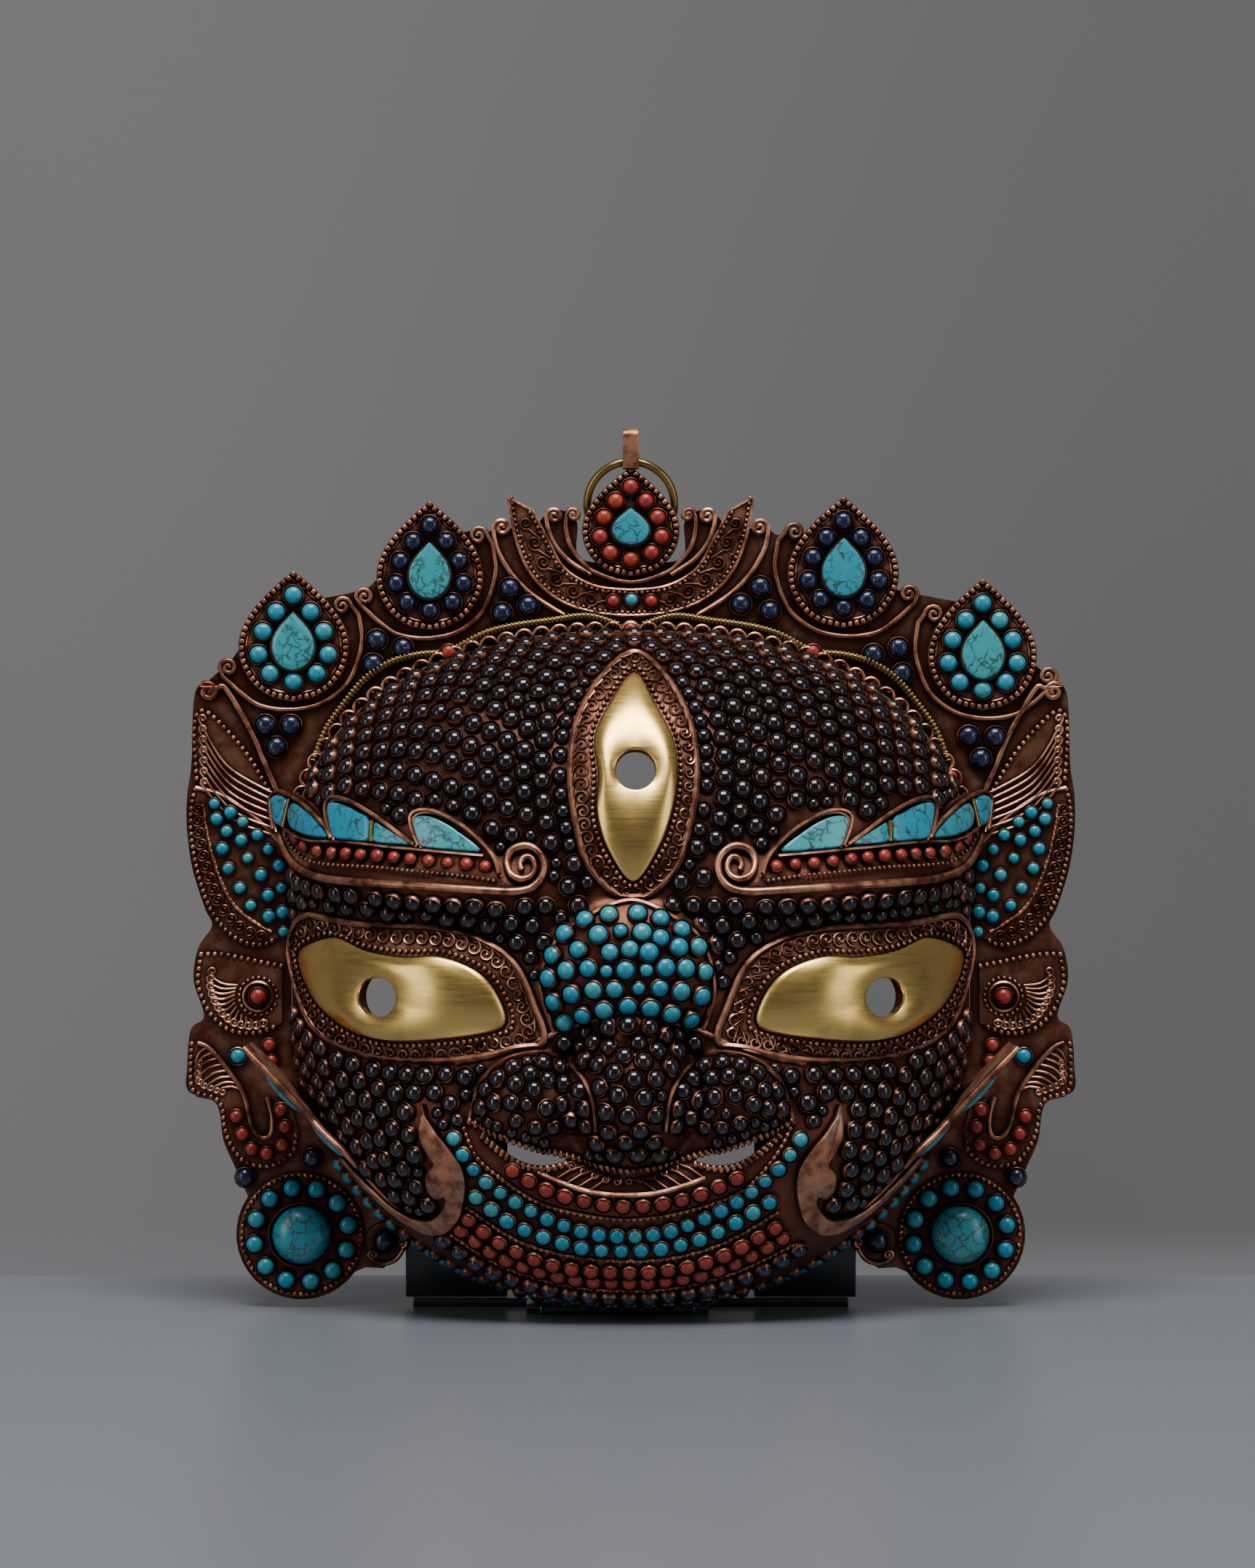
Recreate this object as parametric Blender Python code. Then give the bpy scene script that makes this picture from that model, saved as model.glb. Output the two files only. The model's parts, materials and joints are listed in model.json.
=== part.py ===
"""Ritual mask: a raised copper face in a crowned back plate, on its stand.

The mask faces -Y and stands upright, +Z up, in metres. The table is z = 0,
and the front of the back plate is the plane y = 0.
"""
import math

import bmesh
import bpy
from mathutils import Vector

MM = 0.001

# Fits and sheet thicknesses
GAP = 0.3 * MM              # between flat faces that touch
SINK = 1.2 * MM             # how deep a seated piece starts before it is cut to fit
PLATE_THICKNESS = 1.5 * MM
SHELL_WALL = 2.0 * MM
EYE_SHEET = 1.2 * MM
FRAME_RISE = 1.8 * MM
PETAL_SHEET = 1.4 * MM
BEZEL_RISE = 1.8 * MM
ORNAMENT_RISE = 2.2 * MM

# The face: half width, top, bottom and depth of the bowl
FACE_HALF_WIDTH = 93.0 * MM
DRAWN_HALF_WIDTH = 93.0      # millimetres; every x in the tables below belongs to this face width
ACROSS = FACE_HALF_WIDTH / (DRAWN_HALF_WIDTH * MM)
FACE_TOP_Z = 186.0 * MM
FACE_BOTTOM_Z = 3.0 * MM
FACE_DEPTH = 54.0 * MM
TEMPLE_Z = 120.0 * MM       # the rim runs straight down from here
JAW_Z = 85.0 * MM           # to here
MIDDLE_Z = 100.0 * MM       # the bowl is deepest here
FOREHEAD_POWER = 2.3        # squareness of the rim above the temples
JAW_POWER = 2.1             # and below the jaw
BOWL_POWER = 2.3            # profile of the bowl across the cheeks
CHIN_POWER = 7.0            # and down the chin, which is boxier
RUN_OUT_SHARE = 0.95        # past this share pieces leave the bowl tangentially

# Features raised on the bowl: x, z, half width, half height, rise, sharpness
FEATURES = (
    (0.0, 95.0, 24.0, 19.0, 8.5, 0.8),       # nose dome
    (0.0, 62.0, 18.0, 22.0, 14.0, 1.0),      # nose tip
    (27.0, 60.5, 14.0, 14.0, 8.5, 0.9),      # nostril wing
    (0.0, 147.0, 19.0, 34.0, 3.0, 1.2),      # third eye
    (62.0, 90.0, 40.0, 25.0, -4.5, 1.2),     # eye socket
    (60.0, 89.0, 31.0, 18.0, 8.0, 1.0),      # eyeball
    (56.0, 46.0, 28.0, 24.0, 4.0, 1.5),      # cheek
)
BROW_RISE = 5.0 * MM
BROW_SPREAD = 7.0 * MM
BROW_Z = 115.5 * MM         # lowest point of the brow's rail
BROW_LIFT = 9.0 * MM        # how far the rail climbs to the temple
BROW_INNER_X = 26.0 * MM * ACROSS
BROW_OUTER_X = FACE_HALF_WIDTH + 2.0 * MM
MOUTH_Z = 42.0 * MM         # the lips meet here on the middle line
MOUTH_CLIMB = 12.5 * MM     # and this much higher at the corners
MOUTH_HALF = 43.0 * MM * ACROSS
LIP_RISE = 4.0 * MM
LIP_SPREAD = 6.0 * MM


def material(name, color, roughness, metallic):
    """A plain finish in the piece's own colour."""
    mat = bpy.data.materials.new(name)
    mat.use_nodes = True
    shader = mat.node_tree.nodes["Principled BSDF"]
    shader.inputs["Base Color"].default_value = (*color, 1.0)
    shader.inputs["Roughness"].default_value = roughness
    shader.inputs["Metallic"].default_value = metallic
    return mat


def add_object(name, bm, finish, smooth_angle=35.0):
    """Turn a bmesh into a named object with its finish."""
    bmesh.ops.recalc_face_normals(bm, faces=bm.faces)
    mesh = bpy.data.meshes.new(name)
    bm.to_mesh(mesh)
    bm.free()
    mesh.shade_smooth()
    mesh.set_sharp_from_angle(angle=math.radians(smooth_angle))
    mesh.materials.append(finish)
    obj = bpy.data.objects.new(name, mesh)
    bpy.context.scene.collection.objects.link(obj)
    return obj


def mirrored(points):
    """The same outline on the other side of the middle line."""
    return [(-x, z) for x, z in reversed(points)]


def closed_curve(points, count):
    """Sample a smooth closed curve through the points, evenly by length."""
    fine = []
    total = len(points)
    steps = 12
    for i in range(total):
        before, start, end, after = (Vector(points[(i + k) % total]) for k in (-1, 0, 1, 2))
        for step in range(steps):
            fine.append(catmull_rom(before, start, end, after, step / steps))
    return even_samples(fine + fine[:1], count, closed=True)


def open_curve(points, count):
    """Sample a smooth open curve through the points, evenly by length."""
    ends = [points[0], *points, points[-1]]
    fine = []
    steps = 12
    for i in range(len(points) - 1):
        before, start, end, after = (Vector(ends[i + k]) for k in range(4))
        for step in range(steps):
            fine.append(catmull_rom(before, start, end, after, step / steps))
    return even_samples(fine + [Vector(points[-1])], count, closed=False)


def catmull_rom(before, start, end, after, t):
    return 0.5 * (2 * start + (end - before) * t
                  + (2 * before - 5 * start + 4 * end - after) * t ** 2
                  + (3 * start - before - 3 * end + after) * t ** 3)


def even_samples(fine, count, closed):
    """Pick points at equal steps of length along a finely sampled line."""
    lengths = [0.0]
    for start, end in zip(fine, fine[1:]):
        lengths.append(lengths[-1] + (end - start).length)
    pieces = count if closed else count - 1
    samples = []
    index = 0
    for i in range(count):
        wanted = min(lengths[-1], lengths[-1] * i / pieces)
        while index < len(fine) - 2 and lengths[index + 1] < wanted:
            index += 1
        span = lengths[index + 1] - lengths[index]
        share = (wanted - lengths[index]) / span if span else 0.0
        samples.append(fine[index].lerp(fine[index + 1], share))
    return samples


def in_mm(points):
    """Outline points given in millimetres, as metres, spread to the face's width."""
    return [(x * MM * ACROSS, z * MM) for x, z in points]


def rim_measure(x, z):
    """Below 1 inside the face's rim, 1 on it."""
    across = abs(x) / FACE_HALF_WIDTH
    if z > TEMPLE_Z:
        up = (z - TEMPLE_Z) / (FACE_TOP_Z - TEMPLE_Z)
        return (across ** FOREHEAD_POWER + up ** FOREHEAD_POWER) ** (1 / FOREHEAD_POWER)
    if z < JAW_Z:
        down = (JAW_Z - z) / (JAW_Z - FACE_BOTTOM_Z)
        return (across ** JAW_POWER + down ** JAW_POWER) ** (1 / JAW_POWER)
    return across


def rim_distance(angle):
    """How far the rim lies from the bowl's middle, in this direction."""
    low, high = 0.0, FACE_TOP_Z
    for _ in range(40):
        middle = (low + high) / 2
        inside = rim_measure(middle * math.cos(angle), MIDDLE_Z + middle * math.sin(angle)) < 1.0
        low, high = (middle, high) if inside else (low, middle)
    return low


def bowl_depth(share, angle):
    """Depth of the bare bowl at a share of the way to the rim."""
    chin = max(0.0, -math.sin(angle)) ** 3
    power = BOWL_POWER + (CHIN_POWER - BOWL_POWER) * chin
    root = 2.0 + 2.0 * chin
    return FACE_DEPTH * max(0.0, 1.0 - share ** power) ** (1.0 / root)


def brow_z(x):
    """Height of the brow's rail across the face."""
    across = max(0.0, abs(x) - BROW_INNER_X) / (BROW_OUTER_X - BROW_INNER_X)
    return BROW_Z + BROW_LIFT * across ** 3


def mouth_z(x):
    """Height of the line between the lips."""
    return MOUTH_Z + MOUTH_CLIMB * (abs(x) / MOUTH_HALF) ** 1.4


def feature_rise(x, z):
    """What the nose, eyes, brows, cheeks and lips add to the bowl."""
    rise = 0.0
    for at_x, at_z, wide, high, tall, sharp in FEATURES:
        away = ((abs(x) / MM / ACROSS - at_x) / wide) ** 2 + ((z / MM - at_z) / high) ** 2
        rise += tall * MM * max(0.0, 1.0 - away) ** sharp
    from_brow = (z - brow_z(x)) / BROW_SPREAD
    inward = min(1.0, max(0.0, (abs(x) - BROW_INNER_X / 2) / BROW_INNER_X))
    rise += BROW_RISE * inward * math.exp(-from_brow ** 2)
    if abs(x) < MOUTH_HALF * 1.2:
        below_lip = (z - mouth_z(x) + LIP_SPREAD) / LIP_SPREAD
        fade = max(0.0, 1.0 - (x / (MOUTH_HALF * 1.2)) ** 2)
        rise += LIP_RISE * fade * math.exp(-below_lip ** 2)
    return rise


def face_depth(x, z):
    """How far the face stands in front of the plate at this place."""
    dx, dz = x, z - MIDDLE_Z
    angle = math.atan2(dz, dx)
    share = math.hypot(dx, dz) / rim_distance(angle)
    if share <= RUN_OUT_SHARE:
        return bowl_depth(share, angle) + feature_rise(x, z) * edge_fade(share)
    step = 0.01
    depth = bowl_depth(RUN_OUT_SHARE, angle)
    slope = (depth - bowl_depth(RUN_OUT_SHARE - step, angle)) / step
    rise = feature_rise(x, z) * edge_fade(RUN_OUT_SHARE)
    return depth + rise + slope * (share - RUN_OUT_SHARE)


def edge_fade(share):
    """Features die out towards the rim."""
    return 1.0 - max(0.0, share) ** 8


def face_normal(x, z):
    """Outward direction of the face at this place."""
    step = 0.4 * MM
    slope_x = (face_depth(x + step, z) - face_depth(x - step, z)) / (2 * step)
    slope_z = (face_depth(x, z + step) - face_depth(x, z - step)) / (2 * step)
    return Vector((-slope_x, -1.0, -slope_z)).normalized()


def on_face(x, z, lift):
    """A point this far off the face's surface."""
    return Vector((x, -face_depth(x, z), z)) + face_normal(x, z) * lift


# The shell's mesh and its openings
SHELL_AROUND = 48
SHELL_RINGS = (1.0, 0.975, 0.935, 0.88, 0.815, 0.745, 0.67, 0.595, 0.52, 0.44, 0.355, 0.27, 0.18, 0.09)
INNER_RINGS = (0.99, 0.92, 0.81, 0.69, 0.55, 0.4, 0.22)
PUPIL_RADIUS = 5.2 * MM
PUPIL_MARGIN = 1.0 * MM      # the shell's hole is this much wider than the plate's
SLIT_HEIGHT = 4.6 * MM
SLIT_INNER_X = MOUTH_HALF - 26.0 * MM
SLIT_OUTER_X = MOUTH_HALF - 4.0 * MM

# Outlines of the eye plates and their frames, x and z in millimetres
EYE_PLATE = ((90.0, 97.5), (84.5, 102.0), (78.5, 103.0), (70.0, 99.5), (60.0, 98.0), (50.0, 98.3),
             (40.0, 94.5), (34.5, 88.0), (32.5, 80.5), (38.5, 78.0), (58.0, 75.8), (69.0, 76.5),
             (77.5, 79.8), (85.5, 86.5))
EYE_FRAME = ((92.5, 98.0), (88.5, 108.0), (77.5, 107.3), (66.0, 106.0), (52.0, 105.3), (39.0, 102.5),
             (30.5, 96.5), (25.5, 86.0), (23.0, 76.0), (32.5, 73.4), (46.0, 70.8), (60.0, 70.6),
             (74.0, 72.6), (86.0, 79.5))
EYE_PUPIL = (67.0, 87.3)
THIRD_PLATE = ((1.0, 174.0), (6.5, 165.0), (11.0, 156.0), (12.2, 147.0), (11.0, 137.0), (7.5, 127.0),
               (0.7, 117.5), (-6.0, 126.0), (-9.0, 136.0), (-8.4, 146.0), (-9.6, 156.0), (-5.5, 165.5))
THIRD_FRAME = ((1.0, 179.0), (9.5, 172.0), (15.5, 160.0), (17.2, 146.0), (15.0, 132.0), (11.0, 121.0),
               (0.7, 113.6), (-10.0, 121.0), (-14.2, 133.0), (-15.8, 147.0), (-14.2, 160.0),
               (-8.0, 172.0))
THIRD_PUPIL = (1.2, 147.5)
PLATE_MARGIN = 1.0 * MM      # between a plate and its frame, across the curved face
OUTLINE_STEPS = 24
FACE_CLEARANCE = "face_clearance"


def bridge(bm, first, second):
    """Join two rings by triangles whose diagonals all run the same way."""
    total = len(first)
    for i in range(total):
        after = (i + 1) % total
        bm.faces.new((first[i], first[after], second[after]))
        bm.faces.new((first[i], second[after], second[i]))


def shell_ring(bm, share, inward):
    """One ring of the bowl, on its outer or its inner side."""
    ring = []
    for i in range(SHELL_AROUND):
        angle = 2 * math.pi * i / SHELL_AROUND
        away = rim_distance(angle) * share
        x, z = away * math.cos(angle), MIDDLE_Z + away * math.sin(angle)
        normal = face_normal(x, z) if share < 0.985 else Vector((math.cos(angle), 0, math.sin(angle)))
        depth = bowl_depth(share, angle) + feature_rise(x, z) * edge_fade(share)
        ring.append(bm.verts.new(Vector((x, -depth, z)) - normal * inward))
    return ring


def face_shell_mesh():
    """The hollow face: two skins joined round the rim."""
    bm = bmesh.new()
    outer = [shell_ring(bm, share, 0.0) for share in SHELL_RINGS]
    inner = [shell_ring(bm, share, SHELL_WALL) for share in INNER_RINGS]
    back = [outer[0], inner[0]]
    skirts = []
    for ring in back:
        skirts.append([bm.verts.new(Vector((v.co.x, PLATE_THICKNESS, v.co.z))) for v in ring])
    for skin in (outer, inner):
        for first, second in zip(skin, skin[1:]):
            bridge(bm, first, second)
    bridge(bm, skirts[0], outer[0])
    bridge(bm, skirts[1], inner[0])
    bridge(bm, skirts[0], skirts[1])
    front_middle = bm.verts.new(on_face(0.0, MIDDLE_Z, 0.0))
    back_middle = bm.verts.new(on_face(0.0, MIDDLE_Z, -SHELL_WALL))
    for ring, middle in ((outer[-1], front_middle), (inner[-1], back_middle)):
        for i in range(SHELL_AROUND):
            bm.faces.new((ring[i], ring[(i + 1) % SHELL_AROUND], middle))
    return bm


def hidden_shape(name, bm, finish):
    """A shape that only cuts or joins others."""
    shape = add_object(name, bm, finish)
    shape.hide_render = True
    shape.display_type = "WIRE"
    return shape


def combine(target, shape, operation="DIFFERENCE"):
    """Take a hidden shape out of a piece, or join it on."""
    modifier = target.modifiers.new(shape.name, "BOOLEAN")
    modifier.object = shape
    modifier.operation = operation


def cut(target, name, bm):
    """Take a new hidden shape out of a piece."""
    combine(target, hidden_shape(name, bm, target.data.materials[0]))


def add_face_clearance(finish):
    """The solid that pieces on the face are cut back from."""
    bm = bmesh.new()
    rings = [shell_ring(bm, share, -GAP) for share in SHELL_RINGS]
    skirt = [bm.verts.new(Vector((v.co.x, 2 * PLATE_THICKNESS, v.co.z))) for v in rings[0]]
    for first, second in zip(rings, rings[1:]):
        bridge(bm, first, second)
    bridge(bm, skirt, rings[0])
    bm.faces.new(skirt)
    middle = bm.verts.new(on_face(0.0, MIDDLE_Z, GAP))
    for i in range(SHELL_AROUND):
        bm.faces.new((rings[-1][i], rings[-1][(i + 1) % SHELL_AROUND], middle))
    return hidden_shape(FACE_CLEARANCE, bm, finish)


def add_seated(name, bm, finish):
    """A piece that lies on the face: its underside is cut to fit."""
    piece = add_object(name, bm, finish)
    combine(piece, bpy.data.objects[FACE_CLEARANCE])
    return piece


def pupil_cutter(x, z, radius):
    """A round bar through the face, square to its surface."""
    bm = bmesh.new()
    bmesh.ops.create_cone(bm, cap_ends=True, segments=16, radius1=radius, radius2=radius,
                          depth=8 * SHELL_WALL)
    turn = Vector((0, 0, 1)).rotation_difference(face_normal(x, z)).to_matrix()
    bmesh.ops.transform(bm, matrix=turn.to_4x4(), verts=bm.verts)
    bmesh.ops.translate(bm, vec=on_face(x, z, -SHELL_WALL / 2), verts=bm.verts)
    return bm


def slit_outline(side):
    """A mouth slit: its top follows the lip and its bottom sags."""
    steps = 6
    top, bottom = [], []
    for i in range(steps + 1):
        share = i / steps
        x = SLIT_INNER_X + (SLIT_OUTER_X - SLIT_INNER_X) * share
        z = mouth_z(x)
        sag = SLIT_HEIGHT * math.sin(math.pi * min(0.999, 0.06 + 0.88 * share))
        top.append((side * x, z))
        bottom.append((side * x, z - sag))
    return top + bottom[::-1]


def prism(outline, front, back):
    """A flat piece: an outline in x and z, given its thickness in y."""
    bm = bmesh.new()
    face = bm.faces.new([bm.verts.new((x, front, z)) for x, z in outline])
    grown = bmesh.ops.extrude_face_region(bm, geom=[face])
    moved = [item for item in grown["geom"] if isinstance(item, bmesh.types.BMVert)]
    bmesh.ops.translate(bm, vec=(0, back - front, 0), verts=moved)
    return bm


def band(inner, outer, low, high, rows=1):
    """A raised sheet between two closed outlines, following the face."""
    bm = bmesh.new()
    skins = []
    for lift in (low, high):
        skin = []
        for row in range(rows + 1):
            share = row / rows
            points = [start.lerp(end, share) for start, end in zip(inner, outer)]
            skin.append([bm.verts.new(on_face(p.x, p.y, lift)) for p in points])
        skins.append(skin)
    for skin in skins:
        for first, second in zip(skin, skin[1:]):
            bridge(bm, first, second)
    bridge(bm, skins[0][0], skins[1][0])
    bridge(bm, skins[0][-1], skins[1][-1])
    return bm


def ring_facing(outline, center, radius):
    """Points round a pupil, each on the line to its outline point."""
    middle = Vector(center)
    return [middle + (point - middle).normalized() * radius for point in outline]


def ray_hit(outline, middle, towards):
    """Where the line from the middle towards a point crosses an outline."""
    ray = (towards - middle).normalized()
    farthest = 0.0
    for start, end in zip(outline, outline[1:] + outline[:1]):
        first, second = start - middle, end - middle
        side_first = ray.x * first.y - ray.y * first.x
        side_second = ray.x * second.y - ray.y * second.x
        if side_first * side_second <= 0.0 and side_first != side_second:
            crossing = first.lerp(second, side_first / (side_first - side_second))
            farthest = max(farthest, crossing.dot(ray))
    return middle + ray * farthest


def inset(outline, margin):
    """The closed outline moved inwards, square to its own edges."""
    middle = sum(outline, Vector((0.0, 0.0))) / len(outline)
    moved = []
    for i, point in enumerate(outline):
        along = (outline[(i + 1) % len(outline)] - outline[i - 1]).normalized()
        across = Vector((-along.y, along.x))
        if across.dot(middle - point) < 0:
            across.negate()
        moved.append(point + across * margin)
    return moved


def add_eye(side_name, plate, frame, pupil, brass, copper):
    """One eye: a pierced brass plate inside a raised copper frame."""
    pupil = in_mm([pupil])[0]
    rim = closed_curve(in_mm(frame), OUTLINE_STEPS)
    middle = sum(rim, Vector((0.0, 0.0))) / len(rim)
    fine = closed_curve(in_mm(plate), 4 * OUTLINE_STEPS)
    edge = [ray_hit(fine, middle, point) for point in rim]
    hole = ring_facing(edge, pupil, PUPIL_RADIUS)
    inside = inset(edge, PLATE_MARGIN)
    add_seated(f"eye_plate_{side_name}", band(hole, inside, -SINK, GAP + EYE_SHEET, rows=2), brass)
    add_seated(f"eye_frame_{side_name}", band(edge, rim, -SINK, GAP + FRAME_RISE), copper)


def add_face(copper):
    """The hollow face with its pupils and mouth slits."""
    shell = add_object("face_shell", face_shell_mesh(), copper)
    pupils = in_mm([(-EYE_PUPIL[0], EYE_PUPIL[1]), EYE_PUPIL, THIRD_PUPIL])
    for name, (x, z) in zip(("left", "right", "third"), pupils):
        cut(shell, f"pupil_cut_{name}", pupil_cutter(x, z, PUPIL_RADIUS + PUPIL_MARGIN))
    for name, side in (("left", -1), ("right", 1)):
        outline = slit_outline(side)
        cut(shell, f"slit_cut_{name}", prism(outline, -2 * FACE_DEPTH, -SHELL_WALL))



# The back plate: its edge on the right half, from the top middle down, in millimetres
PLATE_EDGE = ((0.0, 205.0), (13.8, 206.0), (14.8, 216.0), (18.6, 219.2), (23.0, 218.4), (27.0, 214.4),
              (32.0, 214.0), (36.2, 215.8), (40.0, 212.6), (44.0, 213.6), (50.0, 212.0), (58.0, 210.0),
              (66.0, 204.6), (72.0, 198.2), (77.0, 196.6), (83.0, 195.4), (90.0, 194.0), (97.0, 191.6),
              (104.0, 186.0), (109.5, 178.6), (113.0, 175.2), (116.4, 172.2), (120.0, 168.4), (120.8, 150.0),
              (122.0, 141.0),
              (122.2, 132.0), (120.6, 121.0), (117.2, 110.0), (115.2, 105.0), (119.0, 98.8),
              (120.2, 90.0), (117.4, 80.2), (121.0, 76.4), (122.0, 66.0), (121.6, 59.5), (114.0, 56.0),
              (112.0, 46.0), (110.0, 39.0))
PLATE_CORNERS = ((73.0, 11.0), (68.0, 10.8), (61.0, 16.5))
PLATE_END_COUNT = 7          # the plate's ends stop this many steps below the middle
LOBE_FIRST_TURN = 35.0       # degrees; the plate's lobe runs round the roundel from here
LOBE_TURN = 30.0             # in turns of this size
LOBE_COUNT = 7

# Petals of the crown: name, middle x, tip z, bottom z and half width, in millimetres
PETALS = (
    ("left_outer", -92.6, 202.6, 166.6, 15.2),
    ("left_inner", -55.2, 221.8, 186.2, 14.7),
    ("centre", 0.0, 231.2, 201.0, 13.4),
    ("right_inner", 58.4, 223.0, 186.8, 15.3),
    ("right_outer", 96.6, 200.4, 164.2, 15.0),
)
PETAL_POINTS = 16
PETAL_BULGE = 0.58           # share of the height, from the tip, where it is widest
DROP_TIP = 11.0              # from the petal's tip to its drop stone's, in millimetres
DROP_BOTTOM = 8.0            # and from bottom to bottom
DROP_SHARE = 0.42            # of the petal's half width
DROP_RISE = 3.4 * MM
BEZEL_COUNT = 10
BEZEL_RING = 0.7             # size of the ring of bezels beside the petal's outline
BEZEL_RADIUS = 2.7 * MM
BEZEL_SIDES = 6
CRADLE_WIRE = 0.7 * MM
CRADLE_SHARE = 0.36          # how much of the petal's outline stays free at the tip

# Pieces of the crown and sides on the right half, in millimetres
CRESCENT_OUTER = ((0.0, 190.3), (10.0, 191.2), (20.0, 194.8), (27.5, 202.0), (31.6, 211.6), (33.6, 222.5))
CRESCENT_INNER = ((27.0, 219.0), (22.8, 211.2), (18.2, 203.2), (10.0, 198.4), (0.0, 197.2))
ARC_CENTRE = ((3.6, 187.8), (12.0, 190.2), (22.0, 188.9), (32.0, 187.5), (40.0, 185.4), (47.5, 181.5))
ARC_SIDE = ((52.8, 180.0), (59.2, 179.4), (66.0, 177.4), (73.0, 172.8), (79.0, 165.6), (83.6, 159.0),
            (87.0, 150.5))
ARC_WIRE = 1.0 * MM
UPPER_FAN = ((119.5, 145.6), (120.4, 157.6), (119.6, 163.8), (114.2, 162.0), (107.4, 154.8),
             (102.8, 148.4), (98.4, 140.5), (96.2, 131.5), (108.0, 139.8))
LEAF = ((120.4, 143.0), (121.8, 137.0), (121.6, 130.0), (120.2, 121.8), (117.0, 111.5), (112.2, 103.8),
        (106.6, 100.0), (100.0, 99.3), (95.2, 102.0), (94.8, 124.5), (106.0, 132.8))
EAR_FAN = ((118.6, 97.2), (111.6, 97.4), (102.4, 95.4), (95.8, 94.2), (95.6, 78.0), (98.2, 76.2),
           (103.4, 74.6), (108.0, 74.8), (112.0, 76.4), (116.2, 80.2), (118.8, 85.2), (120.0, 90.2))
HOOK = ((120.5, 73.4), (121.8, 67.0), (121.6, 60.4), (119.2, 58.0), (114.6, 57.0), (112.8, 54.6),
        (112.0, 49.8), (110.4, 45.2), (106.5, 40.2), (100.6, 38.4), (95.5, 39.6), (92.0, 43.0),
        (91.4, 48.5), (93.5, 56.0), (97.6, 57.6), (98.6, 53.0), (99.0, 48.8), (101.0, 47.2),
        (103.2, 48.8), (104.8, 53.0), (107.0, 60.0), (110.0, 65.0), (114.0, 70.4))
ROUNDEL_AT = (90.5, 20.2)
ROUNDEL_RADIUS = 17.4 * MM
ROUNDEL_SIDES = 20
ROUNDEL_BEZELS = 12
ROUNDEL_RING = 13.2 * MM
STONE_RADIUS = 8.6 * MM
STONE_RISE = 6.0 * MM
SCROLL_AT = (67.6, 18.4)
SCROLL_RADIUS = 5.1 * MM

# Brows and whiskers on the right half, in millimetres
BROW_FLAMES = ((35.4, 119.6), (36.6, 124.4), (39.9, 130.5), (46.1, 135.3), (52.4, 136.7),
               (57.6, 135.3), (59.0, 128.0), (63.5, 132.4), (71.3, 137.8), (77.9, 139.9),
               (80.6, 138.6), (81.4, 130.5), (84.0, 136.8), (88.6, 140.4), (93.0, 141.4), (95.4, 139.5))
BROW_RAIL = ((95.6, 138.0), (94.0, 131.0), (90.8, 125.0), (85.6, 121.0), (77.0, 118.9), (64.7, 117.2),
             (46.1, 115.8), (33.7, 115.0), (27.3, 115.8), (23.3, 118.8), (22.6, 123.0), (24.9, 126.6),
             (28.9, 127.6), (32.3, 125.4), (32.6, 121.8), (30.0, 119.8))
BROW_THICKNESS = 3.0 * MM
RAIL_WIRE = 1.15 * MM
RAIL_POINTS = 22
RAIL_STRAIGHT_COUNT = 8      # this many of its points run along the brow
WHISKER_HOOK = ((73.4, 41.6), (66.0, 33.6), (59.5, 28.0), (53.0, 25.9), (47.8, 28.4), (45.6, 34.4),
                (46.6, 42.2), (50.6, 50.0), (55.0, 57.0))
WHISKER_LINE = ((76.4, 44.6), (84.5, 52.0), (93.6, 62.4), (104.0, 73.0))
WHISKER_WIRE = 1.7 * MM
WHISKER_THICKNESS = 2.6 * MM
WHISKER_BACK = 9.0 * MM      # its back edge stands this far off the plate
WHISKER_FRONT = 27.0 * MM
WHISKER_FLAME = 5.0 * MM     # how far its two flames stand forward
WHISKER_COUNT = 12           # points along its wire and its tray
WHISKER_WAVES = 0.9          # turns of the wave that makes the two flames

# The hanging ring, its bail and the stand
RING_RADIUS = 12.0 * MM
RING_WIRE = 1.15 * MM
RING_TILT = 13.0             # degrees, top forward
BAIL_WIDTH = 4.5 * MM
BAIL_STRAP = 0.9 * MM
BAIL_HEIGHT = 14.0 * MM
STAND_SHEET = 2.4 * MM
UPRIGHT_SHEET = 3.0 * MM
UPRIGHT_INNER_X = 34.0 * MM
UPRIGHT_OUTER_X = 62.0 * MM
UPRIGHT_TOP_Z = 196.0 * MM
UPRIGHT_TOP_WIDTH = 15.0 * MM
BASE_HALF_WIDTH = 60.0 * MM
BASE_BACK = 72.0 * MM
TONGUE_MIDDLE_X = -3.6 * MM
TONGUE_HALF_WIDTH = 24.8 * MM
TONGUE_FRONT = 18.0 * MM
TONGUE_CHAMFER = 4.0 * MM


def rim_point(step, margin):
    """A point of the face's rim, moved outwards by a margin."""
    angle = 2 * math.pi * step / SHELL_AROUND
    away = rim_distance(angle) + margin
    return (away * math.cos(angle), MIDDLE_Z + away * math.sin(angle))


def clear_of_rim(point, margin):
    """The point itself, or the nearest one this far outside the rim."""
    dx, dz = point[0], point[1] - MIDDLE_Z
    angle = math.atan2(dz, dx)
    away = max(math.hypot(dx, dz), rim_distance(angle) + margin)
    return Vector((away * math.cos(angle), MIDDLE_Z + away * math.sin(angle)))


def circle(middle, radius, sides, start=0.0):
    """Points round a circle in x and z."""
    turns = [start + 2 * math.pi * i / sides for i in range(sides)]
    return [(middle[0] + radius * math.cos(t), middle[1] + radius * math.sin(t)) for t in turns]


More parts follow.
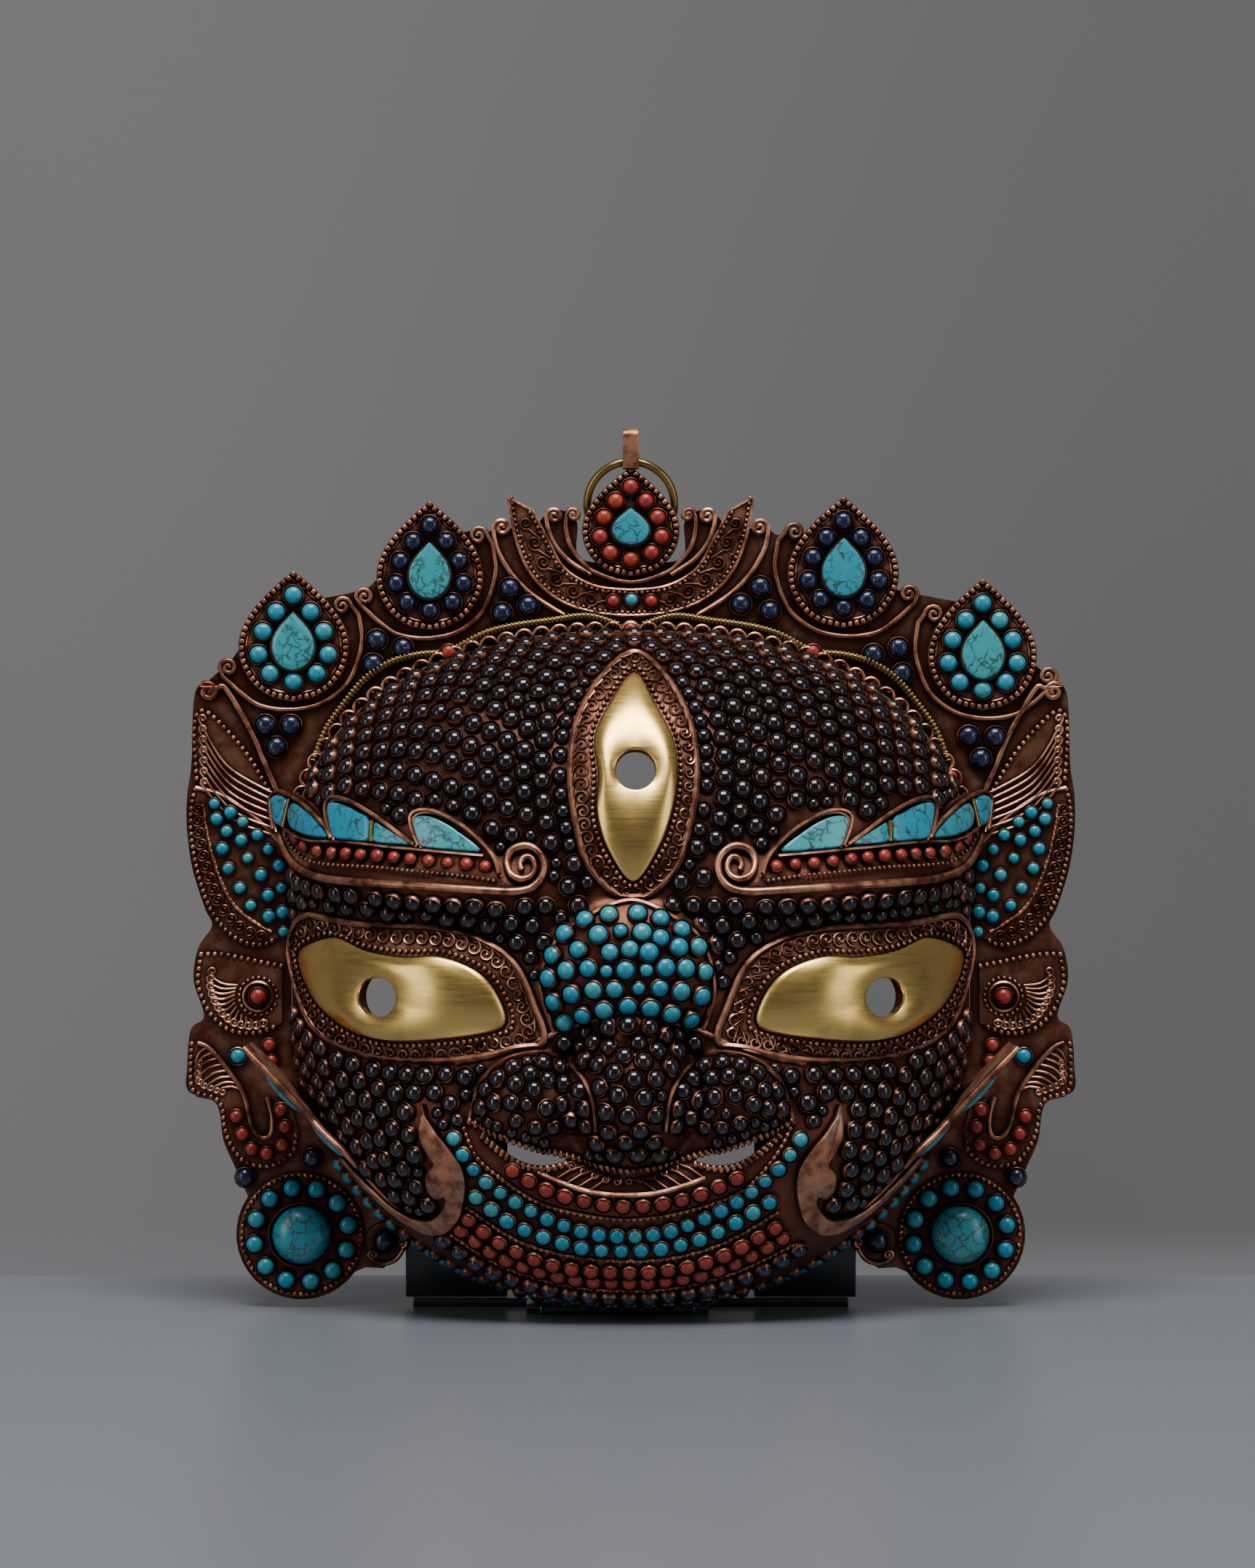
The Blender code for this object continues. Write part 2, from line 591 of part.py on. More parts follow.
def plate_outline():
    """A horseshoe: the crown and sides, open under the chin."""
    edge = in_mm(PLATE_EDGE)
    middle = in_mm([ROUNDEL_AT])[0]
    turns = [math.radians(LOBE_FIRST_TURN - LOBE_TURN * i) for i in range(LOBE_COUNT)]
    reach = ROUNDEL_RADIUS + 2 * GAP
    lobe = [(middle[0] + reach * math.cos(t), middle[1] + reach * math.sin(t)) for t in turns]
    right = edge + lobe + in_mm(PLATE_CORNERS)
    last = SHELL_AROUND // 2 + PLATE_END_COUNT
    opening = [rim_point(step, GAP) for step in range(-PLATE_END_COUNT, last + 1)]
    return right + opening + mirrored(right)[:-1]


def petal_outline(x, tip, bottom, half_width, count=PETAL_POINTS):
    """A pointed pear: from the tip down one side and up the other."""
    height = tip - bottom
    fine = []
    steps = 20
    for i in range(steps + 1):
        share = i / steps
        if share < PETAL_BULGE:
            width = math.sin(math.pi / 2 * (share / PETAL_BULGE) ** 0.95)
        else:
            width = math.sqrt(max(0.0, 1.0 - ((share - PETAL_BULGE) / (1 - PETAL_BULGE)) ** 2))
        fine.append(Vector((half_width * width, tip - height * share)))
    around = fine + [Vector((-p.x, p.y)) for p in reversed(fine[1:-1])]
    samples = even_samples(around + around[:1], count, closed=True)
    return [Vector((x + p.x, p.y)) for p in samples]


def scaled(outline, share):
    """The outline made smaller or larger about its middle."""
    middle = sum(outline, Vector((0.0, 0.0))) / len(outline)
    return [middle + (point - middle) * share for point in outline]


def bezels(places, front, radius):
    """Low cones for the small settings, in one hidden mesh."""
    bm = bmesh.new()
    for x, z in places:
        made = bmesh.ops.create_cone(bm, cap_ends=True, segments=BEZEL_SIDES, radius1=radius,
                                     radius2=radius * 0.5, depth=BEZEL_RISE + GAP)
        turn = Vector((0, 0, 1)).rotation_difference(Vector((0, -1, 0))).to_matrix().to_4x4()
        bmesh.ops.transform(bm, matrix=turn, verts=made["verts"])
        bmesh.ops.translate(bm, vec=(x, front - (BEZEL_RISE - GAP) / 2, z), verts=made["verts"])
    return bm


def dome(outline, front, rise):
    """A cushion-cut stone: two rings narrowing to a flat crown."""
    bm = bmesh.new()
    rings = []
    for share, lift in ((1.0, 0.0), (0.88, 0.55), (0.5, 1.0)):
        points = scaled(outline, share)
        rings.append([bm.verts.new((p.x, front - rise * lift, p.y)) for p in points])
    for first, second in zip(rings, rings[1:]):
        bridge(bm, first, second)
    bm.faces.new(rings[0])
    bm.faces.new(rings[-1])
    return bm


def tube(name, points, radius, finish, sides=4, closed=False):
    """A wire through points in space."""
    curve = bpy.data.curves.new(name, "CURVE")
    curve.dimensions = "3D"
    curve.bevel_depth = radius
    curve.bevel_resolution = (sides - 4) // 2
    curve.use_fill_caps = True
    spline = curve.splines.new("POLY")
    spline.points.add(len(points) - 1)
    for place, point in zip(spline.points, points):
        place.co = (*point, 1.0)
    spline.use_cyclic_u = closed
    curve.materials.append(finish)
    wire = bpy.data.objects.new(name, curve)
    bpy.context.scene.collection.objects.link(wire)
    return wire


def strip(lower, upper, low, high, rows):
    """A raised band between two open lines that follow the face."""
    bm = bmesh.new()
    skins = []
    for lift in (low, high):
        grid = []
        for row in range(rows + 1):
            points = [start.lerp(end, row / rows) for start, end in zip(lower, upper)]
            grid.append([bm.verts.new(on_face(p.x, p.y, lift)) for p in points])
        skins.append(grid)
    around = [edge_of_grid(grid) for grid in skins]
    bridge(bm, around[0], around[1])
    for grid in skins:
        for first, second in zip(grid, grid[1:]):
            for i in range(len(first) - 1):
                bm.faces.new((first[i], first[i + 1], second[i + 1]))
                bm.faces.new((first[i], second[i + 1], second[i]))
    return bm


def edge_of_grid(grid):
    """The vertices round a grid, in order."""
    right = [row[-1] for row in grid[1:-1]]
    left = [row[0] for row in reversed(grid[1:-1])]
    return grid[0] + right + grid[-1][::-1] + left


def add_petal(name, sizes, copper, stone):
    """A petal with its bezels, its drop stone and its wire cradle."""
    x, tip, bottom, half_width = [value * MM for value in sizes]
    x *= ACROSS
    outline = petal_outline(x, tip, bottom, half_width)
    front = -GAP - PETAL_SHEET
    petal = add_object(f"petal_{name}", prism(outline, front, -GAP), copper)
    ring = scaled(petal_outline(x, tip, bottom, half_width, BEZEL_COUNT), BEZEL_RING)
    shape = bezels(ring, front, BEZEL_RADIUS)
    combine(petal, hidden_shape(f"bezels_{name}", shape, copper), "UNION")
    drop = petal_outline(x, tip - DROP_TIP * MM, bottom + DROP_BOTTOM * MM, half_width * DROP_SHARE, 12)
    add_object(f"drop_stone_{name}", dome(drop, front - GAP, DROP_RISE), stone)
    reach = 1.0 + (CRADLE_WIRE + 2 * GAP) / half_width
    around = scaled(petal_outline(x, tip, bottom, half_width, 48), reach)
    skip = int(len(around) * CRADLE_SHARE / 2)
    path = [around[i] for i in range(skip, len(around) - skip + 1, 2)]
    depth = -GAP - CRADLE_WIRE
    tube(f"cradle_{name}", [(p.x, depth, p.y) for p in path], CRADLE_WIRE, copper)


def add_flat(name, outline, copper):
    """A low ornament lying on the plate."""
    return add_object(name, prism(outline, -GAP - ORNAMENT_RISE, -GAP), copper)


def crescent_outline():
    """Both borders of the crescent, right half and left half."""
    outer = open_curve(in_mm(CRESCENT_OUTER), 8)
    inner = open_curve(in_mm(CRESCENT_INNER), 6)
    right = [tuple(p) for p in outer + inner]
    left = [(-x, z) for x, z in reversed(right)]
    return right + left[1:-1]


def add_side(side, name, copper, brass, stone):
    """The ornaments of one side of the plate, with their roundel."""
    def placed(points):
        points = in_mm(points)
        return points if side > 0 else mirrored(points)

    for piece, outline in (("upper_fan", UPPER_FAN), ("leaf", LEAF), ("ear_fan", EAR_FAN),
                           ("hook_scroll", HOOK)):
        add_flat(f"{piece}_{name}", placed(outline), copper)
    for piece, line in (("crown_arc_centre", ARC_CENTRE), ("crown_arc_side", ARC_SIDE)):
        points = [clear_of_rim(p, ARC_WIRE + 2 * GAP) for p in open_curve(placed(line), 9)]
        tube(f"{piece}_{name}", [(p.x, -GAP - ARC_WIRE, p.y) for p in points], ARC_WIRE, brass)
    middle = placed([ROUNDEL_AT])[0]
    roundel = add_flat(f"roundel_{name}", circle(middle, ROUNDEL_RADIUS, ROUNDEL_SIDES), copper)
    front = -GAP - ORNAMENT_RISE
    shape = bezels(circle(middle, ROUNDEL_RING, ROUNDEL_BEZELS), front, BEZEL_RADIUS)
    combine(roundel, hidden_shape(f"roundel_bezels_{name}", shape, copper), "UNION")
    stone_outline = [Vector(p) for p in circle(middle, STONE_RADIUS, 16)]
    add_object(f"roundel_stone_{name}", dome(stone_outline, front - GAP, STONE_RISE), stone)
    add_flat(f"jaw_scroll_{name}", circle(placed([SCROLL_AT])[0], SCROLL_RADIUS, 12), copper)


def add_brow(side, name, copper):
    """A brow of three flames above its curling rail."""
    upper = [Vector((side * x, z)) for x, z in in_mm(BROW_FLAMES)]
    straight = open_curve(in_mm(BROW_RAIL[:RAIL_STRAIGHT_COUNT]), 60)
    above = []
    for first, second in zip(straight, straight[1:]):
        along = (first - second).normalized()
        above.append(first + Vector((-along.y, along.x)) * (RAIL_WIRE + 3 * GAP))
    lower = []
    for point in upper:
        nearest = min(above, key=lambda place: abs(place.x - abs(point.x)))
        lower.append(Vector((side * nearest.x, nearest.y)))
    add_seated(f"brow_flames_{name}", strip(lower, upper, -SINK, BROW_THICKNESS, rows=3), copper)
    line = open_curve([(side * x, z) for x, z in in_mm(BROW_RAIL)], RAIL_POINTS)
    points = [on_face(p.x, p.y, RAIL_WIRE + 2 * GAP) for p in line]
    tube(f"brow_rail_{name}", points, RAIL_WIRE, copper, sides=6)


def add_whisker(side, name, copper):
    """A whisker: a hooked rail on the cheek and a flame tray that stands free."""
    line = open_curve([(side * x, z) for x, z in in_mm(WHISKER_HOOK)], WHISKER_COUNT)
    points = [on_face(p.x, p.y, WHISKER_WIRE + 2 * GAP) for p in line]
    tube(f"whisker_hook_{name}", points, WHISKER_WIRE, copper, sides=6)
    path = open_curve([(side * x, z) for x, z in in_mm(WHISKER_LINE)], WHISKER_COUNT)
    bm = bmesh.new()
    sections = []
    for i, point in enumerate(path):
        ahead = path[min(i + 1, len(path) - 1)] - path[max(i - 1, 0)]
        across = Vector((-ahead.y, ahead.x)).normalized() * WHISKER_THICKNESS / 2
        share = i / (len(path) - 1)
        front = -WHISKER_FRONT - WHISKER_FLAME * abs(math.sin(2 * math.pi * share * WHISKER_WAVES))
        corners = ((across, front), (across, -WHISKER_BACK), (-across, -WHISKER_BACK), (-across, front))
        sections.append([bm.verts.new((point.x + a.x, y, point.y + a.y)) for a, y in corners])
    for first, second in zip(sections, sections[1:]):
        bridge(bm, first, second)
    bm.faces.new(sections[0])
    bm.faces.new(sections[-1])
    add_seated(f"whisker_tray_{name}", bm, copper)


def add_hanging(copper, brass):
    """The ring, and the bail over the top petal that it hangs in."""
    tip = PETALS[2][2] * MM
    top = tip + GAP + RING_WIRE
    tilt = math.radians(RING_TILT)
    plane_y = -GAP - PETAL_SHEET / 2
    points = []
    for i in range(20):
        turn = 2 * math.pi * i / 20
        down = RING_RADIUS * (1 - math.cos(turn))
        points.append((RING_RADIUS * math.sin(turn), plane_y + down * math.sin(tilt),
                       top - down * math.cos(tilt)))
    tube("hanging_ring", points, RING_WIRE, brass, sides=6, closed=True)
    half_depth = RING_WIRE + 2 * GAP
    outer, inner = [], []
    for turn in [math.pi * i / 8 for i in range(9)]:
        across, up = math.cos(turn), math.sin(turn)
        crown = top + BAIL_HEIGHT - 2 * half_depth - 4 * BAIL_STRAP
        outer.append((plane_y - across * (half_depth + BAIL_STRAP), crown + up * (half_depth + BAIL_STRAP)))
        inner.append((plane_y - across * half_depth, crown + up * half_depth))
    foot = top - RING_WIRE - BAIL_STRAP
    outer = [(outer[0][0], foot), *outer, (outer[-1][0], foot)]
    inner = [(inner[0][0], foot), *inner, (inner[-1][0], foot)]
    bm = bmesh.new()
    face = bm.faces.new([bm.verts.new((-BAIL_WIDTH / 2, y, z)) for y, z in outer + inner[::-1]])
    grown = bmesh.ops.extrude_face_region(bm, geom=[face])
    moved = [item for item in grown["geom"] if isinstance(item, bmesh.types.BMVert)]
    bmesh.ops.translate(bm, vec=(BAIL_WIDTH, 0, 0), verts=moved)
    add_object("hanging_bail", bm, copper)


def add_stand(black):
    """A low base with a tongue under the chin, and two uprights behind."""
    rear = PLATE_THICKNESS + GAP
    left, right = TONGUE_MIDDLE_X - TONGUE_HALF_WIDTH, TONGUE_MIDDLE_X + TONGUE_HALF_WIDTH
    chamfer = TONGUE_CHAMFER
    outline = [(left, rear), (left, chamfer - TONGUE_FRONT), (left + chamfer, -TONGUE_FRONT),
               (right - chamfer, -TONGUE_FRONT), (right, chamfer - TONGUE_FRONT), (right, rear),
               (BASE_HALF_WIDTH, rear), (BASE_HALF_WIDTH, BASE_BACK - chamfer),
               (BASE_HALF_WIDTH - chamfer, BASE_BACK), (chamfer - BASE_HALF_WIDTH, BASE_BACK),
               (-BASE_HALF_WIDTH, BASE_BACK - chamfer), (-BASE_HALF_WIDTH, rear)]
    bm = bmesh.new()
    face = bm.faces.new([bm.verts.new((x, y, 0.0)) for x, y in outline])
    grown = bmesh.ops.extrude_face_region(bm, geom=[face])
    moved = [item for item in grown["geom"] if isinstance(item, bmesh.types.BMVert)]
    bmesh.ops.translate(bm, vec=(0, 0, STAND_SHEET), verts=moved)
    add_object("stand_base", bm, black)
    foot = STAND_SHEET + GAP
    for name, side in (("left", -1), ("right", 1)):
        top_outer = UPRIGHT_INNER_X + UPRIGHT_TOP_WIDTH
        outline = [(side * UPRIGHT_INNER_X, foot), (side * UPRIGHT_OUTER_X, foot),
                   (side * UPRIGHT_OUTER_X, FACE_TOP_Z / 3), (side * top_outer, UPRIGHT_TOP_Z),
                   (side * UPRIGHT_INNER_X, UPRIGHT_TOP_Z)]
        add_object(f"stand_upright_{name}", prism(outline, rear, rear + UPRIGHT_SHEET), black)


def clear_scene():
    for obj in list(bpy.data.objects):
        bpy.data.objects.remove(obj, do_unlink=True)


def main():
    clear_scene()
    copper = material("oxidised_copper", (0.16, 0.07, 0.04), 0.45, 1.0)
    brass = material("satin_brass", (0.62, 0.47, 0.26), 0.3, 1.0)
    turquoise = material("turquoise", (0.1, 0.45, 0.5), 0.35, 0.0)
    lapis = material("lapis", (0.02, 0.05, 0.3), 0.25, 0.0)
    coral = material("coral", (0.6, 0.12, 0.05), 0.4, 0.0)
    black = material("black_lacquer", (0.01, 0.01, 0.012), 0.2, 0.0)
    add_face(copper)
    add_face_clearance(copper)
    add_eye("left", mirrored(EYE_PLATE), mirrored(EYE_FRAME), (-EYE_PUPIL[0], EYE_PUPIL[1]), brass, copper)
    add_eye("right", EYE_PLATE, EYE_FRAME, EYE_PUPIL, brass, copper)
    add_eye("third", THIRD_PLATE, THIRD_FRAME, THIRD_PUPIL, brass, copper)
    add_object("back_plate", prism(plate_outline(), 0.0, PLATE_THICKNESS), copper)
    for (name, *sizes), stone in zip(PETALS, (turquoise, lapis, coral, lapis, turquoise)):
        add_petal(name, sizes, copper, stone)
    add_flat("crown_crescent", crescent_outline(), copper)
    for name, side in (("left", -1), ("right", 1)):
        add_side(side, name, copper, brass, turquoise)
        add_brow(side, name, copper)
        add_whisker(side, name, copper)
    add_hanging(copper, brass)
    add_stand(black)


main()
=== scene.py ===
"""Looks of the ritual mask: a raised copper face set with stones, in its crowned plate.

The mask faces -Y, +Z is up, and the table is z = 0, in metres. The front of the
back plate is the plane y = 0. Places in tables are x and z in millimetres.
"""
import json
import math
import random

import bmesh
import bpy
import numpy as np
from mathutils import Matrix, Vector

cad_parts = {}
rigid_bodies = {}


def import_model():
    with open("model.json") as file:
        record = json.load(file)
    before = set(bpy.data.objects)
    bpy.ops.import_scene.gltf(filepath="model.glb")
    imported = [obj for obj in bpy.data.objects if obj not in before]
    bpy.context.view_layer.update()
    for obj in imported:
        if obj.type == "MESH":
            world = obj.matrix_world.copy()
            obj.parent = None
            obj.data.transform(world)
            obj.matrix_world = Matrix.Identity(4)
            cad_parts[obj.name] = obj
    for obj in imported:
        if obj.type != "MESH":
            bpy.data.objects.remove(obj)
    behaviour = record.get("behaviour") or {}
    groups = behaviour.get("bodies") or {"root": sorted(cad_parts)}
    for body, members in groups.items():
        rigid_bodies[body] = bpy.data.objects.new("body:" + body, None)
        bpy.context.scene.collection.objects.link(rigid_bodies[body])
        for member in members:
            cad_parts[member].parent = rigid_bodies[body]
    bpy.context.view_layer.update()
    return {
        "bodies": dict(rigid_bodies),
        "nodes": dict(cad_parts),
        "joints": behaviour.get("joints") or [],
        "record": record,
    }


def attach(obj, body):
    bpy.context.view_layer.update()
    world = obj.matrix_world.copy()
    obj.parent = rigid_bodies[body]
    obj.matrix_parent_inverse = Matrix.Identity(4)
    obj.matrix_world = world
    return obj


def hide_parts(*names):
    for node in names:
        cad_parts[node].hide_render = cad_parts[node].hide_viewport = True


bl_info = {
    "name": "Ritual Mask",
    "version": (1, 0, 0),
    "blender": (4, 5, 0),
    "location": "3D View > Sidebar > Mask",
    "description": "Stones, wirework and finishes for a copper ritual mask",
    "category": "Add Mesh",
}

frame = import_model()

MM = 0.001

# The face's form, as the solid has it
FACE_HALF_WIDTH = 93.0 * MM
FACE_TOP_Z = 186.0 * MM
FACE_BOTTOM_Z = 3.0 * MM
FACE_DEPTH = 54.0 * MM
TEMPLE_Z = 120.0 * MM
JAW_Z = 85.0 * MM
MIDDLE_Z = 100.0 * MM
FOREHEAD_POWER = 2.3
JAW_POWER = 2.1
BOWL_POWER = 2.3
CHIN_POWER = 7.0
RUN_OUT_SHARE = 0.95
SHELL_WALL = 2.0 * MM
PLATE_THICKNESS = 1.5 * MM

# Features raised on the bowl: x, z, half width, half height, rise, sharpness
FEATURES = (
    (0.0, 95.0, 24.0, 19.0, 8.5, 0.8),       # nose dome
    (0.0, 62.0, 18.0, 22.0, 14.0, 1.0),      # nose tip
    (27.0, 60.5, 14.0, 14.0, 8.5, 0.9),      # nostril wing
    (0.0, 147.0, 19.0, 34.0, 3.0, 1.2),      # third eye
    (62.0, 90.0, 40.0, 25.0, -4.5, 1.2),     # eye socket
    (60.0, 89.0, 31.0, 18.0, 8.0, 1.0),      # eyeball
    (56.0, 46.0, 28.0, 24.0, 4.0, 1.5),      # cheek
)
BROW_RISE = 5.0 * MM
BROW_SPREAD = 7.0 * MM
BROW_Z = 115.5 * MM
BROW_LIFT = 9.0 * MM
BROW_INNER_X = 26.0 * MM
BROW_OUTER_X = 95.0 * MM
MOUTH_Z = 42.0 * MM
MOUTH_CLIMB = 12.5 * MM
MOUTH_HALF = 43.0 * MM
LIP_RISE = 4.0 * MM
LIP_SPREAD = 6.0 * MM


def rim_measure(x, z):
    """Below 1 inside the face's rim, 1 on it."""
    across = abs(x) / FACE_HALF_WIDTH
    if z > TEMPLE_Z:
        up = (z - TEMPLE_Z) / (FACE_TOP_Z - TEMPLE_Z)
        return (across ** FOREHEAD_POWER + up ** FOREHEAD_POWER) ** (1 / FOREHEAD_POWER)
    if z < JAW_Z:
        down = (JAW_Z - z) / (JAW_Z - FACE_BOTTOM_Z)
        return (across ** JAW_POWER + down ** JAW_POWER) ** (1 / JAW_POWER)
    return across


def measured_rim(angle):
    """How far the rim lies from the bowl's middle, in this direction."""
    low, high = 0.0, FACE_TOP_Z
    for _ in range(26):
        middle = (low + high) / 2
        inside = rim_measure(middle * math.cos(angle), MIDDLE_Z + middle * math.sin(angle)) < 1.0
        low, high = (middle, high) if inside else (low, middle)
    return low


RIM_STEPS = 1440
RIM_REACH = [measured_rim(2 * math.pi * i / RIM_STEPS) for i in range(RIM_STEPS)]


def rim_distance(angle):
    """The rim's distance, read between the directions that are already measured."""
    place = (angle / (2 * math.pi) * RIM_STEPS) % RIM_STEPS
    index = int(place)
    share = place - index
    return RIM_REACH[index % RIM_STEPS] * (1 - share) + RIM_REACH[(index + 1) % RIM_STEPS] * share


def bowl_depth(share, angle):
    """Depth of the bare bowl at a share of the way to the rim."""
    chin = max(0.0, -math.sin(angle)) ** 3
    power = BOWL_POWER + (CHIN_POWER - BOWL_POWER) * chin
    root = 2.0 + 2.0 * chin
    return FACE_DEPTH * max(0.0, 1.0 - share ** power) ** (1.0 / root)


def brow_z(x):
    """Height of the brow's rail across the face."""
    across = max(0.0, abs(x) - BROW_INNER_X) / (BROW_OUTER_X - BROW_INNER_X)
    return BROW_Z + BROW_LIFT * across ** 3


def mouth_z(x):
    """Height of the line between the lips."""
    return MOUTH_Z + MOUTH_CLIMB * (abs(x) / MOUTH_HALF) ** 1.4


def feature_rise(x, z):
    """What the nose, eyes, brows, cheeks and lips add to the bowl."""
    rise = 0.0
    for at_x, at_z, wide, high, tall, sharp in FEATURES:
        away = ((abs(x) / MM - at_x) / wide) ** 2 + ((z / MM - at_z) / high) ** 2
        rise += tall * MM * max(0.0, 1.0 - away) ** sharp
    from_brow = (z - brow_z(x)) / BROW_SPREAD
    inward = min(1.0, max(0.0, (abs(x) - BROW_INNER_X / 2) / BROW_INNER_X))
    rise += BROW_RISE * inward * math.exp(-from_brow ** 2)
    if abs(x) < MOUTH_HALF * 1.2:
        below_lip = (z - mouth_z(x) + LIP_SPREAD) / LIP_SPREAD
        fade = max(0.0, 1.0 - (x / (MOUTH_HALF * 1.2)) ** 2)
        rise += LIP_RISE * fade * math.exp(-below_lip ** 2)
    return rise


def edge_fade(share):
    """Features die out towards the rim."""
    return 1.0 - max(0.0, share) ** 8


def rim_share(x, z):
    """Share of the way from the bowl's middle to its rim, and the direction."""
    angle = math.atan2(z - MIDDLE_Z, x)
    return math.hypot(x, z - MIDDLE_Z) / rim_distance(angle), angle


def bowl_point(share, angle):
    """A point of the face's surface, by its share of the way to the rim."""
    away = rim_distance(angle) * share
    x, z = away * math.cos(angle), MIDDLE_Z + away * math.sin(angle)
    return Vector((x, -bowl_depth(share, angle) - feature_rise(x, z) * edge_fade(share), z))


def face_depth(x, z):
    """How far the face stands in front of the plate; past the rim it runs on straight."""
    share, angle = rim_share(x, z)
    if share <= RUN_OUT_SHARE:
        return bowl_depth(share, angle) + feature_rise(x, z) * edge_fade(share)
    step = 0.01
    depth = bowl_depth(RUN_OUT_SHARE, angle)
    slope = (depth - bowl_depth(RUN_OUT_SHARE - step, angle)) / step
    rise = feature_rise(x, z) * edge_fade(RUN_OUT_SHARE)
    return depth + rise + slope * (share - RUN_OUT_SHARE)


def on_run_out(x, z, lift):
    """A point off the face as its large pieces see it, and the direction outwards."""
    step = 0.4 * MM
    slope_x = (face_depth(x + step, z) - face_depth(x - step, z)) / (2 * step)
    slope_z = (face_depth(x, z + step) - face_depth(x, z - step)) / (2 * step)
    normal = Vector((-slope_x, -1.0, -slope_z)).normalized()
    return Vector((x, -face_depth(x, z), z)) + normal * lift, normal


def on_bowl(share, angle, lift):
    """A point off the face's own surface, right up to the rim, and its direction."""
    step = 0.002
    low, high = share - step, min(1.0, share + step)
    outwards = bowl_point(high, angle) - bowl_point(low, angle)
    around = bowl_point(share, angle + step) - bowl_point(share, angle - step)
    normal = around.cross(outwards).normalized()
    if normal.dot(Vector((math.cos(angle), -1.0, math.sin(angle)))) < 0.0:
        normal.negate()
    return bowl_point(share, angle) + normal * lift, normal


def on_face(x, z, lift):
    """A point this far off the face's surface, and the surface's direction there."""
    share, angle = rim_share(x, z)
    if share < 0.6:
        return on_run_out(x, z, lift)
    return on_bowl(min(share, 0.998), angle, lift)


def on_plate(x, z, lift):
    """A point this far in front of the flat back plate."""
    return Vector((x, -lift, z)), Vector((0.0, -1.0, 0.0))


def raised_by(rise, surface=on_plate):
    """The same surface moved outwards; the plate's front unless another is named."""
    return lambda x, z, lift: surface(x, z, lift + rise)


# Lines, rows and spirals, in x and z

def place_of(point, side=1):
    """A table's place in millimetres as metres, on the left when side is -1."""
    return Vector((side * point[0], point[1])) * MM


def in_metres(points, side=1):
    """A table's line in metres, on the left when side is -1."""
    return [place_of(point, side) for point in points]


def reach_out(turn, reach):
    """How far this turn and reach lead from a middle."""
    return Vector((math.cos(turn), math.sin(turn))) * reach


def catmull_rom(before, start, end, after, t):
    return 0.5 * (2 * start + (end - before) * t
                  + (2 * before - 5 * start + 4 * end - after) * t ** 2
                  + (3 * start - before - 3 * end + after) * t ** 3)


def smooth_line(points, closed=False, steps=10):
    """A finely sampled smooth line through the points."""
    total = len(points)
    fine = []
    for i in range(total if closed else total - 1):
        if closed:
            four = [points[(i + k) % total] for k in (-1, 0, 1, 2)]
        else:
            four = [points[min(total - 1, max(0, i + k))] for k in (-1, 0, 1, 2)]
        fine += [catmull_rom(*four, step / steps) for step in range(steps)]
    fine.append(fine[0] if closed else points[-1].copy())
    return fine


def line_length(line):
    return sum((end - start).length for start, end in zip(line, line[1:]))


def even_outline(points, count, side=1):
    """A table's closed outline as this many even points, on the left when side is -1."""
    return spaced(smooth_line(in_metres(points, side), closed=True), count, closed=True)


def spaced(line, count, closed=False):
    """This many points at equal steps along a line."""
    lengths = np.cumsum([0.0] + [(end - start).length for start, end in zip(line, line[1:])])
    wanted = np.linspace(0.0, lengths[-1], count + 1 if closed else count)
    if closed:
        wanted = wanted[:-1]
    columns = [np.interp(wanted, lengths, [p[i] for p in line]) for i in range(len(line[0]))]
    return [Vector(values) for values in zip(*columns)]


def at_pitch(line, pitch, closed=False):
    """Points a given pitch apart, or as near as divides the line evenly."""
    count = max(2, round(line_length(line) / pitch) + (0 if closed else 1))
    return spaced(line, count, closed)


def offset_line(line, distance, closed=False):
    """The line moved sideways, to the left of its direction."""
    moved = []
    last = len(line) - 1
    for i, point in enumerate(line):
        before = line[i - 1] if closed or i else line[0]
        after = line[(i + 1) % len(line)] if closed else line[min(last, i + 1)]
        along = (after - before).normalized()
        moved.append(point + Vector((-along.y, along.x)) * distance)
    return moved


def turn_towards(side):
    """The turn at which a spiral starts that faces this side."""
    return 0.0 if side > 0 else math.pi


def spiral(middle, radius, turns, start, hand=1, points=11):
    """A wire curl that winds in from its radius to its middle."""
    total = max(6, int(points * turns))
    line = []
    for i in range(total + 1):
        share = i / total
        angle = start + hand * 2 * math.pi * turns * share
        reach = radius * (1.0 - 0.86 * share)
        line.append(middle + reach_out(angle, reach))
    return line


def ring_line(middle, radius, count=24, start=0.0):
    turns = [start + 2 * math.pi * i / count for i in range(count)]
    return [middle + reach_out(turn, radius) for turn in turns]


def inside(outline, point):
    """Whether a point lies within a closed outline."""
    within = False
    for start, end in zip(outline, outline[1:] + outline[:1]):
        if (start.y > point.y) != (end.y > point.y):
            crossing = start.x + (point.y - start.y) * (end.x - start.x) / (end.y - start.y)
            if point.x < crossing:
                within = not within
    return within


# Sizes and colours that a user would change

def length_property(name, description, default):
    return bpy.props.FloatProperty(name=name, description=description, default=default * MM,
                                   min=0.1 * MM, precision=4, unit="LENGTH", subtype="DISTANCE")


def colour_property(name, description, default):
    return bpy.props.FloatVectorProperty(name=name, description=description, default=default,
                                         size=3, min=0.0, max=1.0, subtype="COLOR")


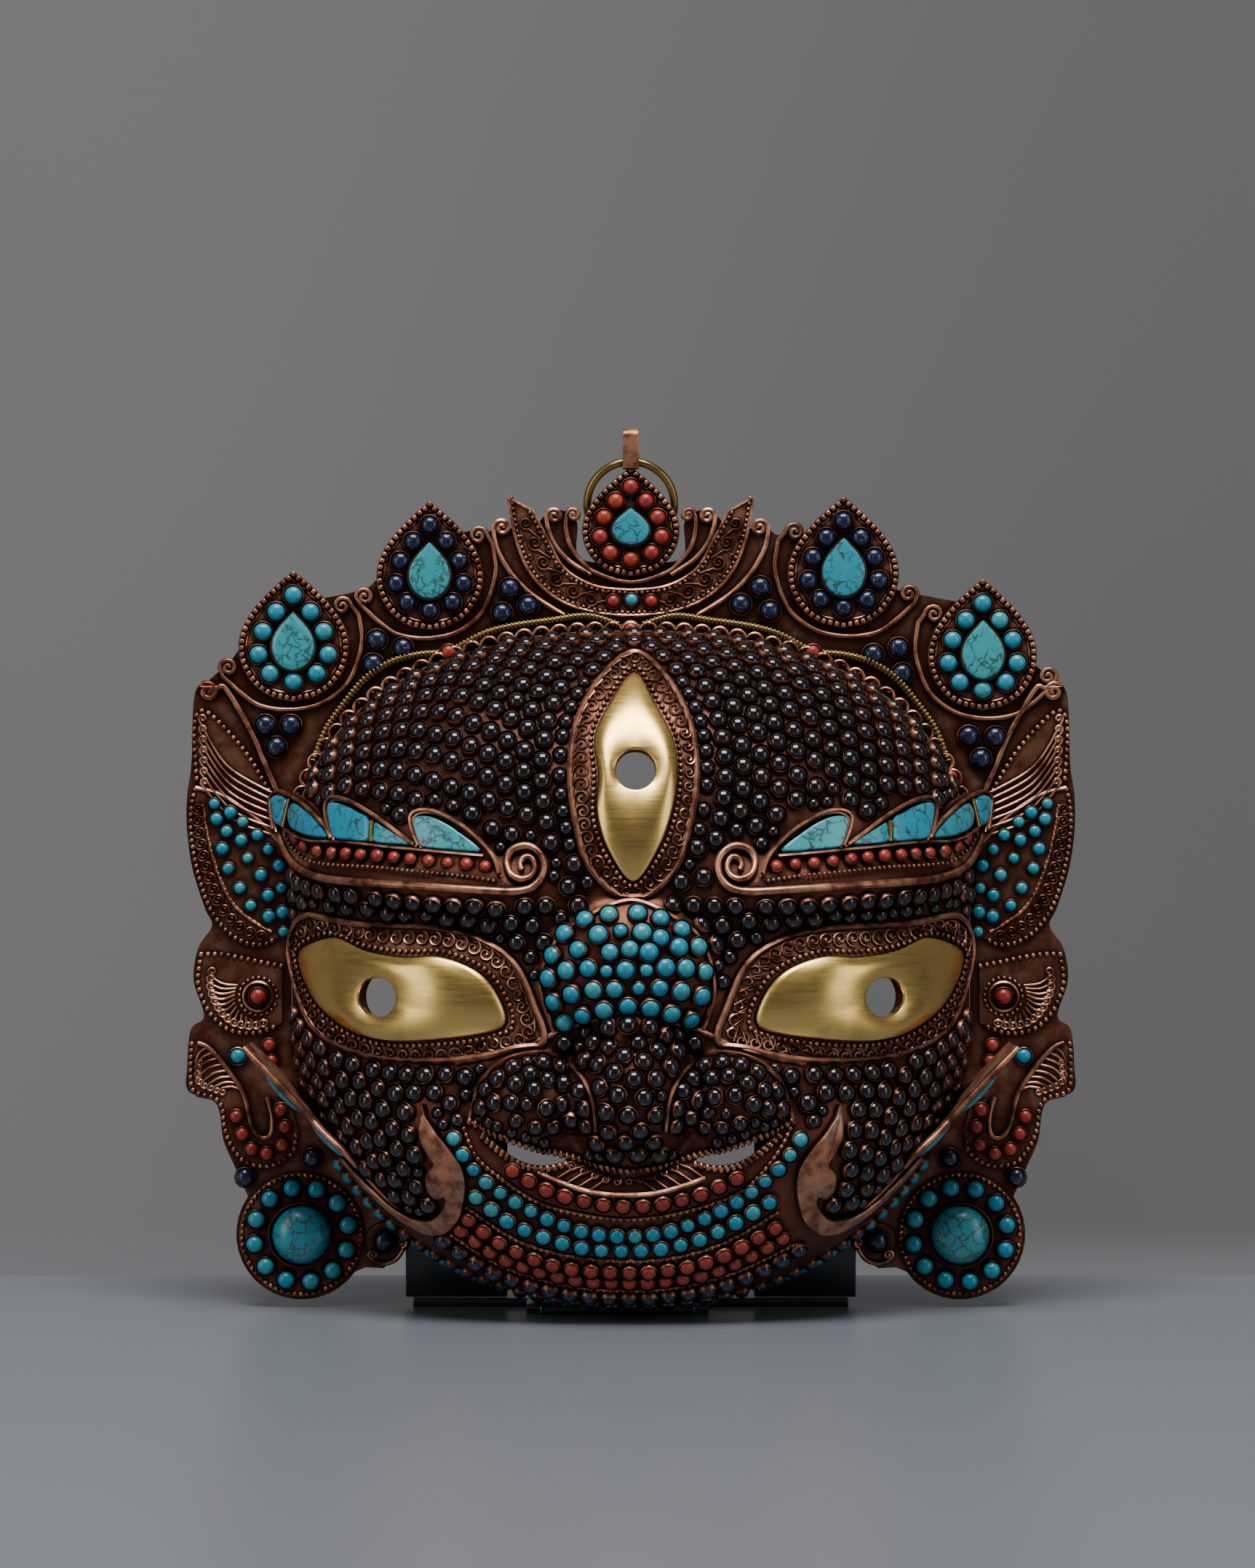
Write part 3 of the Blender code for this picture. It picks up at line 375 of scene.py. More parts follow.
class MaskSizes(bpy.types.PropertyGroup):
    """Sizes of the small settings and wires."""
    garnet_radius: length_property("Garnet", "Radius of a face garnet", 2.42)
    nose_stone_radius: length_property("Nose stone", "Radius of a stone on the nose dome", 2.45)
    bead_radius: length_property("Bead", "Radius of a bead of the fine beaded wire", 0.72)
    fine_wire: length_property("Fine wire", "Radius of the filigree wire", 0.29)
    edge_wire: length_property("Edge wire", "Radius of the plain wire round an ornament", 0.75)


class MaskColours(bpy.types.PropertyGroup):
    """Colours of the metals and stones."""
    copper_dark: colour_property("Oxide", "Copper in the recesses", (0.012, 0.0045, 0.003))
    copper: colour_property("Copper", "Oxidised copper on the open surfaces", (0.135, 0.040, 0.020))
    # Rubbed copper is partly rubbed wear, partly a painted highlight on open crests and rims.
    copper_worn_highlight: colour_property("Rubbed copper", "Copper on rubbed edges", (0.60, 0.275, 0.16))
    solder: colour_property("Solder", "Pale solder and mineral bloom", (0.27, 0.245, 0.19))
    brass: colour_property("Brass", "Satin brass of the eyes", (0.86, 0.56, 0.17))
    turquoise: colour_property("Turquoise", "Bright turquoise", (0.001, 0.190, 0.34))
    turquoise_pale: colour_property("Pale turquoise", "Green turquoise", (0.045, 0.34, 0.34))
    coral: colour_property("Coral", "Orange coral", (0.50, 0.062, 0.020))
    coral_deep: colour_property("Deep coral", "Darker coral", (0.27, 0.020, 0.012))
    lapis: colour_property("Lapis", "Dark blue stone", (0.005, 0.009, 0.032))
    garnet: colour_property("Garnet", "Nearly black red stone", (0.010, 0.006, 0.009))
    black: colour_property("Black lacquer", "The stand", (0.006, 0.006, 0.007))


def sizes():
    return bpy.context.scene.ritual_mask_sizes


def colours():
    return bpy.context.scene.ritual_mask_colours


# Gathering shapes into pieces

class Piece:
    """Shapes of one finish that become one object, with a tint for each shape."""

    def __init__(self, name, finish, slot, replaces=(), smooth_angle=50.0):
        self.name, self.finish, self.slot = name, finish, slot
        self.replaces, self.smooth_angle = replaces, smooth_angle
        self.bm = bmesh.new()
        self.tints = []
        self.random = random.Random(name)

    def mark(self, before, tint=None):
        """Note one tint for the vertices made since."""
        tint = self.random.random() if tint is None else tint
        self.tints.append((len(self.bm.verts) - before, tint))

    def stamp(self, template, matrices, tint=None):
        """Add a copy of a small shape at each place."""
        for matrix in matrices:
            before = len(self.bm.verts)
            copy = template.copy()
            copy.transform(matrix)
            self.bm.from_mesh(copy)
            bpy.data.meshes.remove(copy)
            self.mark(before, tint)

    def shape(self, bm, tint=None):
        """Add a shape that is already in place."""
        mesh = mesh_from(bm)
        self.stamp(mesh, [Matrix.Identity(4)], tint)
        bpy.data.meshes.remove(mesh)

    def wires(self, lines, radius, closed=False, sides=6, tapers=None):
        """Add round wires through points in space."""
        curve = bpy.data.curves.new(self.name + "_wires", "CURVE")
        curve.dimensions = "3D"
        curve.bevel_depth = radius
        curve.bevel_resolution = (sides - 4) // 2
        curve.use_fill_caps = True
        for index, line in enumerate(lines):
            spline = curve.splines.new("POLY")
            spline.points.add(len(line) - 1)
            for i, (place, point) in enumerate(zip(spline.points, line)):
                place.co = (*point, 1.0)
                place.radius = tapers[index][i] if tapers else 1.0
            spline.use_cyclic_u = closed
        holder = bpy.data.objects.new(curve.name, curve)
        bpy.context.scene.collection.objects.link(holder)
        mesh = bpy.data.meshes.new_from_object(holder.evaluated_get(
            bpy.context.evaluated_depsgraph_get()))
        before = len(self.bm.verts)
        self.bm.from_mesh(mesh)
        self.mark(before)
        bpy.data.objects.remove(holder)
        bpy.data.curves.remove(curve)
        bpy.data.meshes.remove(mesh)

    def done(self):
        """Make the object, give it its body, and hide the solid parts that it replaces."""
        mesh = mesh_from(self.bm, self.name)
        mesh.shade_smooth()
        mesh.set_sharp_from_angle(angle=math.radians(self.smooth_angle))
        mesh.materials.append(self.finish)
        tint = mesh.attributes.new("tint", "FLOAT", "POINT")
        counts, values = zip(*self.tints)
        tint.data.foreach_set("value", np.repeat(np.array(values, np.float32), counts))
        piece = bpy.data.objects.new(self.name, mesh)
        bpy.context.scene.collection.objects.link(piece)
        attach(piece, "root")
        if self.replaces:
            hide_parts(*self.replaces)
        return piece


def finished(*pieces):
    """Make each piece's object, and say that the operator is through."""
    for piece in pieces:
        piece.done()
    return {"FINISHED"}


def mesh_from(bm, name="shape"):
    mesh = bpy.data.meshes.new(name)
    bm.to_mesh(mesh)
    bm.free()
    return mesh


def standing(point, normal, turn=0.0):
    """A matrix whose Z points out of the surface and whose Y points up along it."""
    right = Vector((0.0, 0.0, 1.0)).cross(normal)
    right = right.normalized() if right.length > 0.05 else Vector((1.0, 0.0, 0.0))
    up = normal.cross(right)
    turned = Matrix((right, up, normal)).transposed().to_4x4()
    return Matrix.Translation(point) @ turned @ Matrix.Rotation(turn, 4, "Z")


def places(surface, points, lift=0.0, size=None):
    """Matrices for settings that stand on a surface at these points."""
    matrices = []
    for i, p in enumerate(points):
        matrix = standing(*surface(p.x, p.y, lift))
        if size is not None:
            share = size[i] if hasattr(size, "__len__") else size
            matrix = matrix @ Matrix.Scale(share, 4)
        matrices.append(matrix)
    return matrices


def along_line(surface, line, lift=0.0, closed=False):
    """Matrices whose X runs along the line, for square beads and notches."""
    matrices = []
    last = len(line) - 1
    for i, p in enumerate(line):
        after = line[(i + 1) % len(line)] if closed else line[min(last, i + 1)]
        before = line[i - 1] if closed or i else line[0]
        along = after - before
        matrices.append(standing(*surface(p.x, p.y, lift), math.atan2(along.y, along.x)))
    return matrices


def lifted(surface, line, lift):
    """A flat line laid on a surface, this far off it."""
    return [surface(p.x, p.y, lift)[0] for p in line]


# Small shapes that are repeated

def of_kind(items, kind):
    """The vertices or edges among what a bmesh operator has made."""
    return [item for item in items if isinstance(item, kind)]


def ends_of(edges):
    """Every vertex of these edges, once."""
    return {v for edge in edges for v in edge.verts}


def thicken(bm, thickness):
    """Give a surface without a back its thickness."""
    bmesh.ops.recalc_face_normals(bm, faces=bm.faces)
    bmesh.ops.solidify(bm, geom=bm.faces[:], thickness=thickness)
    bmesh.ops.recalc_face_normals(bm, faces=bm.faces)


def cabochon(radius, rise, segments=12, rings=3):
    """A round stone with a domed top."""
    bm = bmesh.new()
    bmesh.ops.create_uvsphere(bm, u_segments=segments, v_segments=2 * rings, radius=radius)
    low = [v for v in bm.verts if v.co.z < -radius * 0.1]
    bmesh.ops.delete(bm, geom=low, context="VERTS")
    bmesh.ops.scale(bm, vec=(1.0, 1.0, rise / radius), verts=bm.verts)
    return mesh_from(bm)


def bezel(radius, wall, rise, segments=12):
    """A strip of metal bent round a stone, leaning in over its edge."""
    bm = bmesh.new()
    bmesh.ops.create_circle(bm, segments=segments, radius=radius + wall * 1.25)
    edges = bm.edges[:]
    for reach, height in ((radius + wall * 0.95, rise * 0.93), (radius + wall * 0.62, rise),
                          (radius + wall * 0.2, rise * 0.5)):
        grown = bmesh.ops.extrude_edge_only(bm, edges=edges)["geom"]
        edges = of_kind(grown, bmesh.types.BMEdge)
        for v in ends_of(edges):
            v.co = Vector((v.co.x, v.co.y, 0.0)).normalized() * reach + Vector((0, 0, height))
    bmesh.ops.recalc_face_normals(bm, faces=bm.faces)
    return mesh_from(bm)


def bead(radius, squash=0.85, segments=8):
    """A small round bead, open where it is soldered down."""
    bm = bmesh.new()
    bmesh.ops.create_uvsphere(bm, u_segments=segments, v_segments=6, radius=radius)
    low = [v for v in bm.verts if v.co.z < -radius * 0.55]
    bmesh.ops.delete(bm, geom=low, context="VERTS")
    bmesh.ops.scale(bm, vec=(1.0, 1.0, squash), verts=bm.verts)
    return mesh_from(bm)


def square_bead(length, width, rise):
    """A bead cut from square wire, with softened edges."""
    bm = bmesh.new()
    bmesh.ops.create_cube(bm, size=1.0)
    bmesh.ops.scale(bm, vec=(length, width, rise), verts=bm.verts)
    bmesh.ops.bevel(bm, geom=bm.edges[:], offset=min(length, width) * 0.22, segments=1, profile=0.5,
                    affect="EDGES", material=-1)
    bmesh.ops.translate(bm, vec=(0, 0, rise / 2), verts=bm.verts)
    return mesh_from(bm)


def sheet(outline, surface, low, high, bevel=0.0, segments=2):
    """A flat sheet cut to an outline, its top and bottom at two lifts."""
    bm = bmesh.new()
    face = bm.faces.new([bm.verts.new(surface(p.x, p.y, low)[0]) for p in outline])
    grown = bmesh.ops.extrude_face_region(bm, geom=[face])["geom"]
    tops = of_kind(grown, bmesh.types.BMVert)
    for v in tops:
        v.co = surface(v.co.x, v.co.z, high)[0]
    bmesh.ops.recalc_face_normals(bm, faces=bm.faces)
    if bevel:
        top_set = set(tops)
        edges = [e for e in bm.edges if e.verts[0] in top_set and e.verts[1] in top_set]
        bmesh.ops.bevel(bm, geom=edges, offset=bevel, segments=segments, profile=0.5, affect="EDGES",
                        material=-1)
    return bm


# Node helpers

def add_node(tree, kind, inputs=None, **settings):
    """A node with its settings, its plain values and its links."""
    node = tree.nodes.new(kind)
    for key, value in settings.items():
        setattr(node, key, value)
    for key, value in (inputs or {}).items():
        if isinstance(value, bpy.types.NodeSocket):
            tree.links.new(value, node.inputs[key])
        else:
            node.inputs[key].default_value = value
    return node


def mix_colours(tree, factor, first, second, blend="MIX"):
    mix = add_node(tree, "ShaderNodeMix", {0: factor, 6: first, 7: second}, data_type="RGBA",
                   blend_type=blend)
    return mix.outputs[2]


def math_node(tree, operation, first, second=0.0, third=None, clamp=False):
    inputs = {0: first, 1: second}
    if third is not None:
        inputs[2] = third
    return add_node(tree, "ShaderNodeMath", inputs, operation=operation, use_clamp=clamp).outputs[0]


def openness_within(tree, distance):
    """1 on open surfaces, less in hollows of this size."""
    return add_node(tree, "ShaderNodeAmbientOcclusion", {"Distance": distance}, samples=4).outputs["AO"]


def ramp_mask(tree, value, low, high):
    """0 below low, 1 above high, smooth between."""
    node = add_node(tree, "ShaderNodeMapRange", {"Value": value, "From Min": low, "From Max": high},
                    interpolation_type="SMOOTHSTEP", clamp=True)
    return node.outputs["Result"]


def open_group(name, inputs, outputs):
    """A shader node group with named sockets, its input node and its output node."""
    group = bpy.data.node_groups.new(name, "ShaderNodeTree")
    for label, kind, default in inputs:
        socket = group.interface.new_socket(label, in_out="INPUT", socket_type=kind)
        socket.default_value = default
    for label, kind in outputs:
        group.interface.new_socket(label, in_out="OUTPUT", socket_type=kind)
    return group, group.nodes.new("NodeGroupInput"), group.nodes.new("NodeGroupOutput")


def place_group(tree, name, **values):
    """Put a finished group in a material with its own values."""
    node = tree.nodes.new("ShaderNodeGroup")
    node.node_tree = bpy.data.node_groups[name]
    for label, value in values.items():
        socket = node.inputs[label.replace("_", " ").capitalize()]
        if isinstance(value, bpy.types.NodeSocket):
            tree.links.new(value, socket)
        else:
            socket.default_value = value
    return node


def solid_noise(tree, scale, detail=3.0, roughness=0.55, stretch=None):
    """Noise in the piece's own metres."""
    coordinates = add_node(tree, "ShaderNodeTexCoord").outputs["Object"]
    if stretch:
        coordinates = add_node(tree, "ShaderNodeMapping", {"Vector": coordinates, "Scale": stretch})
        coordinates = coordinates.outputs["Vector"]
    noise = add_node(tree, "ShaderNodeTexNoise", {"Vector": coordinates, "Scale": scale,
                                                  "Detail": detail, "Roughness": roughness})
    return noise.outputs["Fac"]


FLOAT, COLOUR = "NodeSocketFloat", "NodeSocketColor"


def build_patina_group():
    """Copper that is dark in its hollows, bright on open crests (partly rubbed wear, partly a painted
    highlight) and pale where soldered.
    """
    group, given, result = open_group(
        "copper_patina",
        [("Openness", FLOAT, 1.0), ("Tint", FLOAT, 0.5), ("Dark", COLOUR, (0, 0, 0, 1)),
         ("Copper", COLOUR, (0, 0, 0, 1)), ("Bright", COLOUR, (0, 0, 0, 1)),
         ("Solder", COLOUR, (0, 0, 0, 1)), ("Rubbed", FLOAT, 0.5), ("Bloom", FLOAT, 0.5),
         ("Red", FLOAT, 0.3)],
        [("Color", COLOUR), ("Roughness", FLOAT), ("Height", FLOAT)])
    out = given.outputs
    clouds = solid_noise(group, 70.0, 4.0)
    blotches = solid_noise(group, 190.0, 3.0, 0.6)
    grain = solid_noise(group, 1500.0, 3.0, 0.6)
    rusty = mix_colours(group, math_node(group, "MULTIPLY", ramp_mask(group, clouds, 0.45, 0.68),
                                         out["Red"]), out["Copper"], (0.150, 0.024, 0.011, 1.0))
    tinted = math_node(group, "MULTIPLY_ADD", out["Tint"], 0.5, 0.7)
    varied = mix_colours(group, 1.0, rusty, tinted, "MULTIPLY")
    # Bright copper on open crests and rims: partly rubbed wear, partly a painted highlight.
    rubbed_highlight = math_node(group, "MULTIPLY", ramp_mask(group, out["Openness"], 0.80, 1.0),
                        ramp_mask(group, blotches, 0.30, 0.66))
    rubbed_highlight = math_node(group, "MULTIPLY", rubbed_highlight, out["Rubbed"])
    worn_highlit = mix_colours(group, rubbed_highlight, varied, out["Bright"])
    bloom = math_node(group, "MULTIPLY", ramp_mask(group, solid_noise(group, 120.0, 5.0, 0.65), 0.52, 0.70),
                      out["Bloom"])
    bloomed = mix_colours(group, bloom, worn_highlit, out["Solder"])
    hollow = ramp_mask(group, out["Openness"], 0.98, 0.42)
    hollow = math_node(group, "MULTIPLY", hollow, 0.92)
    coloured = mix_colours(group, hollow, bloomed, out["Dark"])
    group.links.new(coloured, result.inputs["Color"])
    rough = math_node(group, "MULTIPLY_ADD", bloom, 0.25, 0.27)
    group.links.new(math_node(group, "MULTIPLY_ADD", grain, 0.16, rough), result.inputs["Roughness"])
    group.links.new(math_node(group, "MULTIPLY_ADD", grain, 0.5, blotches), result.inputs["Height"])


def build_vein_group():
    """Dark matrix lines that wander through a stone."""
    group, given, result = open_group(
        "stone_matrix",
        [("Scale", FLOAT, 300.0), ("Width", FLOAT, 0.05), ("Strength", FLOAT, 0.7)],
        [("Veins", FLOAT), ("Clouds", FLOAT)])
    out = given.outputs
    coordinates = add_node(group, "ShaderNodeTexCoord").outputs["Object"]
    warp = add_node(group, "ShaderNodeTexNoise", {"Vector": coordinates, "Scale": 420.0, "Detail": 3.0})
    bent = mix_colours(group, 0.004, coordinates, warp.outputs["Color"], "ADD")
    cells = add_node(group, "ShaderNodeTexVoronoi", {"Vector": bent, "Scale": out["Scale"]},
                     feature="DISTANCE_TO_EDGE")
    thin = math_node(group, "DIVIDE", cells.outputs["Distance"], out["Width"], clamp=True)
    lines = math_node(group, "SUBTRACT", 1.0, thin)
    broken = ramp_mask(group, solid_noise(group, 190.0, 3.0), 0.38, 0.54)
    veins = math_node(group, "MULTIPLY", math_node(group, "MULTIPLY", lines, broken), out["Strength"])
    group.links.new(veins, result.inputs["Veins"])
    group.links.new(solid_noise(group, 330.0, 4.0, 0.6), result.inputs["Clouds"])


def build_speck_group():
    """Small scattered specks or pits."""
    group, given, result = open_group(
        "stone_specks",
        [("Scale", FLOAT, 900.0), ("Size", FLOAT, 0.25), ("Share", FLOAT, 0.4)], [("Specks", FLOAT)])
    out = given.outputs
    coordinates = add_node(group, "ShaderNodeTexCoord").outputs["Object"]
    cells = add_node(group, "ShaderNodeTexVoronoi", {"Vector": coordinates, "Scale": out["Scale"]})
    round_specks = math_node(group, "LESS_THAN", cells.outputs["Distance"], out["Size"])
    chosen = math_node(group, "LESS_THAN", solid_noise(group, 700.0, 2.0), out["Share"])
    group.links.new(math_node(group, "MULTIPLY", round_specks, chosen), result.inputs["Specks"])


def build_brush_group():
    """Fine brush marks and scratches along X, with slow tarnish."""
    group, given, result = open_group(
        "brushed_grain", [("Strength", FLOAT, 0.5)],
        [("Marks", FLOAT), ("Tarnish", FLOAT), ("Roughness", FLOAT)])
    marks = solid_noise(group, 60.0, 5.0, 0.7, stretch=(1.0, 2.0, 22.0))
    scratches = ramp_mask(group, solid_noise(group, 90.0, 2.0, 0.5, stretch=(9.0, 3.0, 2.0)), 0.60, 0.66)
    both = math_node(group, "ADD", marks, math_node(group, "MULTIPLY", scratches, 0.25))
    group.links.new(math_node(group, "MULTIPLY", both, given.outputs["Strength"]), result.inputs["Marks"])
    group.links.new(ramp_mask(group, solid_noise(group, 110.0, 4.0), 0.50, 0.72), result.inputs["Tarnish"])
    rough = add_node(group, "ShaderNodeMapRange", {"Value": marks, "From Min": 0.3, "From Max": 0.7,
                                                   "To Min": 0.24, "To Max": 0.34})
    group.links.new(rough.outputs["Result"], result.inputs["Roughness"])


def new_finish(name, metallic=0.0, coat=0.0, specular=0.5):
    finish = bpy.data.materials.new(name)
    finish.use_nodes = True
    shader = finish.node_tree.nodes["Principled BSDF"]
    shader.inputs["Metallic"].default_value = metallic
    shader.inputs["Coat Weight"].default_value = coat
    shader.inputs["Coat Roughness"].default_value = 0.12
    shader.inputs["Specular IOR Level"].default_value = specular
    return finish, finish.node_tree, shader


def set_look(tree, shader, colour, roughness):
    """Give a shader its colour, and its roughness as a value or a socket."""
    tree.links.new(colour, shader.inputs["Base Color"])
    if isinstance(roughness, bpy.types.NodeSocket):
        tree.links.new(roughness, shader.inputs["Roughness"])
    else:
        shader.inputs["Roughness"].default_value = roughness


def bump_from(tree, height, shader, distance, strength=1.0):
    bump = add_node(tree, "ShaderNodeBump", {"Height": height, "Distance": distance,
                                             "Strength": strength})
    tree.links.new(bump.outputs["Normal"], shader.inputs["Normal"])


def tint_of(tree):
    return add_node(tree, "ShaderNodeAttribute", attribute_name="tint").outputs["Fac"]


def rgba(colour, share=1.0):
    return (colour[0] * share, colour[1] * share, colour[2] * share, 1.0)


def copper_finish(name, reach=1.8, rubbed=0.75, bloom=0.18, red=0.35, metallic=0.8):
    """Old copper; reach is how far the dark of its hollows spreads."""
    finish, tree, shader = new_finish(name, metallic=metallic)
    patina = place_group(tree, "copper_patina", openness=openness_within(tree, reach * MM),
                         tint=tint_of(tree),
                         dark=rgba(colours().copper_dark), copper=rgba(colours().copper),
                         bright=rgba(colours().copper_worn_highlight), solder=rgba(colours().solder),
                         rubbed=rubbed, bloom=bloom, red=red)
    set_look(tree, shader, patina.outputs["Color"], patina.outputs["Roughness"])
    bump_from(tree, patina.outputs["Height"], shader, 0.12 * MM, 0.6)
    return finish


def brass_finish(name, share=1.0, strength=0.5):
    """Brushed brass with slight tarnish, and painted shade in its hollows."""
    finish, tree, shader = new_finish(name, metallic=1.0)
    grain = place_group(tree, "brushed_grain", strength=strength)
    bright = rgba(colours().brass, share)
    dull = rgba(colours().brass, share * 0.78)
    toned = mix_colours(tree, grain.outputs["Tarnish"], bright, dull)
    # Painted shade: the brass darkens in its hollows, next to its frame and round the pupil.
    edge = ramp_mask(tree, openness_within(tree, 2.5 * MM), 0.95, 0.45)
    coloured = mix_colours(tree, edge, toned, (0.07, 0.045, 0.02, 1.0))
    set_look(tree, shader, coloured, grain.outputs["Roughness"])
    bump_from(tree, grain.outputs["Marks"], shader, 0.05 * MM, 0.10)
    return finish


def turquoise_finish(name, pale_share=0.35, scale=260.0, width=0.035, strength=0.6):
    """Turquoise from bright blue to green, with dark matrix."""
    finish, tree, shader = new_finish(name, coat=0.25)
    matrix = place_group(tree, "stone_matrix", scale=scale, width=width, strength=strength)
    tint = tint_of(tree)
    paleness = math_node(tree, "MULTIPLY_ADD", math_node(tree, "POWER", tint, 2.2),
                         0.5 * pale_share + 0.3, pale_share * 0.6)
    cloudy = math_node(tree, "MULTIPLY_ADD", matrix.outputs["Clouds"], 0.5, -0.25)
    paleness = math_node(tree, "ADD", paleness, cloudy, clamp=True)
    base = mix_colours(tree, paleness, rgba(colours().turquoise), rgba(colours().turquoise_pale))
    coloured = mix_colours(tree, matrix.outputs["Veins"], base, (0.035, 0.028, 0.016, 1.0))
    set_look(tree, shader, coloured, 0.3)
    bump_from(tree, matrix.outputs["Clouds"], shader, 0.15 * MM, 0.5)
    return finish


def coral_finish(name):
    """Orange coral with pits and darker growth."""
    finish, tree, shader = new_finish(name, coat=0.15)
    pits = place_group(tree, "stone_specks", scale=1500.0, size=0.22, share=0.55)
    clouds = solid_noise(tree, 420.0, 4.0, 0.6)
    depth = math_node(tree, "MULTIPLY_ADD", tint_of(tree), 0.55,
                      math_node(tree, "MULTIPLY_ADD", clouds, 0.7))
    depth = math_node(tree, "SUBTRACT", depth, 0.25, clamp=True)
    base = mix_colours(tree, depth, rgba(colours().coral), rgba(colours().coral_deep))
    coloured = mix_colours(tree, pits.outputs["Specks"], base, (0.05, 0.012, 0.008, 1.0))
    set_look(tree, shader, coloured, 0.36)
    bump_from(tree, clouds, shader, 0.2 * MM, 0.5)
    return finish


def lapis_finish(name):
    """Dark blue stone with pale specks."""
    finish, tree, shader = new_finish(name, coat=0.3)
    specks = place_group(tree, "stone_specks", scale=1100.0, size=0.26, share=0.47)
    deep = mix_colours(tree, solid_noise(tree, 300.0, 4.0), rgba(colours().lapis, 0.5),
                       rgba(colours().lapis, 1.8))
    coloured = mix_colours(tree, math_node(tree, "MULTIPLY", specks.outputs["Specks"], 0.5), deep,
                           (0.22, 0.26, 0.36, 1.0))
    set_look(tree, shader, coloured, 0.24)
    return finish


def garnet_finish(name):
    """Nearly black polished stone with a red depth."""
    finish, tree, shader = new_finish(name, coat=0.5)
    red = mix_colours(tree, math_node(tree, "POWER", tint_of(tree), 3.0), rgba(colours().garnet),
                      (0.035, 0.007, 0.010, 1.0))
    clouds = ramp_mask(tree, solid_noise(tree, 500.0, 3.0), 0.35, 0.75)
    coloured = mix_colours(tree, clouds, rgba(colours().garnet, 0.5), red)
    set_look(tree, shader, coloured, 0.16)
    return finish


def lacquer_finish(name):
    """Glossy black with faint dust."""
    finish, tree, shader = new_finish(name, coat=0.4)
    dust = ramp_mask(tree, solid_noise(tree, 45.0, 6.0, 0.7), 0.5, 0.8)
    coloured = mix_colours(tree, math_node(tree, "MULTIPLY", dust, 0.12), rgba(colours().black),
                           (0.09, 0.085, 0.08, 1.0))
    set_look(tree, shader, coloured, math_node(tree, "MULTIPLY_ADD", dust, 0.2, 0.2))
    return finish


FINISHES = {}


def in_copper(name, finish="copper", *details):
    """A piece of old copper in one of its finishes."""
    return Piece(name, FINISHES[finish], "oxidised_copper", *details)


def build_finishes():
    """Every finish, once, by the name that pieces ask for."""
    for build in (build_patina_group, build_vein_group, build_speck_group, build_brush_group):
        build()
    FINISHES["copper"] = copper_finish("oxidised_copper")
    FINISHES["face"] = copper_finish("face_copper", reach=4.0, rubbed=0.08, bloom=0.08, red=0.5)
    FINISHES["crown"] = copper_finish("crown_copper", reach=3.5, rubbed=0.3, bloom=0.4, red=0.9)
    # The wires' bright crests are partly rubbed wear, partly a painted highlight.
    FINISHES["wire"] = copper_finish("rubbed_highlit_copper", reach=1.4, rubbed=1.0, bloom=0.15, red=0.1,
                                     metallic=0.9)
    FINISHES["tusk"] = copper_finish("bare_copper", reach=3.0, rubbed=0.8, bloom=0.8, red=0.1,
                                     metallic=0.7)
    FINISHES["brass"] = brass_finish("satin_brass")
    FINISHES["dull_brass"] = brass_finish("dull_brass", share=0.42, strength=0.5)
    FINISHES["turquoise"] = turquoise_finish("turquoise")
    FINISHES["pale_turquoise"] = turquoise_finish("pale_turquoise", 0.8, 300.0, 0.10, 0.92)
    FINISHES["veined_turquoise"] = turquoise_finish("veined_turquoise", 0.45, 230.0, 0.09, 0.95)
    FINISHES["pale_beads"] = copper_finish("soldered_beads", reach=1.4, rubbed=0.4, bloom=0.8, red=0.1)
    FINISHES["coral"] = coral_finish("coral")
    FINISHES["lapis"] = lapis_finish("lapis")
    FINISHES["garnet"] = garnet_finish("garnet")
    FINISHES["lacquer"] = lacquer_finish("black_lacquer")


# Outlines on the face; eyes, nostril and brow are the right half
EYE_PLATE = ((90.0, 97.5), (84.5, 102.0), (78.5, 103.0), (70.0, 99.5), (60.0, 98.0), (50.0, 98.3),
             (40.0, 94.5), (34.5, 88.0), (32.5, 80.5), (38.5, 78.0), (58.0, 75.8), (69.0, 76.5),
             (77.5, 79.8), (85.5, 86.5))
EYE_FRAME = ((92.5, 98.0), (88.5, 108.0), (77.5, 107.3), (66.0, 106.0), (52.0, 105.3), (39.0, 102.5),
             (30.5, 96.5), (25.5, 86.0), (23.0, 76.0), (32.5, 73.4), (46.0, 70.8), (60.0, 70.6),
             (74.0, 72.6), (86.0, 79.5))
EYE_PUPIL = (67.0, 87.3)
THIRD_PLATE = ((1.0, 174.0), (6.5, 165.0), (11.0, 156.0), (12.2, 147.0), (11.0, 137.0), (7.5, 127.0),
               (0.7, 117.5), (-6.0, 126.0), (-9.0, 136.0), (-8.4, 146.0), (-9.6, 156.0), (-5.5, 165.5))
THIRD_FRAME = ((1.0, 179.0), (9.5, 172.0), (15.5, 160.0), (17.2, 146.0), (15.0, 132.0), (11.0, 121.0),
               (0.7, 113.6), (-10.0, 121.0), (-14.2, 133.0), (-15.8, 147.0), (-14.2, 160.0),
               (-8.0, 172.0))
THIRD_PUPIL = (1.2, 147.5)
PUPIL_RADIUS = 5.2 * MM
PUPIL_MARGIN = 1.0 * MM
SLIT_HEIGHT = 4.6 * MM
SLIT_INNER_X = 17.0 * MM
SLIT_OUTER_X = 39.0 * MM
NOSE_DOME = ((18.9, 79.4), (20.8, 84.8), (21.4, 92.6), (18.6, 102.0), (12.9, 107.6), (0.0, 113.0),
             (-13.4, 107.6), (-19.6, 102.0), (-23.3, 93.0), (-22.3, 84.6), (-20.3, 78.6))
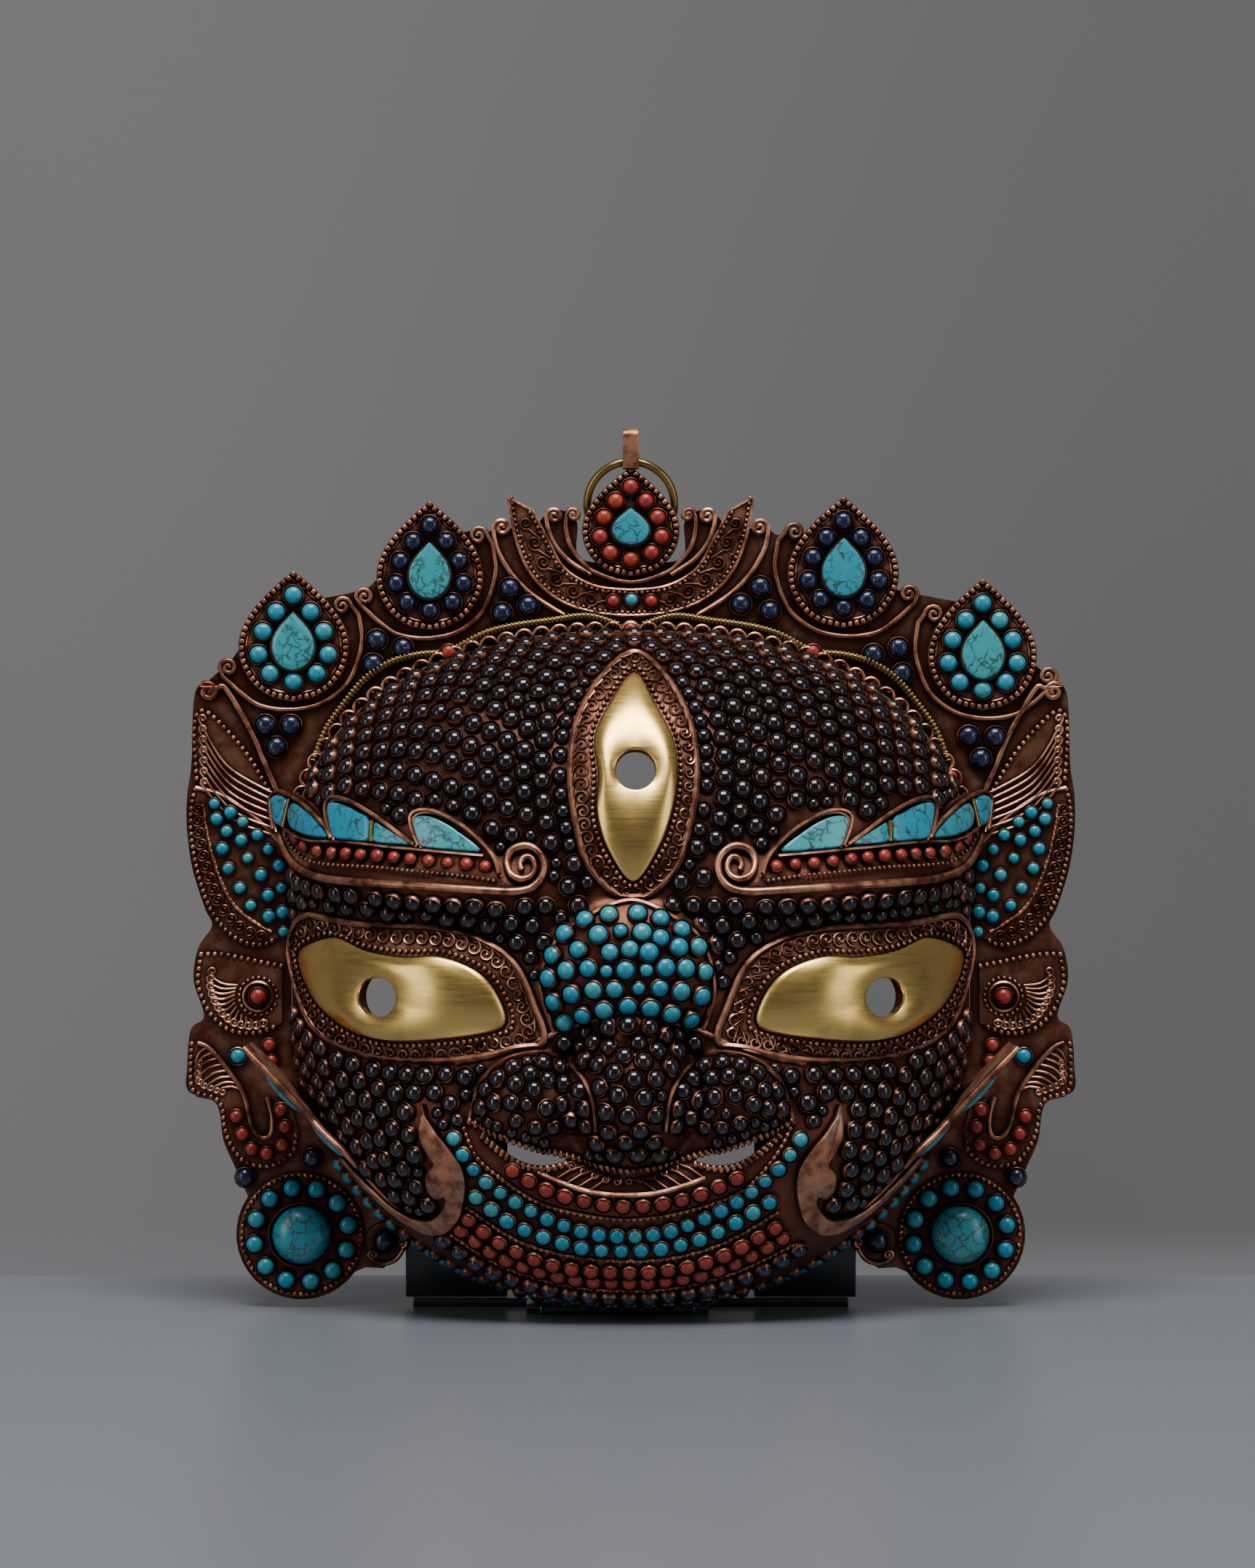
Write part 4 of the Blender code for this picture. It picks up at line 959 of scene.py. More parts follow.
NOSE_ARCH = ((-46.0, 69.8), (-31.3, 73.6), (-20.6, 78.0), (-11.2, 81.9), (-1.0, 83.8), (7.9, 82.6),
             (19.3, 78.5), (30.4, 73.4), (46.0, 69.8))
NOSTRIL = ((8.8, 53.3), (9.8, 61.7), (13.4, 68.1), (19.3, 72.0), (25.2, 72.9), (32.6, 71.0),
           (38.6, 66.0), (41.4, 59.5), (42.8, 54.4))
BROW_FLAMES = ((35.4, 119.6), (36.6, 124.4), (39.9, 130.5), (46.1, 135.3), (52.4, 136.7),
               (57.6, 135.3), (59.0, 128.0), (63.5, 132.4), (71.3, 137.8), (77.9, 139.9),
               (80.6, 138.6), (81.4, 130.5), (84.0, 136.8), (88.6, 140.4), (93.0, 141.4), (95.4, 139.5))
BROW_RAIL = ((96.4, 136.0), (95.6, 130.9), (94.2, 127.3), (91.6, 123.3), (87.5, 120.4), (81.8, 118.8),
             (74.2, 118.0), (64.8, 117.4), (54.6, 116.8), (44.5, 116.2), (37.0, 115.8), (31.5, 115.6),
             (27.0, 116.2), (24.1, 118.4), (22.9, 122.0), (23.9, 125.2), (26.4, 127.2), (29.1, 127.3),
             (31.7, 125.9), (32.7, 122.9), (31.9, 120.0), (29.5, 118.6), (27.1, 118.9), (25.5, 120.6),
             (25.4, 123.0), (26.6, 124.5), (28.4, 124.1), (29.2, 122.4), (28.6, 120.9))
SPIRAL_AT = (28.0, 121.9)


# The bare face

SHELL_AROUND = 200
SHELL_RINGS = 84


def face_skin():
    """The outside of the face: a rim ring extruded inwards ring by ring."""
    bm = bmesh.new()
    bmesh.ops.create_circle(bm, segments=SHELL_AROUND, radius=1.0)
    edges = bm.edges[:]
    for v in bm.verts:
        angle = math.atan2(v.co.y, v.co.x)
        away = rim_distance(angle)
        v.co = Vector((away * math.cos(angle), PLATE_THICKNESS, MIDDLE_Z + away * math.sin(angle)))
    for ring in range(SHELL_RINGS):
        share = math.cos(math.pi / 2 * ring / SHELL_RINGS)
        grown = bmesh.ops.extrude_edge_only(bm, edges=edges)["geom"]
        edges = of_kind(grown, bmesh.types.BMEdge)
        for v in ends_of(edges):
            v.co = bowl_point(share, math.atan2(v.co.z - MIDDLE_Z, v.co.x))
    last = list(ends_of(edges))
    middle = Vector((0.0, -face_depth(0.0, MIDDLE_Z), MIDDLE_Z))
    bmesh.ops.pointmerge(bm, verts=last, merge_co=middle)
    bmesh.ops.recalc_face_normals(bm, faces=bm.faces)
    outward = sum((f.normal.y * f.calc_area() for f in bm.faces), 0.0)
    if outward > 0.0:
        bmesh.ops.reverse_faces(bm, faces=bm.faces)
    return bm


def pupil_bar(x, z):
    """A round bar through the face, square to its surface."""
    bm = bmesh.new()
    bmesh.ops.create_cone(bm, cap_ends=True, segments=40, radius1=PUPIL_RADIUS + PUPIL_MARGIN,
                          radius2=PUPIL_RADIUS + PUPIL_MARGIN, depth=8 * SHELL_WALL)
    bmesh.ops.transform(bm, matrix=standing(*on_face(x, z, 0.0)), verts=bm.verts)
    return bm


def slit_sag(share):
    """How far a slit hangs below the lip's line, along its length."""
    return SLIT_HEIGHT * math.sin(math.pi * min(0.999, 0.06 + 0.88 * share))


def slit_block(side):
    """A mouth slit: its top follows the lip and its bottom sags."""
    steps = 18
    top, bottom = [], []
    for i in range(steps + 1):
        share = i / steps
        x = SLIT_INNER_X + (SLIT_OUTER_X - SLIT_INNER_X) * share
        z = mouth_z(x)
        top.append(Vector((side * x, z)))
        bottom.append(Vector((side * x, z - slit_sag(share))))
    return sheet(top + bottom[::-1], lambda x, z, lift: (Vector((x, lift, z)), None),
                 -2 * FACE_DEPTH, -SHELL_WALL)


def carved(mesh, cutters):
    """The mesh with its wall grown inwards and each cutter taken out."""
    target = bpy.data.objects.new("carving", mesh)
    bpy.context.scene.collection.objects.link(target)
    wall = target.modifiers.new("wall", "SOLIDIFY")
    wall.thickness = SHELL_WALL
    wall.offset = -1.0
    tools = []
    for bm in cutters:
        bmesh.ops.recalc_face_normals(bm, faces=bm.faces)
        tool = bpy.data.objects.new("tool", mesh_from(bm))
        bpy.context.scene.collection.objects.link(tool)
        cut = target.modifiers.new("cut", "BOOLEAN")
        cut.object = tool
        cut.operation = "DIFFERENCE"
        tools.append(tool)
    depsgraph = bpy.context.evaluated_depsgraph_get()
    result = bpy.data.meshes.new_from_object(target.evaluated_get(depsgraph))
    for extra in [target, *tools]:
        bpy.data.objects.remove(extra)
    return result


class MASK_OT_face(bpy.types.Operator):
    """Make the hollow copper face with its pupils and mouth slits"""
    bl_idname = "mask.face"
    bl_label = "Face"

    def execute(self, context):
        cutters = [pupil_bar(x * MM, z * MM)
                   for x, z in ((-EYE_PUPIL[0], EYE_PUPIL[1]), EYE_PUPIL, THIRD_PUPIL)]
        cutters += [slit_block(-1), slit_block(1)]
        shell = carved(mesh_from(face_skin()), cutters)
        face = in_copper("face", "face", ("face_shell",))
        face.stamp(shell, [Matrix.Identity(4)], 0.6)
        return finished(face)


# Eyes

def ray_hit(outline, middle, towards):
    """Where the line from the middle towards a point crosses an outline."""
    ray = (towards - middle).normalized()
    farthest = 0.0
    for start, end in zip(outline, outline[1:] + outline[:1]):
        first, second = start - middle, end - middle
        side_first = ray.x * first.y - ray.y * first.x
        side_second = ray.x * second.y - ray.y * second.x
        if side_first * side_second <= 0.0 and side_first != side_second:
            crossing = first.lerp(second, side_first / (side_first - side_second))
            farthest = max(farthest, crossing.dot(ray))
    return middle + ray * farthest


def ring_sheet(inner, outer, profile):
    """A sheet between two closed outlines; the profile gives share across and lift."""
    bm = bmesh.new()
    start = [bm.verts.new(on_run_out(*inner[i].lerp(outer[i], profile[0][0]), profile[0][1])[0])
             for i in range(len(inner))]
    edges = [bm.edges.new((start[i], start[(i + 1) % len(start)])) for i in range(len(start))]
    index_of = {v: i for i, v in enumerate(start)}
    for share, lift in profile[1:]:
        grown = bmesh.ops.extrude_edge_only(bm, edges=edges)["geom"]
        edges = of_kind(grown, bmesh.types.BMEdge)
        fresh = ends_of(edges)
        by_place = {tuple(round(c, 7) for c in v.co): i for v, i in index_of.items()}
        index_of = {v: by_place[tuple(round(c, 7) for c in v.co)] for v in fresh}
        for v, i in index_of.items():
            v.co = on_run_out(*inner[i].lerp(outer[i], share), lift)[0]
    bmesh.ops.recalc_face_normals(bm, faces=bm.faces)
    return bm


def add_eye_shapes(plates, frames, curls, plate, frame, pupil):
    """One eye: a smooth pierced plate, a beaded line, a band of curls and its outer wire."""
    pupil = pupil * MM
    rim = spaced(smooth_line(frame, closed=True), 96, closed=True)
    middle = sum(rim, Vector((0.0, 0.0))) / len(rim)
    fine = spaced(smooth_line(plate, closed=True), 200, closed=True)
    edge = [ray_hit(fine, middle, point) for point in rim]
    hole = [pupil + (point - pupil).normalized() * PUPIL_RADIUS for point in edge]
    bulge = [(0.0, -0.6 * MM), (0.0, 1.1 * MM), (0.008, 1.3 * MM)]
    bulge += [(t, (1.3 + 1.0 * math.sin(math.pi * t)) * MM) for t in np.linspace(0.03, 0.95, 16)]
    bulge += [(0.975, 1.0 * MM), (0.99, 0.6 * MM), (0.99, -0.6 * MM)]
    plates.shape(ring_sheet(hole, edge, bulge))
    band = [(0.0, -0.5 * MM), (0.0, 0.7 * MM), (0.5, 0.9 * MM), (1.0, 0.6 * MM), (1.0, -0.5 * MM)]
    frames.shape(ring_sheet(edge, rim, band))
    beads = [start.lerp(end, 0.16) for start, end in zip(edge, rim)]
    row = at_pitch(beads + beads[:1], 1.65 * MM, closed=True)
    curls.stamp(bead(sizes().bead_radius), places(on_run_out, row, 1.1 * MM))
    frames.wires([lifted(on_run_out, rim, 0.8 * MM)], sizes().edge_wire * 1.25, closed=True)
    lines = []
    path = [start.lerp(end, 0.60) for start, end in zip(edge, rim)]
    width = [(end - start).length * 0.62 for start, end in zip(edge, rim)]
    centres = at_pitch(path + path[:1], 3.5 * MM, closed=True)
    for i, centre in enumerate(centres):
        nearest = min(range(len(path)), key=lambda k: (path[k] - centre).length)
        reach = min(2.2 * MM, max(1.2 * MM, width[nearest] / 2))
        along = centres[(i + 1) % len(centres)] - centre
        start = math.atan2(along.y, along.x) + math.pi * 0.55
        curl = spiral(centre, reach, 1.35, start, -1, points=11)
        tail = centre + along * 0.85 + (rim[nearest] - edge[nearest]).normalized() * reach * 0.75
        lines.append(lifted(on_run_out, [tail, curl[0].lerp(tail, 0.45)] + curl, 1.25 * MM))
    curls.wires(lines, sizes().fine_wire, sides=4)


class MASK_OT_eyes(bpy.types.Operator):
    """Make the three brass eyes inside their wirework"""
    bl_idname = "mask.eyes"
    bl_label = "Eyes"

    def execute(self, context):
        plates = Piece("eye_plates", FINISHES["brass"], "satin_brass",
                       ("eye_plate_left", "eye_plate_right", "eye_plate_third"))
        frames = in_copper("eye_frames", "copper",
                           ("eye_frame_left", "eye_frame_right", "eye_frame_third"))
        curls = in_copper("eye_wirework", "wire")
        for side in (-1, 1):
            add_eye_shapes(plates, frames, curls, in_metres(EYE_PLATE, side), in_metres(EYE_FRAME, side),
                           Vector((side * EYE_PUPIL[0], EYE_PUPIL[1])))
        add_eye_shapes(plates, frames, curls, in_metres(THIRD_PLATE), in_metres(THIRD_FRAME),
                       Vector(THIRD_PUPIL))
        return finished(plates, frames, curls)


# Settling stones on the face

class Settled:
    """Remembers what already stands on the face, so that nothing overlaps."""

    def __init__(self):
        self.cell = 6.0 * MM
        self.cells = {}

    def key(self, point):
        return tuple(int(math.floor(c / self.cell)) for c in point)

    def free(self, point, radius):
        i, j, k = self.key(point)
        for a in (-1, 0, 1):
            for b in (-1, 0, 1):
                for c in (-1, 0, 1):
                    for other, reach in self.cells.get((i + a, j + b, k + c), ()):
                        if (other - point).length < radius + reach:
                            return False
        return True

    def take(self, point, radius):
        self.cells.setdefault(self.key(point), []).append((point, radius))

    def take_line(self, line, radius, surface=None):
        surface = surface or on_face
        for p in at_pitch(line, 1.2 * MM):
            self.take(surface(p.x, p.y, 0.0)[0], radius)

    def fill(self, rows, radius, allowed, seed, vary=0.1, shares=(1.0, 0.8, 0.64)):
        """Set stones along each row wherever there is room, then smaller ones in the gaps."""
        chance = random.Random(seed)
        found = []
        spots = []
        for row in rows:
            for p in at_pitch(row, 0.5 * MM):
                if allowed(p):
                    share, angle = rim_share(p.x, p.y)
                    if share < 0.985:
                        spots.append((p, bowl_point(share, angle)))
        for smaller in shares:
            for p, point in spots:
                size = smaller * (1.0 + vary * (chance.random() - 0.65))
                if self.free(point, radius * size):
                    self.take(point, radius * size)
                    found.append((p, size))
        return found


SETTLED = Settled()


def row_on_face(line, count=None, pitch=None):
    """Points at equal steps along a line, measured over the face's surface."""
    fine = at_pitch(line, 0.8 * MM)
    solid = [on_face(p.x, p.y, 0.0)[0] for p in fine]
    lengths = np.cumsum([0.0] + [(b - a).length for a, b in zip(solid, solid[1:])])
    count = count or max(2, round(lengths[-1] / pitch) + 1)
    wanted = np.linspace(0.0, lengths[-1], count)
    return [Vector((np.interp(w, lengths, [p.x for p in fine]),
                    np.interp(w, lengths, [p.y for p in fine]))) for w in wanted]


def set_stones(stones, settings, points, radius, wall, rise=0.62, size=1.0, surface=None,
               segments=12):
    """Stones of one radius in their bezels at these points."""
    surface = surface or on_face
    where = places(surface, points, 0.0, size)
    stones.stamp(cabochon(radius, radius * rise, segments), [m @ Matrix.Translation((0, 0, 0.45 * radius))
                                                          for m in where])
    settings.stamp(bezel(radius, wall, radius * 0.72, segments), where)


def beaded(piece, line, surface, lift=0.4, pitch=1.6, share=1.0, closed=False):
    """Round beads side by side along a line."""
    row = at_pitch(line, pitch * MM, closed)
    piece.stamp(bead(sizes().bead_radius * share), places(surface, row, lift * MM))


# Nose

NOSE_STONES = ((-11.9, 108.0), (-5.7, 109.3), (1.7, 109.6), (7.6, 108.3), (13.1, 105.5), (-17.1, 104.4),
               (-8.4, 104.2), (-2.7, 105.3), (2.9, 104.8), (7.6, 103.4), (17.3, 101.0), (-20.2, 98.8),
               (-13.6, 100.4), (-5.4, 99.8), (-0.3, 100.6), (4.6, 99.8), (12.3, 101.0), (-21.1, 92.9),
               (-16.5, 95.0), (-11.0, 95.6), (-6.3, 95.0), (-1.4, 95.3), (4.0, 95.3), (8.9, 95.9),
               (14.0, 95.6), (19.0, 94.6), (-19.8, 86.9), (-15.2, 89.0), (-9.6, 90.2), (-4.2, 90.4),
               (2.0, 90.6), (7.4, 90.7), (12.8, 89.8), (18.1, 88.4), (-17.4, 81.2), (-12.4, 83.5),
               (-6.9, 85.1), (-0.8, 86.1), (5.0, 85.6), (10.4, 84.1), (15.4, 82.4))
SMALL_NOSE_STONES = (7, 20, 22, 30)


class MASK_OT_nose(bpy.types.Operator):
    """Make the nose's turquoise dome and the wires round it and the nostrils"""
    bl_idname = "mask.nose"
    bl_label = "Nose"

    def execute(self, context):
        wires = in_copper("nose_wires")
        settings = in_copper("nose_bezels")
        stones = Piece("nose_turquoise", FINISHES["turquoise"], "turquoise")
        dome = smooth_line(in_metres(NOSE_DOME))
        arch = smooth_line(in_metres(NOSE_ARCH))
        lines = [dome, arch] + [smooth_line(in_metres(NOSTRIL, side)) for side in (-1, 1)]
        for line in lines:
            SETTLED.take_line(line, 0.9 * MM)
            wires.wires([lifted(on_face, at_pitch(line, 1.2 * MM), 0.45 * MM)], sizes().edge_wire)
        chance = random.Random(4)
        points = in_metres(NOSE_STONES)
        share = [(0.72 if i in SMALL_NOSE_STONES else 1.0) * chance.uniform(0.93, 1.06)
                 for i in range(len(points))]
        for p in points:
            SETTLED.take(on_face(p.x, p.y, 0.0)[0], 2.4 * MM)
        set_stones(stones, settings, points, sizes().nose_stone_radius, 0.4 * MM, size=share, segments=16)
        return finished(wires, settings, stones)


# Mouth: lines from left to right; each row has its stone, count, radius and line
SMILE_WIRE = ((-44.0, 53.0), (-40.5, 45.5), (-33.3, 39.4), (-25.0, 33.9), (-16.0, 31.1), (-2.4, 29.2),
              (11.2, 30.6), (25.0, 34.5), (31.9, 38.8), (38.6, 46.8), (42.0, 53.0))
LOWER_WIRE = ((-43.5, 32.0), (-29.9, 23.2), (-16.1, 19.2), (-2.4, 17.9), (11.2, 18.8), (25.1, 22.9),
              (38.5, 30.6))
CHIN_WIRE = ((-47.5, 24.0), (-34.0, 15.8), (-18.0, 11.0), (-3.0, 9.5), (12.0, 10.3), (27.0, 14.2),
             (43.0, 21.4))
MOUTH_ROWS = (
    ("coral", 13, 2.15, ((-31.1, 42.4), (-20.0, 36.6), (-2.2, 33.1), (15.0, 35.2), (27.7, 40.3))),
    ("turquoise", 24, 1.98, ((-46.5, 50.5), (-40.5, 41.5), (-31.2, 34.2), (-18.0, 27.6), (-5.3, 24.8),
                            (10.0, 26.0), (26.4, 33.0), (38.0, 42.0), (44.5, 50.2))),
    ("turquoise", 17, 2.1, ((-40.8, 35.0), (-32.0, 28.2), (-23.5, 24.6), (-13.0, 21.6), (-3.0, 20.8),
                            (8.0, 21.4), (18.7, 24.0), (28.0, 28.5), (36.5, 33.6))),
    ("coral", 18, 2.1, ((-42.9, 28.6), (-33.0, 21.6), (-20.0, 16.6), (-5.7, 14.9), (8.0, 15.3),
                        (22.0, 18.3), (38.0, 26.5))),
    ("coral", 20, 1.95, ((-44.9, 25.6), (-34.0, 18.2), (-18.0, 13.3), (-3.8, 11.8), (12.0, 12.6),
                         (26.0, 16.2), (40.1, 23.6))),
    ("lapis", 20, 2.25, ((-49.6, 22.6), (-36.0, 13.9), (-18.0, 8.8), (-1.5, 7.4), (15.0, 8.6),
                        (30.0, 12.8), (44.3, 20.2))),
)
LIP_FAN_WIRE = ((-24.5, 41.8), (-17.9, 39.1), (-10.1, 36.8), (-2.3, 36.0), (5.5, 36.4), (12.5, 38.0),
                (19.5, 40.4))
LIP_CURLS = ((-15.6, 43.0), (-12.6, 41.9), (-9.7, 40.8), (-6.8, 39.8), (-3.7, 39.2), (-0.4, 39.2),
             (2.7, 39.7), (5.9, 40.5), (8.9, 41.6), (11.8, 42.8))


class MASK_OT_mouth(bpy.types.Operator):
    """Make the rows of coral, turquoise and lapis round the mouth, and its lips"""
    bl_idname = "mask.mouth"
    bl_label = "Mouth"

    def execute(self, context):
        settings = in_copper("mouth_bezels")
        wires = in_copper("mouth_wirework", "wire")
        stones = {name: Piece("mouth_" + name, FINISHES[name], name)
                  for name in ("coral", "turquoise", "lapis")}
        for name, count, radius, line in MOUTH_ROWS:
            row = row_on_face(smooth_line(in_metres(line)), count)
            chance = random.Random(count)
            size = [chance.uniform(0.92, 1.06) for _ in row]
            rise = 0.85 if name == "lapis" else 0.55
            set_stones(stones[name], settings, row, radius * MM, 0.42 * MM, rise, size)
            for p in row:
                SETTLED.take(on_face(p.x, p.y, 0.0)[0], 2.2 * MM)
        self.edge_rows(stones, settings)
        for line in (SMILE_WIRE, LOWER_WIRE, CHIN_WIRE):
            row = row_on_face(smooth_line(in_metres(line)), pitch=1.75 * MM)
            wires.stamp(bead(sizes().bead_radius * 1.05), places(on_face, row, 0.35 * MM))
            wires.wires([lifted(on_face, row, 0.1 * MM)], 0.55 * MM)
            SETTLED.take_line(row, 0.8 * MM)
        self.lips(wires)
        self.fan(wires)
        return finished(settings, wires, *stones.values())

    def edge_rows(self, stones, settings):
        """Lapis under the chin and turquoise along the very edge of the jaw."""
        for name, share, start, end, pitch, radius in (
                ("lapis", 0.992, -128, -52, 4.7, 2.0), ("turquoise", 0.9985, -143, -37, 4.2, 1.9)):
            turns = np.radians(np.linspace(start, end, 240))
            solid = [bowl_point(share, t) for t in turns]
            lengths = np.cumsum([0.0] + [(b - a).length for a, b in zip(solid, solid[1:])])
            count = int(lengths[-1] / (pitch * MM))
            where = [standing(*on_bowl(share, t, 0.0))
                     for t in np.interp(np.linspace(0, lengths[-1], count), lengths, turns)]
            stones[name].stamp(cabochon(radius * MM, radius * 0.85 * MM), [
                m @ Matrix.Translation((0, 0, 0.35 * radius * MM)) for m in where])
            settings.stamp(bezel(radius * MM, 0.38 * MM, radius * 0.45 * MM), where)

    def lips(self, wires):
        """Twisted wires along the top and bottom of the slits."""
        upper = [Vector((x, mouth_z(x) + 0.5 * MM)) for x in np.linspace(-42.5 * MM, 42.5 * MM, 90)]
        cord = square_bead(1.1 * MM, 2.0 * MM, 1.3 * MM)
        rows = [upper]
        for side in (-1, 1):
            lower = []
            for share in np.linspace(0.0, 1.0, 30):
                x = SLIT_INNER_X + (SLIT_OUTER_X - SLIT_INNER_X) * share
                lower.append(Vector((side * x, mouth_z(x) - slit_sag(share) - 0.9 * MM)))
            rows.append(lower)
        for row in rows:
            SETTLED.take_line(row, 0.9 * MM)
            line = row_on_face(row, pitch=1.7 * MM)
            where = [m @ Matrix.Rotation(0.35, 4, "Z") for m in along_line(on_face, line, -0.1 * MM)]
            wires.stamp(cord, where)
            wires.wires([lifted(on_face, line, 0.2 * MM)], 0.6 * MM)

    def fan(self, wires):
        """Fine wires that sweep up from the lower lip into curls."""
        base = smooth_line(in_metres(LIP_FAN_WIRE))
        wires.wires([lifted(on_face, at_pitch(base, 1.5 * MM), 0.6 * MM)], 0.7 * MM)
        lines = []
        for tip in in_metres(LIP_CURLS):
            side = -1 if tip.x < -2 * MM else 1
            foot = tip + Vector((side * 7.0, 0.0)) * MM
            foot.y = np.interp(foot.x, [p.x for p in base], [p.y for p in base]) + 0.4 * MM
            curl = spiral(tip, 1.15 * MM, 1.3, math.pi / 2, side, points=11)
            lines.append(lifted(on_face, [foot, foot.lerp(curl[0], 0.5) + Vector((0, 0.5)) * MM] + curl,
                                0.8 * MM))
        wires.wires(lines, sizes().fine_wire, sides=5)


# Brows, right half: outlines of the flames' stones, their brass bars, walls and rows
FLAME_STONES = (
    ((57.0, 133.6), (56.0, 134.9), (52.3, 134.7), (47.8, 132.7), (44.2, 130.2), (41.2, 127.9),
     (39.2, 125.6), (41.6, 125.1), (47.2, 125.6), (52.3, 126.1), (55.2, 126.9), (56.5, 130.3)),
    ((79.9, 137.3), (78.6, 138.5), (74.7, 137.5), (71.3, 135.7), (68.8, 134.2), (68.8, 128.3),
     (74.0, 128.3), (78.0, 128.9), (79.2, 132.6)),
    ((66.9, 133.2), (65.1, 132.3), (62.0, 130.4), (57.8, 127.3), (62.5, 127.2), (67.2, 127.9),
     (67.2, 130.3)),
    ((96.7, 139.0), (95.0, 140.4), (92.0, 139.4), (92.3, 135.8), (93.6, 132.2), (95.5, 133.5),
     (96.6, 136.6)),
    ((91.2, 135.4), (89.8, 138.2), (86.7, 136.9), (83.2, 134.2), (79.8, 129.6), (82.6, 129.0),
     (86.5, 129.9), (90.2, 131.8)),
)
FLAME_BARS = (((67.9, 127.8), (67.7, 133.6)), ((92.6, 131.8), (90.9, 139.2)))
FLAME_WALLS = (
    ((55.3, 126.6), (57.0, 131.3), (57.5, 134.7), (55.4, 136.3), (51.3, 136.1), (46.8, 134.1),
     (42.2, 131.1), (38.1, 126.9), (35.6, 122.9), (34.5, 119.0)),
    ((78.5, 128.4), (79.7, 133.2), (80.1, 137.5), (78.5, 139.6), (74.1, 138.8), (68.8, 136.1),
     (64.1, 133.0), (60.0, 129.8), (56.4, 127.1)),
    ((95.3, 130.9), (96.2, 135.5), (96.5, 139.7), (94.4, 141.2), (91.5, 140.6), (86.8, 138.1),
     (82.7, 134.7), (79.9, 131.7), (78.5, 128.7)),
)
BROW_BASE = ((38.6, 124.2), (44.6, 124.8), (49.7, 125.3), (56.8, 126.1), (63.0, 126.6), (70.3, 127.5),
             (78.5, 128.1), (83.6, 128.2), (87.1, 129.1), (90.0, 130.3), (93.0, 132.2))
BROW_CORALS = ((38.3, 121.6), (43.2, 122.2), (48.2, 122.5), (53.2, 123.0), (58.1, 123.6), (62.5, 124.0),
               (67.0, 124.4), (71.5, 124.6), (75.5, 124.9), (79.4, 125.1), (83.5, 125.6), (87.3, 127.1),
               (90.2, 129.2))
BROW_BEADS = ((36.2, 118.0), (44.5, 119.1), (56.7, 120.2), (68.0, 121.3), (75.3, 121.7), (82.4, 122.3),
              (86.9, 123.5), (91.0, 126.4), (93.4, 129.8))
BROW_THICKNESS = 3.0 * MM
RAIL_WIRE = 1.15 * MM


def inlay(outline, surface, low, high, segments=40):
    """A cut stone: an outline extruded off the surface, its top crowned and softened."""
    edge = spaced(smooth_line(outline, closed=True), segments, closed=True)
    middle = sum(edge, Vector((0.0, 0.0))) / len(edge)
    bm = bmesh.new()
    face = bm.faces.new([bm.verts.new(surface(p.x, p.y, low)[0]) for p in edge])
    flat = {v: p for v, p in zip(face.verts, edge)}
    top, outlines = face, flat
    for share, lift in ((1.0, 0.72), (0.95, 0.88), (0.8, 0.97), (0.5, 1.0)):
        grown = bmesh.ops.extrude_face_region(bm, geom=[top])["geom"]
        fresh = of_kind(grown, bmesh.types.BMVert)
        top = next(g for g in grown if isinstance(g, bmesh.types.BMFace))
        after = {}
        for v in fresh:
            old = min(outlines, key=lambda o: (o.co - v.co).length)
            after[v] = outlines[old]
            p = middle.lerp(after[v], share)
            v.co = surface(p.x, p.y, low + (high - low) * lift)[0]
        outlines = after
    bmesh.ops.recalc_face_normals(bm, faces=bm.faces)
    return bm


def wall_strip(line, surface, low, high, thickness, closed=False):
    """A strip of sheet standing on its edge along a line."""
    bm = bmesh.new()
    verts = [bm.verts.new(surface(p.x, p.y, low)[0]) for p in line]
    pairs = list(zip(verts, verts[1:])) + ([(verts[-1], verts[0])] if closed else [])
    edges = [bm.edges.new(pair) for pair in pairs]
    grown = bmesh.ops.extrude_edge_only(bm, edges=edges)["geom"]
    for v in of_kind(grown, bmesh.types.BMVert):
        v.co = v.co + surface(v.co.x, v.co.z, 0.0)[1] * (high - low)
    thicken(bm, thickness)
    return bm


